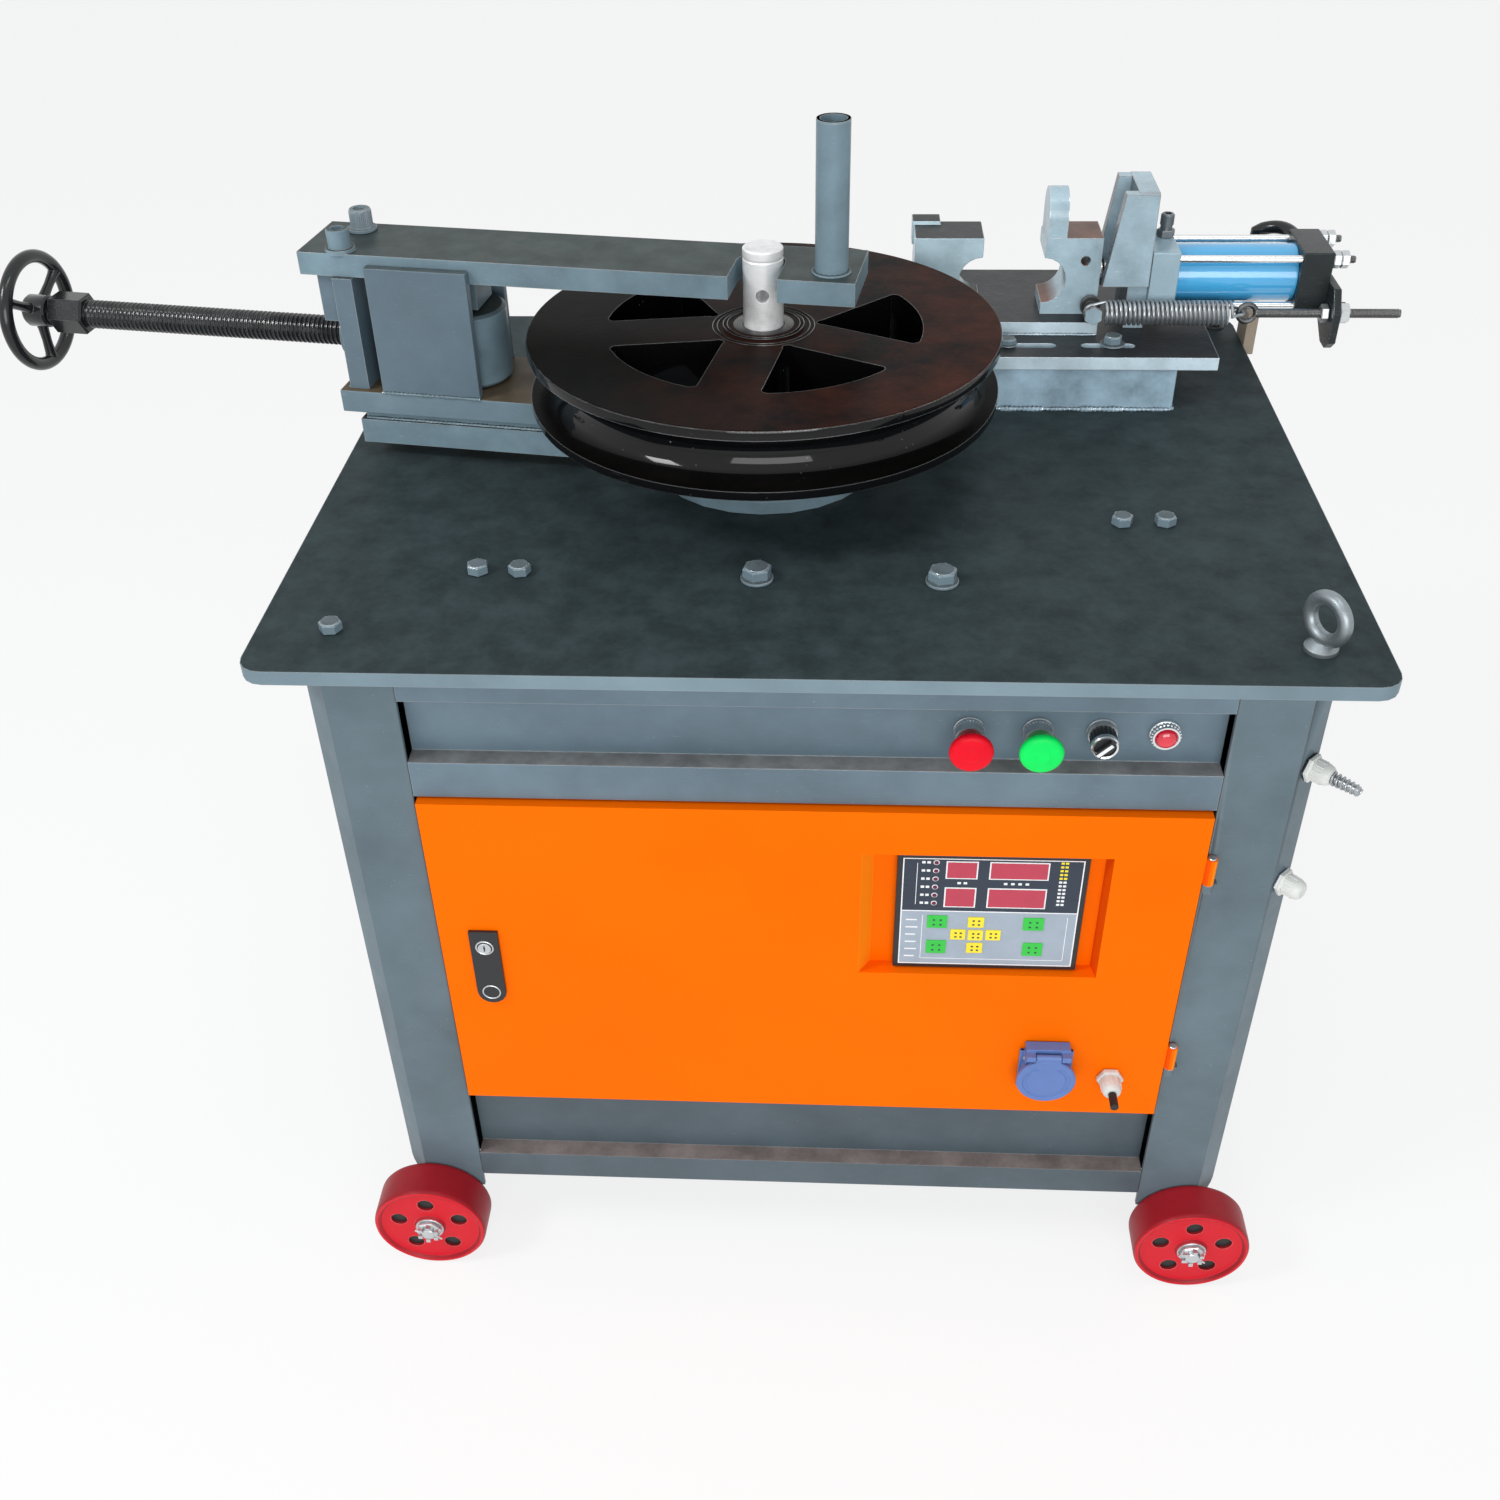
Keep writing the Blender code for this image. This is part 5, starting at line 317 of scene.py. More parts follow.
finishes = {
    "skirtPaint": paintFinish("lower panel paint", {
        "colour": (0.078, 0.106, 0.126), "rough": 0.42, "scuff": 0.3, "bare": (0.34, 0.33, 0.31),
        "top": (0.200, 0.174, 0.166)}),
    "greyPaint": paintFinish("machine grey paint", {
        "colour": (0.112, 0.158, 0.186), "rough": 0.44, "scuff": 0.25, "bare": (0.20, 0.16, 0.13)}),
    "panelPaint": paintFinish("front panel paint", {
        "colour": (0.128, 0.186, 0.228), "rough": 0.40, "scuff": 0.25, "top": (0.260, 0.262, 0.262),
        "wear": 0.8, "bare": (0.50, 0.49, 0.47)}),
    "tablePaint": paintFinish("table paint", {
        "colour": (0.180, 0.250, 0.288), "rough": 0.40, "scuff": 0.30, "scuffColour": (0.10, 0.13, 0.14),
        "top": (0.034, 0.049, 0.053), "topAmount": 2.0, "topRough": 0.10, "specular": 0.07, "speck": 0.8,
        "speckScale": 80, "cloud": 5, "wear": 0.5, "bare": (0.30, 0.34, 0.36)}),
    "armPaint": paintFinish("arm paint", {
        "colour": (0.160, 0.235, 0.278), "dark": 0.72, "light": 1.26, "cloud": 12, "rough": 0.34,
        "top": (0.036, 0.050, 0.050), "topAmount": 1.3, "specular": 0.2, "topRough": 0.14, "scuff": 0.35,
        "wear": 0.6, "bare": (0.42, 0.45, 0.46)}),
    "platePaint": paintFinish("side plate paint", {
        "colour": (0.108, 0.158, 0.194), "rough": 0.36, "top": (0.060, 0.078, 0.082), "specular": 0.35,
        "scuff": 0.3, "wear": 0.6, "bare": (0.42, 0.45, 0.46)}),
    "oilyPaint": paintFinish("greasy arm plate", {
        "colour": (0.150, 0.218, 0.258), "rough": 0.34, "top": (0.105, 0.080, 0.050), "topAmount": 1.5,
        "speck": 0.9, "speckScale": 170, "speckColour": (0.34, 0.21, 0.10), "specular": 0.2, "topRough": 0.16,
        "wear": 0.6, "bare": (0.34, 0.34, 0.32)}),
    "clampPaint": paintFinish("clamp paint", {
        "colour": (0.340, 0.480, 0.580), "dark": 0.66, "light": 1.34, "cloud": 22, "rough": 0.26,
        "top": (0.020, 0.023, 0.026), "topAmount": 1.2, "specular": 0.25, "scuff": 0.5,
        "scuffColour": (0.62, 0.70, 0.75), "wear": 0.9, "bare": (0.66, 0.72, 0.75), "relief": 0.0008,
        "topRough": 0.12}),
    # the rail's paint is much lighter than the clamp's: its real blue-grey paint with a painted sheen along
    # its front
    "railPaintAndSheen": paintFinish("rail paint with painted sheen", {
        "colour": (0.590, 0.730, 0.810), "dark": 0.76, "light": 1.2, "cloud": 22, "rough": 0.24,
        "top": (0.018, 0.020, 0.023), "topAmount": 1.3, "specular": 0.2, "scuff": 0.5,
        "scuffColour": (0.72, 0.80, 0.84), "wear": 0.9, "bare": (0.70, 0.76, 0.80), "relief": 0.0008,
        "topRough": 0.12}),
    "jawPaint": paintFinish("jaw paint", {
        "colour": (0.470, 0.625, 0.700), "dark": 0.70, "light": 1.24, "cloud": 16, "rough": 0.26,
        "scuff": 0.5, "wear": 0.9, "bare": (0.60, 0.64, 0.66), "specular": 0.22, "top": (0.026, 0.029, 0.030),
        "topAmount": 1.2, "relief": 0.0007}),
    "rustyPaint": paintFinish("worn jaw paint", {
        "colour": (0.400, 0.545, 0.620), "dark": 0.68, "light": 1.26, "cloud": 16, "rough": 0.28,
        "scuff": 0.5, "wear": 0.9, "bare": (0.60, 0.64, 0.66), "specular": 0.5, "top": (0.150, 0.062, 0.038),
        "topAmount": 1.4, "topBelow": jawTop - 0.010, "relief": 0.0007}),
    # faces turned towards -x are painted dark: painted shade on the bracket's unlit side
    "bracketPaint": paintFinish("bracket paint", {
        "colour": (0.385, 0.520, 0.595), "dark": 0.68, "light": 1.26, "cloud": 14, "rough": 0.26,
        "scuff": 0.5, "wear": 0.9, "bare": (0.30, 0.17, 0.14), "bareMetal": 0.2, "specular": 0.4,
        "relief": 0.0007, "sides": ((0, -0.6, -0.95, (0.062, 0.078, 0.088), 0.85),)}),
    "capPaint": paintFinish("front cap paint", {
        "colour": (0.345, 0.475, 0.545), "rough": 0.28, "scuff": 0.5, "wear": 0.8, "bare": (0.55, 0.60, 0.62),
        "specular": 0.4, "relief": 0.0006}),
    "boltPaint": paintFinish("painted bolt", {
        "colour": (0.165, 0.232, 0.272), "rough": 0.32, "top": (0.105, 0.135, 0.150), "wear": 1.0,
        "bare": (0.45, 0.50, 0.52)}),
    "darkPaint": paintFinish("dark inner paint", {"colour": (0.040, 0.048, 0.055), "rough": 0.5}),
    # faces turned towards +x are painted lighter and faces towards -x darker: painted light and painted shade
    # on the recess walls
    "orangePaint": paintFinish("door orange", {
        "colour": (0.95, 0.146, 0.0), "rough": 0.36, "roughSpread": 0.12, "dark": 0.94, "light": 1.06,
        "scuff": 0.05, "speck": 0.10, "speckColour": (0.5, 0.10, 0.004), "wear": 0.25,
        "bare": (0.85, 0.30, 0.05), "bareMetal": 0.0, "scuffColour": (1.0, 0.24, 0.01), "cloud": 3,
        "relief": 0.0003, "specular": 0.03,
        "sides": ((0, 0.2, 0.4, (0.98, 0.27, 0.008), 0.85), (0, -0.2, -0.4, (0.72, 0.055, 0.002), 0.7))}),
    "dieBlack": paintFinish("die black", {
        "colour": (0.0035, 0.0035, 0.004), "rough": 0.24, "roughSpread": 0.14,
        "top": (0.0040, 0.0037, 0.0034), "topAmount": 1.4, "topRough": 0.10, "scuff": 0.25,
        "scuffColour": (0.035, 0.035, 0.033), "wear": 0.9, "bare": (0.26, 0.27, 0.27),
        "tint": (0, -0.08, 0.18, (0.064, 0.017, 0.009), 0.95), "tintAbove": origin.z + dieTop, "edge": 0.0015,
        "specular": 0.02, "rimCoat": 0.5}),
    "blackGloss": paintFinish("black gloss paint", {
        "colour": (0.009, 0.010, 0.011), "rough": 0.22, "roughSpread": 0.12, "scuff": 0.3,
        "scuffColour": (0.06, 0.06, 0.06), "wear": 0.35, "bare": (0.25, 0.25, 0.25), "coat": 0.25}),
    "capBlack": paintFinish("cylinder cap black", {
        "colour": (0.026, 0.032, 0.034), "rough": 0.26, "scuff": 0.45, "scuffColour": (0.16, 0.18, 0.19),
        "wear": 0.8, "bare": (0.46, 0.49, 0.50), "specular": 0.16}),
    "blueGloss": paintFinish("cylinder blue", {
        "colour": (0.068, 0.430, 0.790), "rough": 0.14, "roughSpread": 0.08, "scuff": 0.1, "speck": 0.1,
        "wear": 0.1, "coat": 0.8, "dark": 0.92, "light": 1.08, "specular": 0.5}),
    # the wheel's faces across y get a brighter red than its tread: painted light on the lit faces
    "wheelRed": paintFinish("wheel red", {
        "colour": (0.330, 0.010, 0.018), "face": (0.640, 0.007, 0.020), "rough": 0.40, "scuff": 0.2,
        "scuffColour": (0.7, 0.08, 0.07), "speck": 0.3, "speckColour": (0.16, 0.03, 0.03), "wear": 0.5,
        "bare": (0.80, 0.22, 0.20), "bareMetal": 0.0, "specular": 0.2}),
    "tanPaint": paintFinish("primer tan", {"colour": (0.42, 0.34, 0.26), "rough": 0.55, "wear": 0.5}),
    "brightSteel": metalFinish("bright turned steel", {
        "colour": (0.94, 0.95, 0.95), "rough": 0.28, "metallic": 0.22, "stain": 0.30, "stainScale": 45,
        "stretch": (6, 6, 220), "bright": (0.95, 0.95, 0.95)}),
    "rodChrome": metalFinish("bright rod", {
        "colour": (0.78, 0.80, 0.81), "rough": 0.13, "stain": 0.08, "stretch": (160, 6, 6)}),
    "zinc": metalFinish("zinc plated steel", {
        "colour": (0.60, 0.63, 0.65), "rough": 0.30, "stain": 0.25, "stainColour": (0.24, 0.24, 0.23)}),
    "darkSteel": metalFinish("dark steel", {
        "colour": (0.115, 0.118, 0.12), "rough": 0.32, "stain": 0.5, "wear": 0.7, "bright": (0.5, 0.5, 0.5)}),
    "springSteel": metalFinish("spring steel", {
        "colour": (0.36, 0.39, 0.41), "rough": 0.24, "metallic": 0.7, "stain": 0.25,
        "bright": (0.7, 0.7, 0.7)}),
    "boltSteel": metalFinish("oiled bolt steel", {
        "colour": (0.160, 0.180, 0.190), "rough": 0.34, "metallic": 0.7, "stain": 0.5, "wear": 0.8,
        "bright": (0.32, 0.33, 0.33)}),
    "galvanised": metalFinish("galvanised eye", {
        "colour": (0.27, 0.31, 0.33), "rough": 0.34, "metallic": 0.75, "stain": 0.3, "wear": 0.5,
        "bright": (0.7, 0.72, 0.73)}),
    "buttonRed": mouldedFinish("button red", {
        "colour": (0.78, 0.004, 0.018), "rough": 0.34, "specular": 0.12}),
    "buttonGreen": mouldedFinish("button green", {
        "colour": (0.005, 0.78, 0.120), "rough": 0.34, "specular": 0.12}),
    "lensRed": mouldedFinish("lamp lens", {"colour": (0.72, 0.008, 0.035), "rough": 0.12, "coat": 1.0}),
    "socketBlue": mouldedFinish("socket blue", {"colour": (0.105, 0.190, 0.460), "rough": 0.36}),
    "whitePlastic": mouldedFinish("white plastic", {"colour": (0.64, 0.66, 0.63), "rough": 0.38}),
    "rubber": mouldedFinish("black rubber", {"colour": (0.016, 0.016, 0.016), "rough": 0.5}),
    "blackPlastic": mouldedFinish("black plastic", {"colour": (0.018, 0.019, 0.021), "rough": 0.36}),
    "screenDark": mouldedFinish("upper label", {"colour": (0.024, 0.036, 0.058), "rough": 0.30}),
    "screenPale": mouldedFinish("lower label", {"colour": (0.33, 0.39, 0.46), "rough": 0.35}),
    "markWhite": mouldedFinish("printed white", {"colour": (0.80, 0.82, 0.84), "rough": 0.4}),
    "digitRed": mouldedFinish("display window", {"colour": (0.46, 0.030, 0.066), "rough": 0.15, "coat": 0.4}),
    "keyGreen": mouldedFinish("green keys", {"colour": (0.030, 0.52, 0.055), "rough": 0.35}),
    "keyYellow": mouldedFinish("yellow keys", {"colour": (0.90, 0.72, 0.030), "rough": 0.35}),
    "ledPurple": mouldedFinish("indicator", {"colour": (0.13, 0.012, 0.040), "rough": 0.2}),
}
print("finishes made,", len(finishes))


# Shapes, added to a bmesh

def addBlock(shape, low, high):
    low, high = Vector(low), Vector(high)
    corners = bmesh.ops.create_cube(shape, size=1)["verts"]
    for vert in corners:
        vert.co = Vector([a + (b - a) * (c + 0.5) for a, b, c in zip(low, high, vert.co)])
    return corners


def addTurned(shape, profile, sides=48, base=(0, 0, 0), direction=(0, 0, 1), closed=False, phase=0.0):
    turn = Vector(direction).to_track_quat("Z", "Y").to_matrix()
    base = Vector(base)
    rings = []
    for radius, height in profile:
        if radius < 1e-6:
            rings.append([shape.verts.new(base + turn @ Vector((0, 0, height)))])
            continue
        ring = []
        for k in range(sides):
            angle = phase + math.tau * k / sides
            spot = Vector((radius * math.cos(angle), radius * math.sin(angle), height))
            ring.append(shape.verts.new(base + turn @ spot))
        rings.append(ring)
    pairs = list(zip(rings, rings[1:])) + ([(rings[-1], rings[0])] if closed else [])
    for a, b in pairs:
        for k in range(sides):
            n = (k + 1) % sides
            corners = {a[k % len(a)]: 0, a[n % len(a)]: 0, b[n % len(b)]: 0, b[k % len(b)]: 0}
            if len(corners) > 2:
                shape.faces.new(list(corners))


def addRod(shape, start, end, radius, sides=32, edge=0.0006, phase=0.0):
    start, end = Vector(start), Vector(end)
    length = (end - start).length
    edge = min(edge, length / 3, radius / 3)
    profile = [(0, 0), (radius - edge, 0), (radius, edge)]
    profile += [(radius, length - edge), (radius - edge, length), (0, length)]
    addTurned(shape, profile, sides, start, end - start, phase=phase)


def addHexagon(shape, start, end, flats, phase=0.0):
    addRod(shape, start, end, flats / math.sqrt(3), 6, flats * 0.06, phase)


def addRing(shape, centre, normal, radius, thick, major=48, minor=14):
    profile = []
    for k in range(minor):
        angle = math.tau * k / minor
        profile.append((radius + thick * math.cos(angle), thick * math.sin(angle)))
    addTurned(shape, profile, major, centre, normal, closed=True)


def addPrism(shape, outline, low, high, axis="Z"):
    order = {"X": (2, 0, 1), "Y": (0, 2, 1), "Z": (0, 1, 2)}[axis]   # where x, y and z come from in (u, v, w)
    rings = []
    for w in (low, high):
        rings.append([shape.verts.new([(u, v, w)[k] for k in order]) for u, v in outline])
    shape.faces.new(rings[0])
    shape.faces.new(rings[1][::-1])
    for k in range(len(outline)):
        n = (k + 1) % len(outline)
        shape.faces.new((rings[0][k], rings[1][k], rings[1][n], rings[0][n]))


def addTube(shape, points, radius, sides=12, radii=None):
    points = [Vector(point) for point in points]
    side = None
    rings = []
    for k, point in enumerate(points):
        ahead = (points[min(k + 1, len(points) - 1)] - points[max(k - 1, 0)]).normalized()
        if side is None:
            side = ahead.orthogonal().normalized()
        side = (side - ahead * side.dot(ahead)).normalized()
        other = ahead.cross(side)
        r = radii[k] if radii else radius
        ring = []
        for n in range(sides):
            angle = math.tau * n / sides
            ring.append(shape.verts.new(point + side * (r * math.cos(angle)) + other * (r * math.sin(angle))))
        rings.append(ring)
    for a, b in zip(rings, rings[1:]):
        for n in range(sides):
            m = (n + 1) % sides
            shape.faces.new((a[n], a[m], b[m], b[n]))
    shape.faces.new(rings[0][::-1])
    shape.faces.new(rings[-1])


def addBead(shape, start, end, radius):
    # A weld or paint bead with a ripple along its length
    start, end = Vector(start), Vector(end)
    count = max(6, int((end - start).length / 0.0016))
    spots = [start.lerp(end, k / count) for k in range(count + 1)]
    radii = [radius * (0.82 + 0.18 * math.sin(k * 2.1) + 0.14 * math.sin(k * 0.37)) for k in range(count + 1)]
    addTube(shape, spots, radius, 8, radii)


def arcPoints(centre, radius, start, end, steps):
    spots = [start + (end - start) * k / steps for k in range(steps + 1)]
    return [(centre[0] + radius * math.cos(a), centre[1] + radius * math.sin(a)) for a in spots]


def carved(shape, cutter):
    # The shape less the cutter, by an exact Boolean on two passing objects
    pair = []
    for part in (shape, cutter):
        bmesh.ops.recalc_face_normals(part, faces=part.faces)
        mesh = bpy.data.meshes.new("carving")
        part.to_mesh(mesh)
        part.free()
        thing = bpy.data.objects.new("carving", mesh)
        bpy.context.scene.collection.objects.link(thing)
        pair.append(thing)
    boolean = pair[0].modifiers.new("Cut", "BOOLEAN")
    boolean.operation = "DIFFERENCE"
    boolean.object = pair[1]
    graph = bpy.context.evaluated_depsgraph_get()
    mesh = bpy.data.meshes.new_from_object(pair[0].evaluated_get(graph))
    result = bmesh.new()
    result.from_mesh(mesh)
    for thing in pair:
        bpy.data.objects.remove(thing, do_unlink=True)
    return result


def makePiece(name, shape, finish, body, where=onTable, bevel=0.0, segments=2, angle=35, stands=()):
    bmesh.ops.recalc_face_normals(shape, faces=shape.faces)
    mesh = bpy.data.meshes.new(name)
    shape.to_mesh(mesh)
    shape.free()
    mesh.transform(where)
    mesh.materials.clear()
    mesh.materials.append(finishes[finish])
    mesh.shade_smooth()
    piece = bpy.data.objects.new(name, mesh)
    bpy.context.scene.collection.objects.link(piece)
    if bevel:
        edge = piece.modifiers.new("Edges", "BEVEL")
        edge.width = bevel
        edge.segments = segments
        edge.limit_method = "ANGLE"
        edge.angle_limit = math.radians(angle)
        even = piece.modifiers.new("Even", "WEIGHTED_NORMAL")   # large faces stay flat up to their edges
        even.keep_sharp = True
    else:
        mesh.set_sharp_from_angle(angle=math.radians(angle))
    if body:
        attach(piece, body)
    if stands:
        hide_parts(*stands)
    return piece


def dress(node, finish, bevel, segments=2):
    # The node's own solid with rounded edges and smooth turned faces
    source = nodes[node]
    shape = bmesh.new()
    shape.from_mesh(source.data)
    bmesh.ops.remove_doubles(shape, verts=shape.verts, dist=0.00003)
    bmesh.ops.dissolve_limit(shape, angle_limit=math.radians(1.0), verts=shape.verts, edges=shape.edges)
    body = source["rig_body"]
    return makePiece(node + "_dressed", shape, finish, body, Matrix(), bevel, segments, stands=(node,))


# Plates, posts and panels that keep the solid's own form

plainDress = {
    "table_top": ("tablePaint", 0.0016), "post_front_left": ("greyPaint", 0.0008),
    "post_front_right": ("greyPaint", 0.0008), "post_back_left": ("greyPaint", 0.0008),
    "post_back_right": ("greyPaint", 0.0008), "control_panel": ("panelPaint", 0.0010),
    "bottom_panel": ("skirtPaint", 0.0008), "cabinet_shell": ("greyPaint", 0.0006),
    "drive_shelf": ("darkPaint", 0.0008), "gearmotor": ("darkPaint", 0.0012),
    "hydraulic_unit": ("darkPaint", 0.0015), "bearing_housing": ("armPaint", 0.0008),
    "arm_base_plate": ("armPaint", 0.0014), "arm_lower_plate": ("oilyPaint", 0.0014),
    "arm_end_plate": ("platePaint", 0.0012), "front_side_plate": ("platePaint", 0.0010),
    "rear_side_plate": ("platePaint", 0.0010), "arm_top_plate": ("armPaint", 0.0014),
    "roller_carrier": ("armPaint", 0.0012), "clamp_block": ("clampPaint", 0.0016),
    "clamp_rail": ("railPaintAndSheen", 0.0012), "fixed_jaw": ("jawPaint", 0.0014),
    "moving_jaw": ("rustyPaint", 0.0014), "cylinder_bracket": ("bracketPaint", 0.0012),
    "controller": ("blackPlastic", 0.0012), "lock_plate": ("blackPlastic", 0.0008),
    "lock_barrel": ("zinc", 0.0003), "mains_socket": ("socketBlue", 0.0008),
    "arm_gear": ("darkSteel", 0.0004), "drive_pinion": ("darkSteel", 0.0004),
}
for nodeName, (finishName, bevelWidth) in plainDress.items():
    dress(nodeName, finishName, bevelWidth)
dress("door_panel", "orangePaint", 0.0010, 3)
print("plates and panels dressed")


# Bending die: grooved rim, hub ring, fine ridges round the spindle and five windows
# A ridge is given as its radius and its height above the die's face.

die = {"rim": 0.236, "pitch": 0.232, "groove": 0.0253, "hub": 0.043, "bore": 0.0203, "windows": 5,
       "firstAngle": math.radians(-64), "inner": 0.054, "outer": 0.158, "half": math.radians(24.5),
       "corner": 0.008, "tip": 0.0055, "sides": 128, "ridge": 0.0006,
       "ridges": ((0.0362, 0.0022), (0.0402, 0.0022), (0.0462, 0.0002), (0.0508, 0.0002))}


def windowOutline(number):
    middle = die["firstAngle"] + math.tau * number / die["windows"]
    outer, corner, half = die["outer"], die["corner"], die["half"]
    centre = outer - corner
    swing = half - corner / centre
    steps = 12
    points = arcPoints((0, 0), outer, -swing, swing, steps)
    low = (centre * math.cos(-swing), centre * math.sin(-swing))
    cornerTurn = math.radians(75)
    points += arcPoints((low[0], -low[1]), corner, swing, swing + cornerTurn, 6)[1:]
    points += arcPoints((die["inner"] + 0.005, 0), die["tip"], math.pi / 2, 1.5 * math.pi, 8)
    points += arcPoints(low, corner, -swing - cornerTurn, -swing, 6)[:-1]
    cos, sin = math.cos(middle), math.sin(middle)
    return [(spindleX + x * cos - y * sin, spindleY + x * sin + y * cos) for x, y in points]


def makeDie():
    groove, pitch, rim, hub = die["groove"], die["pitch"], die["rim"], die["hub"]
    opening = math.asin((rim - pitch) / groove)
    profile = [(die["bore"], dieTop + 0.002), (hub - 0.008, dieTop + 0.002), (hub - 0.002, dieTop + 0.0006)]
    profile += [(hub, dieTop), (rim - 0.003, dieTop), (rim - 0.0009, dieTop - 0.0009), (rim, dieTop - 0.003)]
    profile += arcPoints((pitch, bendZ), groove, math.pi / 2 - opening, 1.5 * math.pi + opening, 20)
    profile += [(rim, dieLow + 0.003), (rim - 0.0009, dieLow + 0.0009), (rim - 0.003, dieLow)]
    profile.append((die["bore"], dieLow))
    shape = bmesh.new()
    addTurned(shape, profile, die["sides"], (spindleX, spindleY, 0), closed=True)
    cutter = bmesh.new()
    for number in range(die["windows"]):
        addPrism(cutter, windowOutline(number), dieLow - 0.01, dieTop + 0.01)
    makePiece("die_wheel", carved(shape, cutter), "dieBlack", "frame", bevel=0.0012, stands=("bending_die",))
    seat = [(0.0215, dieTop + 0.0021), (0.030, dieTop + 0.0021), (0.0325, dieTop + 0.0008),
            (0.0215, dieTop + 0.0008)]
    ring = bmesh.new()
    addTurned(ring, seat, 64, (spindleX, spindleY, 0), closed=True)
    makePiece("die_hub_ring", ring, "darkSteel", "frame")
    ridges = bmesh.new()
    for radius, rise in die["ridges"]:
        addRing(ridges, (spindleX, spindleY, dieTop + rise), (0, 0, 1), radius, die["ridge"], 72, 8)
    makePiece("die_hub_ridges", ridges, "blackGloss", "frame")


# Spindle: radius and height of each corner from the top down, and the hole through its head

spindle = {"hole": 0.0065, "holeZ": 0.187, "sides": 64,
           "head": [(0, 0.2285), (0.004, 0.2290), (0.0185, 0.230), (0.020, 0.2285)],
           "neck": [(0.020, 0.2215), (0.0192, 0.2208), (0.0192, 0.2192), (0.020, 0.2185)],
           "collar": [(0.020, 0.0800), (0.032, 0.0797), (0.032, 0.0502), (0.020, 0.0500)],
           "gearSeat": [(0.020, -0.0625), (0.030, -0.0630), (0.030, -0.1095), (0.020, -0.1100)],
           "foot": [(0.020, -0.1220), (0.030, -0.1225), (0.030, -0.1378), (0, -0.1378)]}


def makeSpindle():
    profile = spindle["head"] + spindle["neck"] + spindle["collar"] + spindle["gearSeat"] + spindle["foot"]
    shape = bmesh.new()
    addTurned(shape, profile, spindle["sides"], (spindleX, spindleY, 0))
    cutter = bmesh.new()
    near, far, z = spindleY - 0.03, spindleY + 0.03, spindle["holeZ"]
    addRod(cutter, (spindleX, near, z), (spindleX, far, z), spindle["hole"], 32, 0)
    makePiece("spindle_post", carved(shape, cutter), "brightSteel", "frame", bevel=0.0004,
              stands=("spindle",))


makeDie()
makeSpindle()
print("die and spindle made")


# Arm: roller, feed screw, handwheel, pivot screw and welds, along the arm's own x

roller = {"x": 0.310, "radius": 0.040, "low": 0.076, "high": 0.154, "bore": 0.0123, "boss": 0.018,
          "edge": 0.004}
feed = {"start": 0.3748, "pitch": 0.0050, "radius": 0.0150, "depth": 0.0014, "coupling": 0.7450,
        "couplingLength": 0.040, "couplingFlats": 0.038, "stub": 0.0100, "stubLength": 0.030}
handwheel = {"gap": 0.006, "hubLength": 0.026, "rim": 0.0568, "bar": 0.0072, "spokes": 3, "rimShift": 0.003,
             "hub": [(0.0103, 0), (0.0150, 0), (0.0170, 0.002), (0.0170, 0.023), (0.0150, 0.026),
                     (0.0103, 0.026)],
             "spoke": ((0.0125, 0.0068), (0.020, 0.0056), (0.034, 0.0050), (0.048, 0.0056), (0.0535, 0.0068))}
pivotScrew = {"x": 0.423, "y": -0.025, "shank": 0.008, "washer": 0.015, "washerHigh": 0.0033, "top": 0.022,
              "head": 0.0115, "ribFoot": 0.0109, "ribs": 36, "crown": 0.0110, "socket": 0.0069,
              "socketDeep": 0.008}
armWelds = {"sideY": 0.055919, "sideRun": (0.286, 0.392), "baseY": 0.0505, "baseRun": (0.12, 0.4165),
            "baseZ": 0.0428, "endX": 0.4305, "endHalf": 0.048, "bead": 0.0022, "endBead": 0.0026,
            "bossX": 0.4310, "boss": 0.0258}
handle = {"x": -0.070, "y": 0.017, "high": 0.142, "bore": 0.0126, "radius": 0.01605, "weld": 0.0172,
          "bead": 0.0022}


def makeRoller():
    r, low, high, edge = roller["radius"], roller["low"], roller["high"], roller["edge"]
    face = high - 0.001
    profile = [(roller["bore"], high), (roller["boss"] - 0.0015, high), (roller["boss"], face)]
    profile += [(r - edge, face), (r, high - edge), (r, low + edge), (r - edge, low), (roller["bore"], low)]
    shape = bmesh.new()
    addTurned(shape, profile, 64, (roller["x"], 0, 0), closed=True)
    makePiece("roller_body", shape, "armPaint", "roller", onArm, bevel=0.0005, stands=("pressure_roller",))


def threadProfile(start, end, radius, depth, pitch):
    # Rings of a thread drawn straight round, close enough to its fine pitch
    foot = radius - depth
    profile = [(0, start), (foot, start)]
    for k in range(int((end - start) / pitch) - 1):
        low = start + pitch * (k + 0.5)
        profile += [(foot, low), (radius, low + pitch * 0.36)]
        profile += [(radius, low + pitch * 0.58), (foot, low + pitch * 0.94)]
    return profile + [(foot, end), (0, end)]


def makeFeedScrew():
    middle = feed["coupling"]
    end = middle + feed["couplingLength"]
    profile = threadProfile(feed["start"], middle + 0.001, feed["radius"], feed["depth"], feed["pitch"])
    shape = bmesh.new()
    addTurned(shape, profile, 32, (0, 0, bendZ), (1, 0, 0))
    addHexagon(shape, (middle, 0, bendZ), (end, 0, bendZ), feed["couplingFlats"])
    addRod(shape, (end - 0.001, 0, bendZ), (end + feed["stubLength"], 0, bendZ), feed["stub"], 32, 0.001)
    makePiece("feed_thread", shape, "blackGloss", "screw", onArm, angle=28, stands=("feed_screw",))


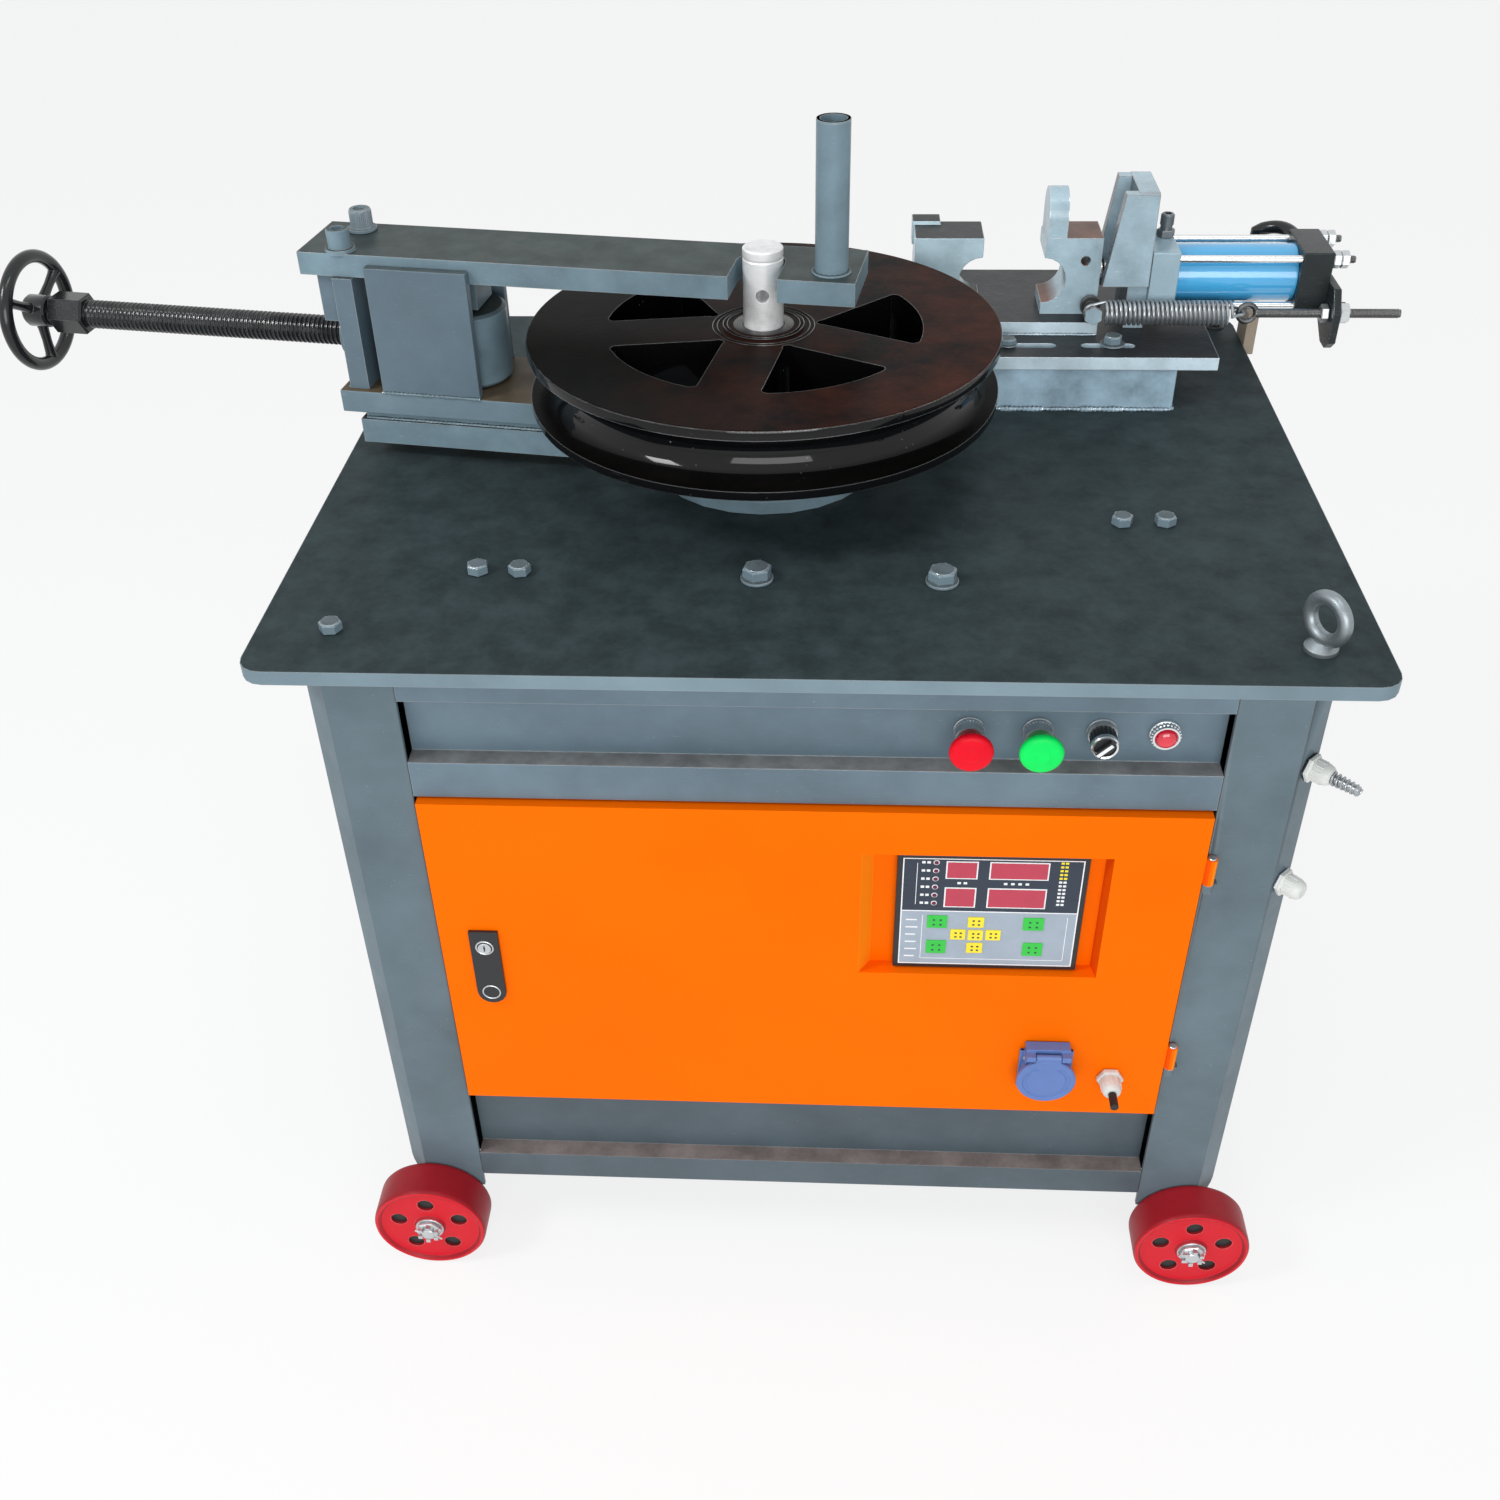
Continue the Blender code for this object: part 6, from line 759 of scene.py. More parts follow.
def makeHandwheel():
    end = feed["coupling"] + feed["couplingLength"]
    hubStart = end + handwheel["gap"]
    hubEnd = hubStart + handwheel["hubLength"]
    centre = Vector(((hubStart + hubEnd) / 2 + handwheel["rimShift"], 0, bendZ))
    shape = bmesh.new()
    addRing(shape, centre, (1, 0, 0), handwheel["rim"], handwheel["bar"], 72, 20)
    addTurned(shape, handwheel["hub"], 48, (hubStart, 0, bendZ), (1, 0, 0), closed=True)
    for k in range(handwheel["spokes"]):
        turn = math.tau * (k + 0.25) / handwheel["spokes"]
        away = Vector((0, math.cos(turn), math.sin(turn)))
        line = [centre + away * reach for reach, thick in handwheel["spoke"]]
        addTube(shape, line, 0.005, 20, [thick for reach, thick in handwheel["spoke"]])
    makePiece("handwheel_casting", shape, "blackGloss", "screw", onArm, stands=("handwheel",))
    collar = bmesh.new()
    collarEnd = end + feed["stubLength"] - 0.0002
    addRod(collar, (hubEnd + 0.0003, 0, bendZ), (collarEnd, 0, bendZ), feed["stub"] + 0.0002, 32, 0.001)
    makePiece("handwheel_end", collar, "zinc", "screw", onArm)


def makePivotScrew():
    # Washer, knurled head with a socket, and the shank down into the arm
    x, y, shank, r = pivotScrew["x"], pivotScrew["y"], pivotScrew["shank"], pivotScrew["washer"]
    seat = topTop + 0.0003
    head = seat + pivotScrew["washerHigh"]
    top = seat + pivotScrew["top"]
    shape = bmesh.new()
    rim = [(shank, seat), (r - 0.0005, seat), (r, seat + 0.0006)]
    rim += [(r, head - 0.0003), (r - 0.0005, head), (shank, head)]
    addTurned(shape, rim, 40, (x, y, 0), closed=True)
    knurl = []
    for k in range(pivotScrew["ribs"] * 2):
        angle = math.pi * k / pivotScrew["ribs"]
        radius = pivotScrew["head"] if k % 2 else pivotScrew["ribFoot"]
        knurl.append((x + radius * math.cos(angle), y + radius * math.sin(angle)))
    addPrism(shape, knurl, head, top - 0.0022)
    crown, socket, floor = pivotScrew["crown"], pivotScrew["socket"], top - pivotScrew["socketDeep"]
    profile = [(crown, top - 0.0023), (crown, top - 0.0010), (crown - 0.0010, top)]
    profile += [(socket, top), (socket, floor), (0, floor)]
    addTurned(shape, profile, 48, (x, y, 0))
    addRod(shape, (x, y, armCeiling - 0.030), (x, y, topTop + 0.004), shank, 24)
    makePiece("pivot_cap_screw", shape, "boltPaint", "arm", onArm, stands=("pivot_screw",))


def makeArmWelds():
    # Beads along the arm's welded joints and round the handle's foot
    bead, floorZ = armWelds["bead"], armFloor + 0.0004
    shape = bmesh.new()
    for side in (1, -1):
        for joint, z in (("side", floorZ), ("base", armWelds["baseZ"])):
            start, end = armWelds[joint + "Run"]
            y = side * armWelds[joint + "Y"]
            addBead(shape, (start, y, z), (end, y, z), bead)
    x, half = armWelds["endX"], armWelds["endHalf"]
    addBead(shape, (x, -half, floorZ), (x, half, floorZ), armWelds["endBead"])
    makePiece("arm_weld_beads", shape, "armPaint", "arm", onArm)
    shape = bmesh.new()
    steps, thick = 56, handle["bead"]
    foot = arcPoints((handle["x"], handle["y"]), handle["weld"], 0, math.tau, steps)
    radii = [thick * (0.85 + 0.15 * math.sin(k * 2.1)) for k in range(steps + 1)]
    addTube(shape, [(x, y, topTop + 0.0006) for x, y in foot], thick, 8, radii)
    lip, bore, r = topTop + handle["high"], handle["bore"], handle["radius"]
    rim = [(bore, lip - 0.002), (bore, lip - 0.0004), (bore + 0.0005, lip)]
    rim += [(r - 0.00055, lip), (r, lip - 0.0006), (r, lip - 0.002)]
    addTurned(shape, rim, 48, (handle["x"], handle["y"], 0), closed=True)
    makePiece("handle_weld_and_lip", shape, "armPaint", "top_plate", onArm)
    shape = bmesh.new()
    addRing(shape, (armWelds["bossX"], 0, bendZ), (1, 0, 0), armWelds["boss"], 0.0018, 56, 8)
    makePiece("boss_weld", shape, "armPaint", "arm", onArm)


makeRoller()
makeFeedScrew()
makeHandwheel()
makePivotScrew()
makeArmWelds()
print("arm made")


# Clamp cylinder: caps, barrel, tie rods, ports and piston
# The ear's outline is y and z. A stub is its length, radius, thread depth and pitch.

cylinder = {"axisY": 0.640, "frontStart": 0.8593, "frontEnd": 0.8893, "rearStart": 1.0203, "rearEnd": 1.0533,
            "halfY": 0.039, "halfZ": 0.035, "barrel": 0.031, "barrelWall": 0.005, "tieY": 0.032,
            "tieZ": 0.026, "tie": 0.0042, "nutFlats": 0.0165, "nutHigh": 0.0085,
            "stub": (0.0156, 0.0041, 0.0006, 0.0014), "earEnd": 1.0613,
            "ear": [(0.640, 0.083), (0.640, 0.118), (0.581, 0.118), (0.565, 0.096), (0.565, 0.063),
                    (0.577, 0.053), (0.595, 0.053)]}
port = {"x": 0.8793, "y": 0.654, "flats": 0.0172, "low": 0.1500, "high": 0.1585,
        "profile": [(0, 0.1585), (0.0066, 0.1585), (0.0066, 0.163), (0.0075, 0.1635), (0.0075, 0.174),
                    (0.0060, 0.1755), (0.0040, 0.1755), (0.0040, 0.168), (0, 0.168)]}
elbow = {"x": 1.0373, "y": 0.679, "z": 0.128, "flats": 0.018, "radius": 0.0074, "inward": 0.0375,
         "outward": 0.044, "hump": 0.007, "mouth": ((0.735, 0.118), (0.735, 0.0985))}
piston = {"start": 0.8063, "end": 1.0150, "radius": 0.0125, "boots": (0.8120, 0.8300)}


def addCap(shape, start, end):
    y, halfY, halfZ = cylinder["axisY"], cylinder["halfY"], cylinder["halfZ"]
    addBlock(shape, (start, y - halfY, bendZ - halfZ), (end, y + halfY, bendZ + halfZ))


def makeFrontCap():
    shape = bmesh.new()
    addCap(shape, cylinder["frontStart"], cylinder["frontEnd"])
    makePiece("front_cap_block", shape, "capPaint", "frame", bevel=0.0014, stands=("cylinder_front_cap",))
    x, y = port["x"], port["y"]
    shape = bmesh.new()
    addHexagon(shape, (x, y, port["low"]), (x, y, port["high"]), port["flats"])
    addTurned(shape, port["profile"], 32, (x, y, 0))
    makePiece("front_port_fitting", shape, "boltSteel", "frame")


def makeBarrel():
    r, wall = cylinder["barrel"], cylinder["barrelWall"]
    low, high = 0.0003, cylinder["rearStart"] - cylinder["frontEnd"] - 0.0003
    shape = bmesh.new()
    profile = [(r - wall, low), (r, low), (r, high), (r - wall, high)]
    place = (cylinder["frontEnd"], cylinder["axisY"], bendZ)
    addTurned(shape, profile, 72, place, (1, 0, 0), closed=True)
    makePiece("barrel_tube", shape, "blueGloss", "frame", stands=("cylinder_barrel",))


def makeRearCap():
    shape = bmesh.new()
    addCap(shape, cylinder["rearStart"], cylinder["rearEnd"])
    makePiece("rear_cap_block", shape, "capBlack", "frame", bevel=0.0014, stands=("cylinder_rear_cap",))
    shape = bmesh.new()
    addPrism(shape, cylinder["ear"], cylinder["rearEnd"] - 0.0005, cylinder["earEnd"], "X")
    makePiece("spring_ear_plate", shape, "capBlack", "frame", bevel=0.0010)


def makeTieRods():
    rods, nuts, stubs = bmesh.new(), bmesh.new(), bmesh.new()
    rearEnd, earEnd = cylinder["rearEnd"], cylinder["earEnd"]
    flats, high = cylinder["nutFlats"], cylinder["nutHigh"]
    thread = threadProfile(0, *cylinder["stub"])
    for side in (-1, 1):
        for up in (-1, 1):
            spot = (cylinder["axisY"] + side * cylinder["tieY"], bendZ + up * cylinder["tieZ"])
            start, end = cylinder["frontEnd"] - 0.001, cylinder["rearStart"] + 0.001
            addRod(rods, (start, *spot), (end, *spot), cylinder["tie"], 24)
            addHexagon(nuts, (rearEnd - 0.0005, *spot), (rearEnd + 0.0075, *spot), flats, 0.3)
            addHexagon(nuts, (earEnd, *spot), (earEnd + high, *spot), flats, 0.3)
            addTurned(stubs, thread, 20, (earEnd + 0.0001, *spot), (1, 0, 0))
    makePiece("tie_rods", rods, "rodChrome", "frame")
    makePiece("tie_nuts", nuts, "zinc", "frame")
    makePiece("tie_rod_ends", stubs, "darkSteel", "frame")


def makeElbow():
    x, y, z = elbow["x"], elbow["y"], elbow["z"]
    shape = bmesh.new()
    addHexagon(shape, (x, y - 0.0005, z), (x, y + 0.012, z), elbow["flats"])
    route = [(x, y + 0.011, z)]
    for k in range(1, 13):
        turn = math.pi / 2 * k / 12
        inward, outward = elbow["inward"] * (1 - math.cos(turn)), elbow["outward"] * math.sin(turn)
        route.append((x - inward, y + 0.012 + outward, z + elbow["hump"] * math.sin(2 * turn)))
    route += [(x - elbow["inward"], *spot) for spot in elbow["mouth"]]
    addTube(shape, route, elbow["radius"], 24)
    makePiece("rear_elbow", shape, "blackGloss", "frame", bevel=0.0006)


def makePiston():
    y, r = cylinder["axisY"], piston["radius"]
    shape = bmesh.new()
    addRod(shape, (piston["start"], y, bendZ), (piston["end"], y, bendZ), r, 40, 0.001)
    makePiece("piston_bar", shape, "rodChrome", "jaw", stands=("piston_rod",))
    shape = bmesh.new()
    for x in piston["boots"]:
        addRing(shape, (x, y, bendZ), (1, 0, 0), r + 0.0007, 0.0012, 40, 10)
    makePiece("piston_boot_rings", shape, "rubber", "jaw")


# Return spring, its adjuster, and the pressure hose

spring = {"y": 0.585, "z": 0.0895, "hook": 0.798, "start": 0.8115, "length": 0.136, "eye": 0.9655,
          "radius": 0.0119, "wire": 0.0018, "curls": 27, "pointsPerCurl": 24, "boltRadius": 0.006,
          "eyeWire": 0.003, "room": 0.0006}
adjuster = {"ring": 0.0095, "thick": 0.0029, "threadStart": 0.9745, "threadEnd": 1.130, "radius": 0.0050,
            "depth": 0.0006, "pitch": 0.0015,
            "nuts": ((1.0440, 1.0520, 0.0171, 0.2), (1.0637, 1.0740, 0.0196, 0.5)),
            "washer": [(0.0053, 1.0616), (0.0120, 1.0616), (0.0124, 1.0620), (0.0124, 1.0634),
                       (0.0053, 1.0637)]}
hose = {"top": (0.9998, 0.735, 0.0897), "foot": (0.976, 0.765, -0.0010), "radius": 0.0065, "steps": 16,
        "tail": 0.004, "relief": (0.0082, 0.0082, 0.0076, 0.0068),
        "grommet": [(0.0068, 0.0002), (0.0115, 0.0002), (0.0120, 0.0010), (0.0105, 0.0028), (0.0078, 0.0030),
                    (0.0068, 0.0022)]}


def makeSpring():
    # A hook over the jaw's bolt, the curls, and a hook through the adjuster's eye
    y, z, wire, r = spring["y"], spring["z"], spring["wire"], spring["radius"]
    hook = spring["boltRadius"] + wire + spring["room"]
    bend = arcPoints((spring["hook"], z), hook, math.radians(290), math.radians(90), 20)
    points = [Vector((x, y, up)) for x, up in bend]
    points.insert(0, points[0] + Vector((1, 0, 0.35)).normalized() * wire * 2)
    points.append(Vector((spring["hook"] + 0.0074, y, z + r * 0.88)))
    perCurl = spring["pointsPerCurl"]
    count = spring["curls"] * perCurl + perCurl // 4
    for k in range(count + 1):
        angle = math.tau * k / perCurl
        x = spring["start"] + spring["length"] * k / count
        points.append(Vector((x, y - r * math.sin(angle), z + r * math.cos(angle))))
    end = spring["start"] + spring["length"]
    points.append(Vector((end + 0.004, y - r * 0.75, z)))
    eyeHook = spring["eyeWire"] + wire + spring["room"]
    eye = (spring["eye"] - adjuster["ring"], y)
    for x, across in arcPoints(eye, eyeHook, math.radians(-90), math.radians(90), 12):
        points.append(Vector((x, across, z)))
    points.append(points[-1] + Vector((-2 * wire, 0, 0)))
    shape = bmesh.new()
    addTube(shape, points, wire, 10)
    piece = makePiece("spring_wire", shape, "springSteel", None, stands=("return_spring",))
    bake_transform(piece)


def makeAdjuster():
    y, z = spring["y"], spring["z"]
    start, end, r = adjuster["threadStart"], adjuster["threadEnd"], adjuster["radius"]
    shape = bmesh.new()
    addRing(shape, (spring["eye"], y, z), (0, 1, 0), adjuster["ring"], adjuster["thick"], 40, 14)
    addTurned(shape, threadProfile(start, end, r, adjuster["depth"], adjuster["pitch"]), 24, (0, y, z),
              (1, 0, 0))
    makePiece("adjuster_eye_rod", shape, "darkSteel", "frame", angle=28, stands=("spring_adjuster",))
    shape = bmesh.new()
    for start, end, flats, turn in adjuster["nuts"]:
        addHexagon(shape, (start, y, z), (end, y, z), flats, turn)
    addTurned(shape, adjuster["washer"], 36, (0, y, z), (1, 0, 0), closed=True)
    makePiece("adjuster_nuts", shape, "zinc", "frame")


def makeHose():
    high, low, tail = Vector(hose["top"]), Vector(hose["foot"]), hose["tail"]
    route = [high + Vector((0, 0, 2 * tail)), high + Vector((0, 0, tail))]
    for k in range(hose["steps"] + 1):
        share = k / hose["steps"]
        aside = (1 - math.cos(math.pi * share)) / 2
        route.append(Vector([a + (b - a) * t for a, b, t in zip(high, low, (aside, aside, share))]))
    route += [low - Vector((0, 0, tail)), low - Vector((0, 0, 2 * tail))]
    length = sum((after - before).length for before, after in zip(route, route[1:]))
    shape = bmesh.new()
    addTube(shape, route, hose["radius"], 24)
    cord = makePiece("pressure_hose", shape, "rubber", "frame", stands=("rear_hose",))
    sleeve = bmesh.new()
    addTube(sleeve, [route[0] + Vector((0, 0, -0.0004)), *route[2:8:2]], 0.008, 20, hose["relief"])
    makePiece("hose_relief", sleeve, "darkSteel", "frame")
    world = [tuple(origin + point) for point in route]
    grommet = bmesh.new()
    addTurned(grommet, hose["grommet"], 32, (low.x, low.y, 0), closed=True)
    makePiece("hose_grommet", grommet, "rubber", "frame")


makeFrontCap()
makeBarrel()
makeRearCap()
makeTieRods()
makeElbow()
makePiston()
makeSpring()
makeAdjuster()
makeHose()
print("cylinder, spring and hose made")


# Bolts on the table, the rail and the jaw, the clamp's weld beads, the lifting eye and the edge bracket
# A size is flats, height and washer. A clamp bolt is x, y, its size and turn. A bead is start, end, radius.

bolts = {"large": ((0.447, 0.163), (0.619, 0.161)), "largeSize": (0.0240, 0.0110, (0.0155, 0.0028)),
         "small": ((0.223, 0.169), (0.183, 0.170), (0.799, 0.274), (0.841, 0.275), (0.069, 0.067)),
         "smallSize": (0.0185, 0.0095, None), "clampZ": 0.0623,
         "clamp": ((0.820, 0.562, 0.0175, 0.0085, (0.0135, 0.0018), 0.2),
                   (0.706, 0.561, 0.0160, 0.0060, (0.0105, 0.0012), 0.7))}
clampWelds = {"foot": ((0.592, 0.5288, 0.0016), (0.886, 0.5288, 0.0016), 0.0024),
              "stitches": (0.612, 0.700, 0.788), "stitchLength": 0.046, "stitchY": 0.5280, "stitchZ": 0.0020,
              "stitch": 0.0034,
              "others": (((0.592, 0.5290, 0.0478), (0.886, 0.5290, 0.0478), 0.0013),
                         ((0.8885, 0.531, 0.0015), (0.8885, 0.748, 0.0015), 0.0022),
                         ((0.592, 0.5880, 0.0630), (0.804, 0.5880, 0.0630), 0.0018))}
eyeBolt = {"x": 0.940, "y": 0.056, "z": 0.0318, "turn": math.radians(58), "ring": 0.0195, "bar": 0.0065,
           "foot": [(0, 0.0004), (0.0148, 0.0004), (0.0150, 0.0010), (0.0148, 0.0042), (0.0118, 0.0072),
                    (0.0080, 0.0105), (0, 0.0105)], "shank": 0.0074, "deep": 0.0130}
edgeBracket = {"low": (1.0005, 0.709, -0.0120), "high": (1.0135, 0.750, 0.038)}
hookBolt = {"head": (0.5745, 0.5794), "flats": 0.0182, "shank": (0.5790, 0.6130), "radius": 0.0061,
            "collarY": 0.6024,
            "collar": [(0.0063, 0), (0.0110, 0), (0.0115, 0.0010), (0.0100, 0.0100), (0.0063, 0.0100)]}


def addBolt(shape, x, y, z, flats, height, washer, turn):
    base = z + 0.0003
    if washer:
        radius, high = washer
        addRod(shape, (x, y, base), (x, y, base + high), radius, 40, 0.0004)
        base += high
    top = base + height
    addHexagon(shape, (x, y, base), (x, y, top), flats, turn)
    crown = [(0, top - 0.0005), (flats * 0.47, top - 0.0005), (flats * 0.44, top + 0.0005), (0, top + 0.0005)]
    addTurned(shape, crown, 32, (x, y, 0))


def makeBolts():
    shape = bmesh.new()
    for k, (x, y) in enumerate(bolts["large"]):
        addBolt(shape, x, y, 0, *bolts["largeSize"], 0.3 + k)
    for k, (x, y) in enumerate(bolts["small"]):
        addBolt(shape, x, y, 0, *bolts["smallSize"], 0.2 + 0.5 * k)
    for x, y, flats, height, washer, turn in bolts["clamp"]:
        addBolt(shape, x, y, bolts["clampZ"], flats, height, washer, turn)
    makePiece("deck_bolts", shape, "boltPaint", "frame", bevel=0.0003)


def makeClampWelds():
    shape = bmesh.new()
    start, end, radius = clampWelds["foot"]
    addBead(shape, start, end, radius)
    y, z, radius = clampWelds["stitchY"], clampWelds["stitchZ"], clampWelds["stitch"]
    for x in clampWelds["stitches"]:
        addBead(shape, (x, y, z), (x + clampWelds["stitchLength"], y, z), radius)
    for start, end, radius in clampWelds["others"]:
        addBead(shape, start, end, radius)
    makePiece("clamp_weld_beads", shape, "clampPaint", "frame")


def makeLiftingRing():
    x, y, turn = eyeBolt["x"], eyeBolt["y"], eyeBolt["turn"]
    shape = bmesh.new()
    addRing(shape, (x, y, eyeBolt["z"]), (math.sin(turn), math.cos(turn), 0), eyeBolt["ring"], eyeBolt["bar"],
            56, 20)
    addTurned(shape, eyeBolt["foot"], 48, (x, y, 0))
    addRod(shape, (x, y, -eyeBolt["deep"]), (x, y, 0.001), eyeBolt["shank"], 24)
    makePiece("lifting_ring", shape, "galvanised", "frame", stands=("eye_bolt",))


def makeEdgeBracket():
    shape = bmesh.new()
    addBlock(shape, edgeBracket["low"], edgeBracket["high"])
    makePiece("edge_bracket", shape, "tanPaint", "frame", bevel=0.0010)


def makeHookBolt():
    # The bolt on the jaw that the return spring hooks over
    x, z = spring["hook"], spring["z"]
    shape = bmesh.new()
    start, end = hookBolt["head"]
    addHexagon(shape, (x, start, z), (x, end, z), hookBolt["flats"], 0.2)
    start, end = hookBolt["shank"]
    addRod(shape, (x, start, z), (x, end, z), hookBolt["radius"], 28)
    addTurned(shape, hookBolt["collar"], 32, (x, hookBolt["collarY"], z), (0, 1, 0), closed=True)
    makePiece("jaw_hook_bolt", shape, "darkSteel", "jaw")


makeBolts()
makeClampWelds()
makeLiftingRing()
makeEdgeBracket()
makeHookBolt()
print("bolts made")


# Wheels, axles, nuts and split pins
# The dish is radius and depth below the wheel's face, and each length of the axle is start, end and radius.

wheel = {"radius": 0.065, "half": 0.0225, "z": -0.790, "holes": 5, "holeCircle": 0.037, "holeRadius": 0.0095,
         "sides": (("left", 0.061), ("right", 0.939)), "ends": (("front", 0.0272, -1), ("back", 0.7628, 1)),
         "dish": ((0.0103, 0.0015), (0.0165, 0.0015), (0.0185, 0.0040), (0.0545, 0.0044), (0.0570, 0.0036),
                  (0.0590, 0.0008), (0.0612, 0), (0.0632, 0.0006)),
         "core": [(0.0240, -0.0150), (0.0240, 0.0150), (0.0500, 0.0150), (0.0500, -0.0150)]}
wheelNut = {"gap": 0.0004, "washer": 0.0163, "washerHigh": 0.0018, "flats": 0.0265, "height": 0.0050,
            "teeth": 6, "toothCircle": 0.0105, "toothReach": 0.0060, "toothHalf": (0.0024, 0.0034, 0.0024),
            "stub": 0.0078, "stubReach": 0.0088, "pin": 0.0011,
            "pinLine": ((-0.0150, 0.0071, 0.006), (-0.009, 0.0074, 0.003), (0.009, 0.0074, -0.003),
                        (0.0145, 0.0066, -0.009))}
axle = {"body": (0.0497, 0.7403, 0.0124), "journal": (0.0050, 0.7850, 0.0099)}


def addTeeth(shape, centre, radius, count, half, shift=0.0):
    # Small blocks in a ring round an axis that runs along y
    x, y, z = centre
    half = Vector(half)
    for k in range(count):
        turn = math.tau * (k + shift) / count
        spot = Vector((x + radius * math.cos(turn), y, z + radius * math.sin(turn)))
        addBlock(shape, spot - half, spot + half)


def makeWheel(name, body, x, y):
    z, half, r = wheel["z"], wheel["half"], wheel["radius"]
    face = [(radius, half - depth) for radius, depth in wheel["dish"]]
    face += [(r - 0.0003, half - 0.0030), (r, half - 0.0060)]
    back = [(radius, -high) for radius, high in face[::-1]]
    shape = bmesh.new()
    addTurned(shape, face + back, 80, (x, y, z), (0, -1, 0), closed=True)
    cutter = bmesh.new()
    for k in range(wheel["holes"]):
        turn = math.tau * (k + 0.27) / wheel["holes"]
        across, up = x + wheel["holeCircle"] * math.cos(turn), z + wheel["holeCircle"] * math.sin(turn)
        addRod(cutter, (across, y - 0.04, up), (across, y + 0.04, up), wheel["holeRadius"], 28, 0)
    makePiece(name + "_tyre", carved(shape, cutter), "wheelRed", body, bevel=0.0006, stands=(name,))
    core = bmesh.new()
    addTurned(core, wheel["core"], 64, (x, y, z), (0, -1, 0), closed=True)
    makePiece(name + "_core", core, "rubber", body)


def makeCastleNut(name, x, seat, out):
    z = wheel["z"]
    shape = bmesh.new()
    addRod(shape, (x, seat - out * wheelNut["washerHigh"], z), (x, seat, z), wheelNut["washer"], 40, 0.0004)
    addHexagon(shape, (x, seat, z), (x, seat + out * wheelNut["height"], z), wheelNut["flats"], 0.2)
    middle = (x, seat + out * wheelNut["toothReach"], z)
    addTeeth(shape, middle, wheelNut["toothCircle"], wheelNut["teeth"], wheelNut["toothHalf"], 0.4)
    addRod(shape, (x, seat, z), (x, seat + out * wheelNut["stubReach"], z), wheelNut["stub"], 28, 0.001)
    pin = [(x + across, seat + out * reach, z + up) for across, reach, up in wheelNut["pinLine"]]
    addTube(shape, pin, wheelNut["pin"], 8)
    makePiece(name, shape, "zinc", "frame", angle=30)


def makeAxle(side, x):
    shape = bmesh.new()
    for start, end, radius in axle.values():
        addRod(shape, (x, start, wheel["z"]), (x, end, wheel["z"]), radius, 32)
    makePiece(f"axle_bar_{side}", shape, "darkSteel", "frame", stands=(f"axle_{side}",))


def makeWheels():
    for side, x in wheel["sides"]:
        for end, y, out in wheel["ends"]:
            makeWheel(f"wheel_{end}_{side}", f"{end}_{side}_wheel", x, y)
            makeCastleNut(f"castle_nut_{end}_{side}", x, y + out * (wheel["half"] + wheelNut["gap"]), out)
        makeAxle(side, x)


makeWheels()
print("wheels made")


# Buttons, selector and lamp on the upper panel
# A profile is radius and depth behind the face that it starts from, so a negative depth stands out.

controls = {"z": -0.101, "panelY": 0.0705, "red": 0.645, "green": 0.708, "selector": 0.766, "lamp": 0.823}
carrier = {"half": 0.015, "start": 0.0033, "end": 0.0353}
collar = {"buttonReach": 0.018, "selectorReach": 0.008,
          "lip": ((0.0136, 0.0022), (0.0140, 0.0014), (0.0132, 0), (0.0079, 0)), "ribs": 28,
          "ribCircle": 0.0136, "ribY": 0.0045, "ribHalf": (0.0004, 0.0016, 0.0004),
          "foot": [(0.0079, 0.0035), (0.0105, 0.0035), (0.0105, 0.0), (0.0140, 0.0), (0.0142, -0.002),
                   (0.0136, -0.0026)]}
mushroom = {"face": 0.042,
            "profile": [(0, 0.0), (0.0060, -0.0001), (0.0064, 0.0), (0.0068, -0.0002), (0.0142, -0.0007),
                        (0.0178, -0.0015), (0.0196, -0.0030), (0.0203, -0.0052), (0.0200, -0.0078),
                        (0.0185, -0.0092), (0.0120, -0.0100), (0.0075, -0.0102), (0.0075, -0.0680),
                        (0, -0.0680)]}
selector = {"knurls": 72, "front": 0.0225, "back": 0.0083, "stem": 0.0074, "stemEnd": 0.0260, "cap": 0.0100,
            "capRun": (0.0255, 0.0220), "high": 0.0125, "deep": 0.0118, "tilt": math.radians(45),
            "grip": ((-0.0033, -0.0052, -0.0100), (0.0033, 0.0010, 0.0100)), "gripY": 0.0257,
            "mark": ((-0.0017, -0.0002, -0.0095), (0.0017, 0.0006, 0.0080)), "markY": 0.0310,
            "ring": [(0.0102, -0.0225), (0.0128, -0.0225), (0.0128, -0.0262), (0.0118, -0.0274),
                     (0.0102, -0.0268)]}
lamp = {"lens": [(0, -0.0158), (0.0040, -0.0156), (0.0078, -0.0145), (0.0098, -0.0122), (0.0104, -0.0095),
                 (0.0104, 0.0230), (0, 0.0230)],
        "bezel": [(0.0106, 0.0), (0.0142, 0.0), (0.0142, -0.0040), (0.0130, -0.0048), (0.0130, -0.0090),
                  (0.0124, -0.0112), (0.0106, -0.0112)], "ribs": 24, "ribCircle": 0.0131, "ribY": 0.0068,
        "ribHalf": (0.0008, 0.0020, 0.0008)}
panelFront = controls["panelY"] - 0.0003


def addTilted(shape, corners, place):
    # A block turned about the y axis before it is set in place
    turn = Matrix.Translation(place) @ Matrix.Rotation(selector["tilt"], 4, "Y")
    for vert in addBlock(shape, *corners):
        vert.co = turn @ vert.co


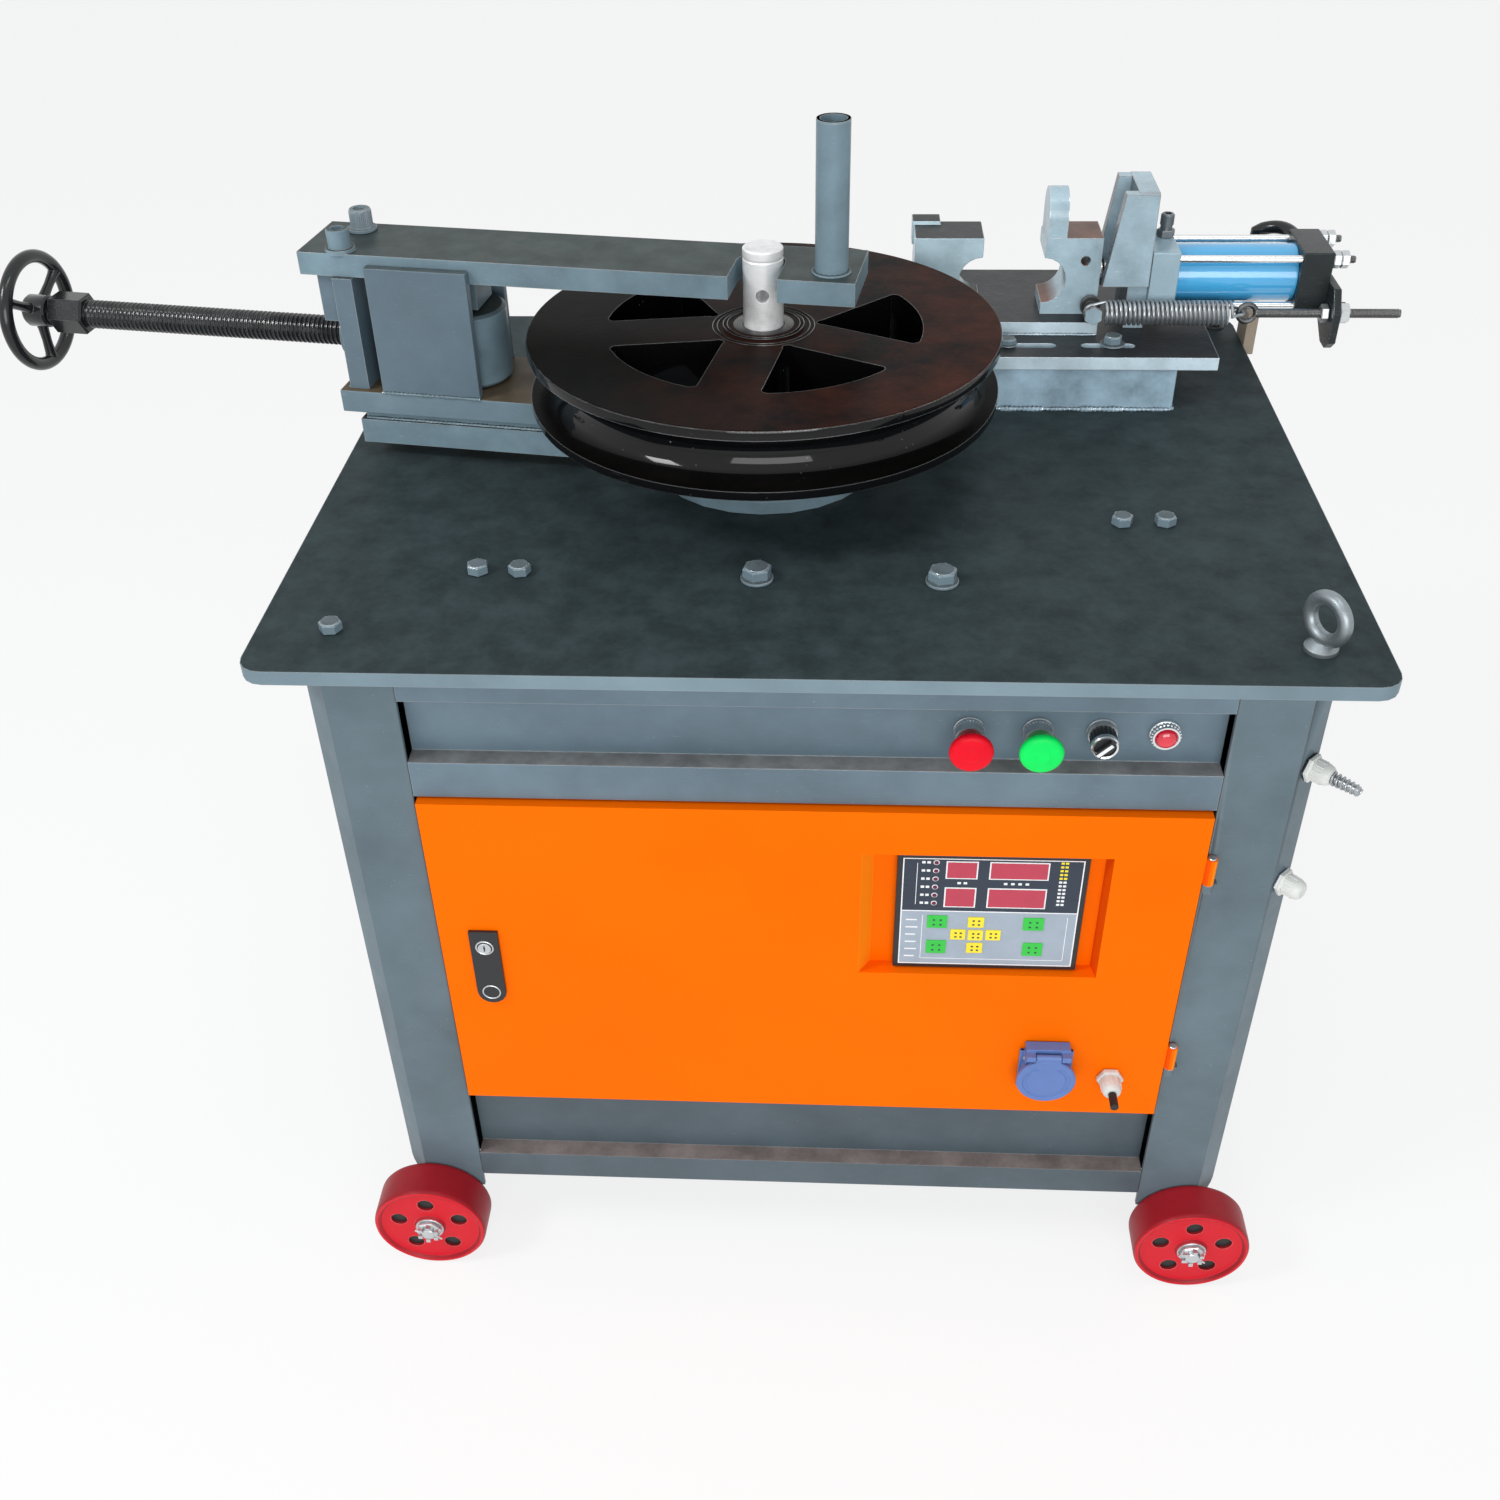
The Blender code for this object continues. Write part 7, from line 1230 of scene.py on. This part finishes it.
def makeCarrierAndCollars():
    z, panel, half = controls["z"], controls["panelY"], carrier["half"]
    shape = bmesh.new()
    addBlock(shape, (controls["red"] - half, panel + carrier["start"], z - half),
             (controls["selector"] + half, panel + carrier["end"], z + half))
    makePiece("contact_carrier", shape, "blackPlastic", "frame", bevel=0.001, stands=("contact_block",))
    shape = bmesh.new()
    for name in ("red", "green", "selector"):
        x, reach = controls[name], collar["selectorReach" if name == "selector" else "buttonReach"]
        rim = [(radius, back - reach) for radius, back in collar["lip"]]
        addTurned(shape, collar["foot"] + rim, 56, (x, panelFront, z), (0, 1, 0), closed=True)
        addTeeth(shape, (x, panelFront - collar["ribY"], z), collar["ribCircle"], collar["ribs"],
                 collar["ribHalf"])
    makePiece("control_collars", shape, "zinc", "frame", angle=30)


def makeButton(name, finish):
    shape = bmesh.new()
    place = (controls[name], controls["panelY"] - mushroom["face"], controls["z"])
    addTurned(shape, mushroom["profile"], 72, place, (0, -1, 0))
    makePiece(f"{name}_mushroom", shape, finish, f"{name}_head", stands=(f"{name}_button",))


def makeSelector():
    x, z, panel, count = controls["selector"], controls["z"], controls["panelY"], selector["knurls"]
    base = panelFront - selector["back"]
    capStart, capEnd = selector["capRun"]
    knob = bmesh.new()
    ribs = []
    for k in range(count):
        turn = math.tau * k / count
        radius = selector["high"] if k % 4 < 2 else selector["deep"]
        ribs.append((x + radius * math.cos(turn), z + radius * math.sin(turn)))
    addPrism(knob, ribs, panel - selector["front"], base, "Y")
    addRod(knob, (x, base - 0.001, z), (x, panel + selector["stemEnd"], z), selector["stem"], 24)
    addRod(knob, (x, panel - capStart, z), (x, panel - capEnd, z), selector["cap"], 40, 0.0006)
    addTilted(knob, selector["grip"], (x, panel - selector["gripY"], z))
    makePiece("selector_grip", knob, "blackPlastic", "selector", bevel=0.0005, stands=("selector_knob",))
    ring = bmesh.new()
    addTurned(ring, selector["ring"], 64, (x, panel, z), (0, 1, 0), closed=True)
    makePiece("selector_ring", ring, "rodChrome", "selector")
    mark = bmesh.new()
    addTilted(mark, selector["mark"], (x, panel - selector["markY"], z))
    makePiece("selector_mark", mark, "markWhite", "selector")


def makePilotLamp():
    x, z = controls["lamp"], controls["z"]
    shape = bmesh.new()
    addTurned(shape, lamp["lens"], 56, (x, panelFront, z), (0, 1, 0))
    makePiece("lamp_lens", shape, "lensRed", "frame", stands=("pilot_lamp",))
    shape = bmesh.new()
    addTurned(shape, lamp["bezel"], 64, (x, panelFront, z), (0, 1, 0), closed=True)
    addTeeth(shape, (x, panelFront - lamp["ribY"], z), lamp["ribCircle"], lamp["ribs"], lamp["ribHalf"])
    makePiece("lamp_bezel", shape, "rodChrome", "frame", angle=30)


makeCarrierAndCollars()
makeButton("red", "buttonRed")
makeButton("green", "buttonGreen")
makeSelector()
makePilotLamp()
print("controls made")


# Counter unit face on the door: labels, marks, display windows, lamps and keys
# A box is given as left, low, right, high.

unit = {"face": 0.0500, "left": 0.5915, "right": 0.7635, "low": -0.3825, "high": -0.2430, "split": -0.3107,
        "border": 0.0012, "windowRows": ((-0.2450, -0.2676), (-0.2790, -0.3050)), "windowRim": 0.0014,
        "windowColumns": ((0.6320, 0.6630), (0.6740, 0.7315)), "lamps": 6, "lampX": 0.6225,
        "lampTop": -0.2470, "lampPitch": 0.0106, "lampRim": 0.0030, "lampDot": 0.0022, "markLength": 0.0034,
        "lampMarks": (0.6085, 0.6135), "scale": (0.6040, -0.3020, 0.6046, -0.2480),
        "rowMarks": (0.6440, 0.6500, 0.6890, 0.6960, 0.7030, 0.7100), "rowMark": (-0.2745, -0.2718),
        "lines": (-0.3230, -0.3330, -0.3430, -0.3530, -0.3630, -0.3730), "lineRun": (0.5960, 0.6080),
        "amberRows": 5, "sideRows": 12, "sideTop": -0.2450, "sidePitch": 0.0049,
        "sideMarks": (0.7420, 0.7462),
        "frame": ((0.6120, -0.3760, 0.7555, -0.3754), (0.6120, -0.3760, 0.6126, -0.3165),
                  (0.7549, -0.3760, 0.7555, -0.3165))}
unitKeys = {"rise": 0.0012, "markAcross": (0.28, 0.62), "markUp": (0.22, 0.60), "markSize": (0.0022, 0.0020),
            "green": ((0.6170, -0.3330, 0.6370, -0.3165), (0.6175, -0.3680, 0.6375, -0.3505),
                      (0.7120, -0.3340, 0.7325, -0.3175), (0.7140, -0.3690, 0.7340, -0.3515)),
            "yellow": ((0.6575, -0.3315, 0.6735, -0.3180), (0.6410, -0.3485, 0.6560, -0.3350),
                       (0.6585, -0.3490, 0.6735, -0.3355), (0.6760, -0.3485, 0.6910, -0.3350),
                       (0.6580, -0.3665, 0.6740, -0.3530))}


def addLabel(shape, left, low, right, high, rise=0.0003, lift=0.0002):
    face = unit["face"] - lift
    addBlock(shape, (left, face - rise, low), (right, face + 0.0002, high))


def makeUnitLabels():
    left, right = unit["left"], unit["right"]
    low, high, line = unit["low"], unit["high"], unit["border"]
    shape = bmesh.new()
    for box in ((left - line, low - line, right + line, low), (left - line, low, left, high),
                (right, low, right + line, high), (left - line, high, right + line, high + 0.0010)):
        addLabel(shape, *box, 0.0004, 0)
    makePiece("unit_border", shape, "markWhite", "door")
    halves = (("upper", "screenDark", unit["split"], high), ("lower", "screenPale", low, unit["split"]))
    for name, finish, foot, top in halves:
        shape = bmesh.new()
        addLabel(shape, left, foot, right, top, 0.0003, 0)
        makePiece(f"unit_{name}_label", shape, finish, "door")


def makeUnitMarks():
    left, right, face = unit["left"], unit["right"], unit["face"]
    marks, digits, lamps, amber = bmesh.new(), bmesh.new(), bmesh.new(), bmesh.new()
    addLabel(marks, left, unit["split"] - 0.0006, right, unit["split"] + 0.0006)
    rim = unit["windowRim"]
    for top, foot in unit["windowRows"]:
        for start, stop in unit["windowColumns"]:
            addLabel(marks, start, foot, stop, top, 0.0005)
            addLabel(digits, start + rim, foot + rim, stop - rim, top - rim, 0.0004, 0.0006)
    x = unit["lampX"]
    for k in range(unit["lamps"]):
        z = unit["lampTop"] - unit["lampPitch"] * k
        addRod(marks, (x, face - 0.0008, z), (x, face, z), unit["lampRim"], 24, 0.0002)
        addRod(lamps, (x, face - 0.0016, z), (x, face - 0.0002, z), unit["lampDot"], 24, 0.0005)
        for start in unit["lampMarks"]:
            addLabel(marks, start, z - 0.0014, start + unit["markLength"], z + 0.0014)
    addLabel(marks, *unit["scale"])
    for start in unit["rowMarks"]:
        foot, top = unit["rowMark"]
        addLabel(marks, start, foot, start + unit["markLength"], top)
    for z in unit["lines"]:
        start, stop = unit["lineRun"]
        short = (z * 7000 % 3) * 0.001   # lines of uneven length
        addLabel(marks, start, z - 0.0008, stop - short, z + 0.0008)
    for k in range(unit["sideRows"]):
        z = unit["sideTop"] - unit["sidePitch"] * k
        for start in unit["sideMarks"]:
            addLabel(amber if k < unit["amberRows"] else marks, start, z - 0.0015, start + 0.0030, z + 0.0010)
    makePiece("unit_amber_marks", amber, "keyYellow", "door")
    for box in unit["frame"]:
        addLabel(marks, *box)
    makePiece("unit_marks", marks, "markWhite", "door")
    makePiece("unit_windows", digits, "digitRed", "door")
    makePiece("unit_lamps", lamps, "ledPurple", "door")


def makeUnitKeys():
    lines = bmesh.new()
    wide, tall = unitKeys["markSize"]
    for colour in ("green", "yellow"):
        shape = bmesh.new()
        for start, foot, stop, top in unitKeys[colour]:
            addLabel(shape, start, foot, stop, top, unitKeys["rise"])
            for across in unitKeys["markAcross"]:
                for up in unitKeys["markUp"]:
                    x, z = start + (stop - start) * across, foot + (top - foot) * up
                    addLabel(lines, x, z, x + wide, z + tall, 0.0003, 0.0013)
        makePiece(f"unit_{colour}_keys", shape, "key" + colour.capitalize(), "door", bevel=0.0004)
    makePiece("unit_key_marks", lines, "screenDark", "door")


# Socket lid, glands with their leads, hinge pins and lock rings, each ring as place, radius and thickness

flap = {"x": 0.751, "z": -0.526, "near": 0.0254, "hingeHalf": 0.0130, "hingeLow": 0.0190, "hingeUp": 0.0350,
        "hingeRun": (0.0045, 0.0005), "barY": 0.0022, "bar": 0.0034,
        "lid": [(0, 0.0046), (0.0200, 0.0044), (0.0210, 0.0034), (0.0245, 0.0034), (0.0255, 0.0046),
                (0.0295, 0.0046), (0.0310, 0.0034), (0.0310, 0.0006), (0.0300, 0.0), (0, 0.0)]}
socketScrews = {"spots": ((0.7305, -0.5075), (0.7295, -0.5480), (0.7725, -0.5075), (0.7725, -0.5480)),
                "start": 0.0374, "end": 0.0355, "radius": 0.0034,
                "washer": [(0.0034, 0), (0.0042, 0), (0.0042, 0.0004), (0.0034, 0.0004)], "washerY": 0.0373}
gland = {"gap": 0.0003, "flats": 0.0250, "nut": 0.0070, "thread": 0.0079, "threadIn": 0.0150, "reach": 0.0245,
         "dome": [(0, 0.0245), (0.0066, 0.0248), (0.0078, 0.0240), (0.0094, 0.0220), (0.0106, 0.0180),
                  (0.0109, 0.0110), (0.0108, 0.0070), (0, 0.0070)], "ribs": 12, "ribCircle": 0.0107,
         "ribRun": (0.0080, 0.0165), "rib": 0.0008, "doorSeat": (0.821, 0.042, -0.538), "lead": 0.0044,
         "leadLength": 0.0185, "sideX": 0.956, "sideY": 0.061,
         "side": (("upper", -0.1305), ("lower", -0.2707)), "locknut": 0.0252, "locknutEnd": 0.0045}
spiral = {"turns": 6, "perTurn": 16, "length": 0.0275, "foot": 0.0062, "narrowing": 0.0018, "wire": 0.0011,
          "core": 0.0046, "coreEnd": 0.0270}
hingePins = {"x": 0.8818, "y": 0.0433, "tops": (-0.230, -0.491), "radius": 0.0040, "sunk": 0.0005,
             "rise": 0.0015, "down": 0.0313,
             "ring": [(0.0031, 0), (0.0056, 0), (0.0056, 0.0003), (0.0031, 0.0003)]}
lockRings = (((0.170, 0.0375, -0.364), 0.0086, 0.0010), ((0.170, 0.0378, -0.428), 0.0090, 0.0008))


def makeSocketFlap():
    x, z, near = flap["x"], flap["z"], flap["near"]
    half, low, up = flap["hingeHalf"], z + flap["hingeLow"], z + flap["hingeUp"]
    (start, end), bar = flap["hingeRun"], near - flap["barY"]
    shape = bmesh.new()
    addTurned(shape, flap["lid"], 72, (x, near, z), (0, -1, 0))
    addBlock(shape, (x - half, near - start, low), (x + half, near - end, up))
    addRod(shape, (x - half, bar, up), (x + half, bar, up), flap["bar"], 24)
    makePiece("socket_lid", shape, "socketBlue", "flap", stands=("socket_flap",))
    shape = bmesh.new()
    for x, z in socketScrews["spots"]:
        addRod(shape, (x, socketScrews["start"], z), (x, socketScrews["end"], z), socketScrews["radius"], 24,
               0.0008)
        addTurned(shape, socketScrews["washer"], 24, (x, socketScrews["washerY"], z), (0, -1, 0), closed=True)
    makePiece("socket_screws", shape, "zinc", "door")


def addGland(shape, seat, way):
    start = seat + way * gland["gap"]
    addHexagon(shape, start, start + way * gland["nut"], gland["flats"])
    addTurned(shape, gland["dome"], 40, start, way)
    turn = way.to_track_quat("Z", "Y").to_matrix()
    for k in range(gland["ribs"]):
        angle = math.tau * k / gland["ribs"]
        out = start + turn @ Vector((math.cos(angle), math.sin(angle), 0)) * gland["ribCircle"]
        addTube(shape, [out + way * reach for reach in gland["ribRun"]], gland["rib"], 6)
    addRod(shape, seat - way * gland["threadIn"], start + way * 0.001, gland["thread"], 28)
    return start + way * gland["reach"]


def makeDoorGland():
    body = bmesh.new()
    mouth = addGland(body, Vector(gland["doorSeat"]), Vector((0, -1, 0)))
    makePiece("door_cable_gland", body, "whitePlastic", "door", angle=32, stands=("door_gland",))
    lead = bmesh.new()
    addRod(lead, mouth + Vector((0, 0.002, 0)), mouth - Vector((0, gland["leadLength"], 0)), gland["lead"],
           24, 0.0006)
    makePiece("door_lead", lead, "rubber", "door")


def makeSideGlands():
    way = Vector((1, -1, 0)).normalized()
    for name, z in gland["side"]:
        body = bmesh.new()
        seat = Vector((gland["sideX"], gland["sideY"], z))
        mouth = addGland(body, seat, way)
        makePiece(f"side_cable_gland_{name}", body, "whitePlastic", "frame", angle=32,
                  stands=(f"side_gland_{name}",))
        locknut = bmesh.new()
        addHexagon(locknut, seat + way * gland["gap"], seat + way * gland["locknutEnd"], gland["locknut"])
        finish = "zinc" if name == "lower" else "blackPlastic"
        makePiece(f"gland_locknut_{name}", locknut, finish, "frame", bevel=0.0004)
        if name == "upper":
            makeSpiralTail(mouth, way)


def makeSpiralTail(mouth, way):
    # The spring sleeve that keeps the upper lead from kinking
    turn = way.to_track_quat("Z", "Y").to_matrix()
    count = spiral["turns"] * spiral["perTurn"]
    points = []
    for k in range(count + 1):
        share = k / count
        angle = math.tau * spiral["turns"] * share
        r = spiral["foot"] - spiral["narrowing"] * share
        aside = turn @ Vector((r * math.cos(angle), r * math.sin(angle), 0))
        points.append(mouth + way * (spiral["length"] * share) + aside)
    shape = bmesh.new()
    addTube(shape, points, spiral["wire"], 8)
    addRod(shape, mouth - way * 0.001, mouth + way * spiral["coreEnd"], spiral["core"], 24, 0.0005)
    makePiece("spiral_tail", shape, "springSteel", "frame")


def makeDoorTrim():
    x, y = hingePins["x"], hingePins["y"]
    shape = bmesh.new()
    for top in hingePins["tops"]:
        addRod(shape, (x, y, top - hingePins["sunk"]), (x, y, top + hingePins["rise"]), hingePins["radius"],
               24, 0.0008)
        addTurned(shape, hingePins["ring"], 24, (x, y, top - hingePins["down"]), closed=True)
    makePiece("hinge_pin_heads", shape, "zinc", "door")
    shape = bmesh.new()
    for place, radius, thick in lockRings:
        addRing(shape, place, (0, 1, 0), radius, thick, 40, 10)
    makePiece("lock_rings", shape, "zinc", "door")


makeUnitLabels()
makeUnitMarks()
makeUnitKeys()
makeSocketFlap()
makeDoorGland()
makeSideGlands()
makeDoorTrim()
print("door fittings made")


# Floor, lamps and world

def seenFreely(work):
    # 1 for rays from the camera, mirrors and glass, which see the background as plain white
    camera = work.add("LightPath", out="Is Camera Ray")
    glossy = work.add("LightPath", out="Is Glossy Ray")
    through = work.add("LightPath", out="Is Transmission Ray")
    return (camera + glossy + through).band(0.0, 1.0)


def makeFloor():
    shape = bmesh.new()
    addTurned(shape, [(0, 0), (studio["floorRadius"], 0)], 64)
    mesh = bpy.data.meshes.new("studio_floor")
    shape.to_mesh(mesh)
    shape.free()
    floor = bpy.data.objects.new("studio_floor", mesh)
    bpy.context.scene.collection.objects.link(floor)
    f = Finish("studio floor")
    matte = f.add("BsdfDiffuse", {}, {"Color": studio["floorColour"]})
    bright = f.add("Emission", {}, {"Color": studio["white"], "Strength": 1.0})
    pale = f.add("MixShader", {}, {0: studio["floorGlow"], 1: matte, 2: bright})
    both = f.add("MixShader", {}, {0: seenFreely(f), 1: matte, 2: pale})
    f.add("OutputMaterial", {}, {"Surface": both})
    mesh.materials.append(f.material)


def makeWorld():
    world = bpy.data.worlds.new("studio")
    bpy.context.scene.world = world
    w = NodeWork(world)
    light = w.add("Background", {}, {"Color": studio["worldColour"], "Strength": studio["worldStrength"]})
    white = w.add("Background", {}, {"Color": studio["white"]})
    both = w.add("MixShader", {}, {0: seenFreely(w), 1: light, 2: white})
    w.add("OutputWorld", {}, {"Surface": both})


def makeLamp(name, place, target, size, power):
    light = bpy.data.lights.new(name, "AREA")
    light.shape = "RECTANGLE"
    light.size, light.size_y = size
    light.energy = power
    holder = bpy.data.objects.new(name, light)
    bpy.context.scene.collection.objects.link(holder)
    holder.location = place
    holder.rotation_euler = (Vector(target) - Vector(place)).to_track_quat("-Z", "Y").to_euler()


makeFloor()
makeWorld()
for lampName, lampDetails in studio["lamps"].items():
    makeLamp(lampName, *lampDetails)
bpy.context.scene.view_settings.view_transform = "Standard"
print("studio made")
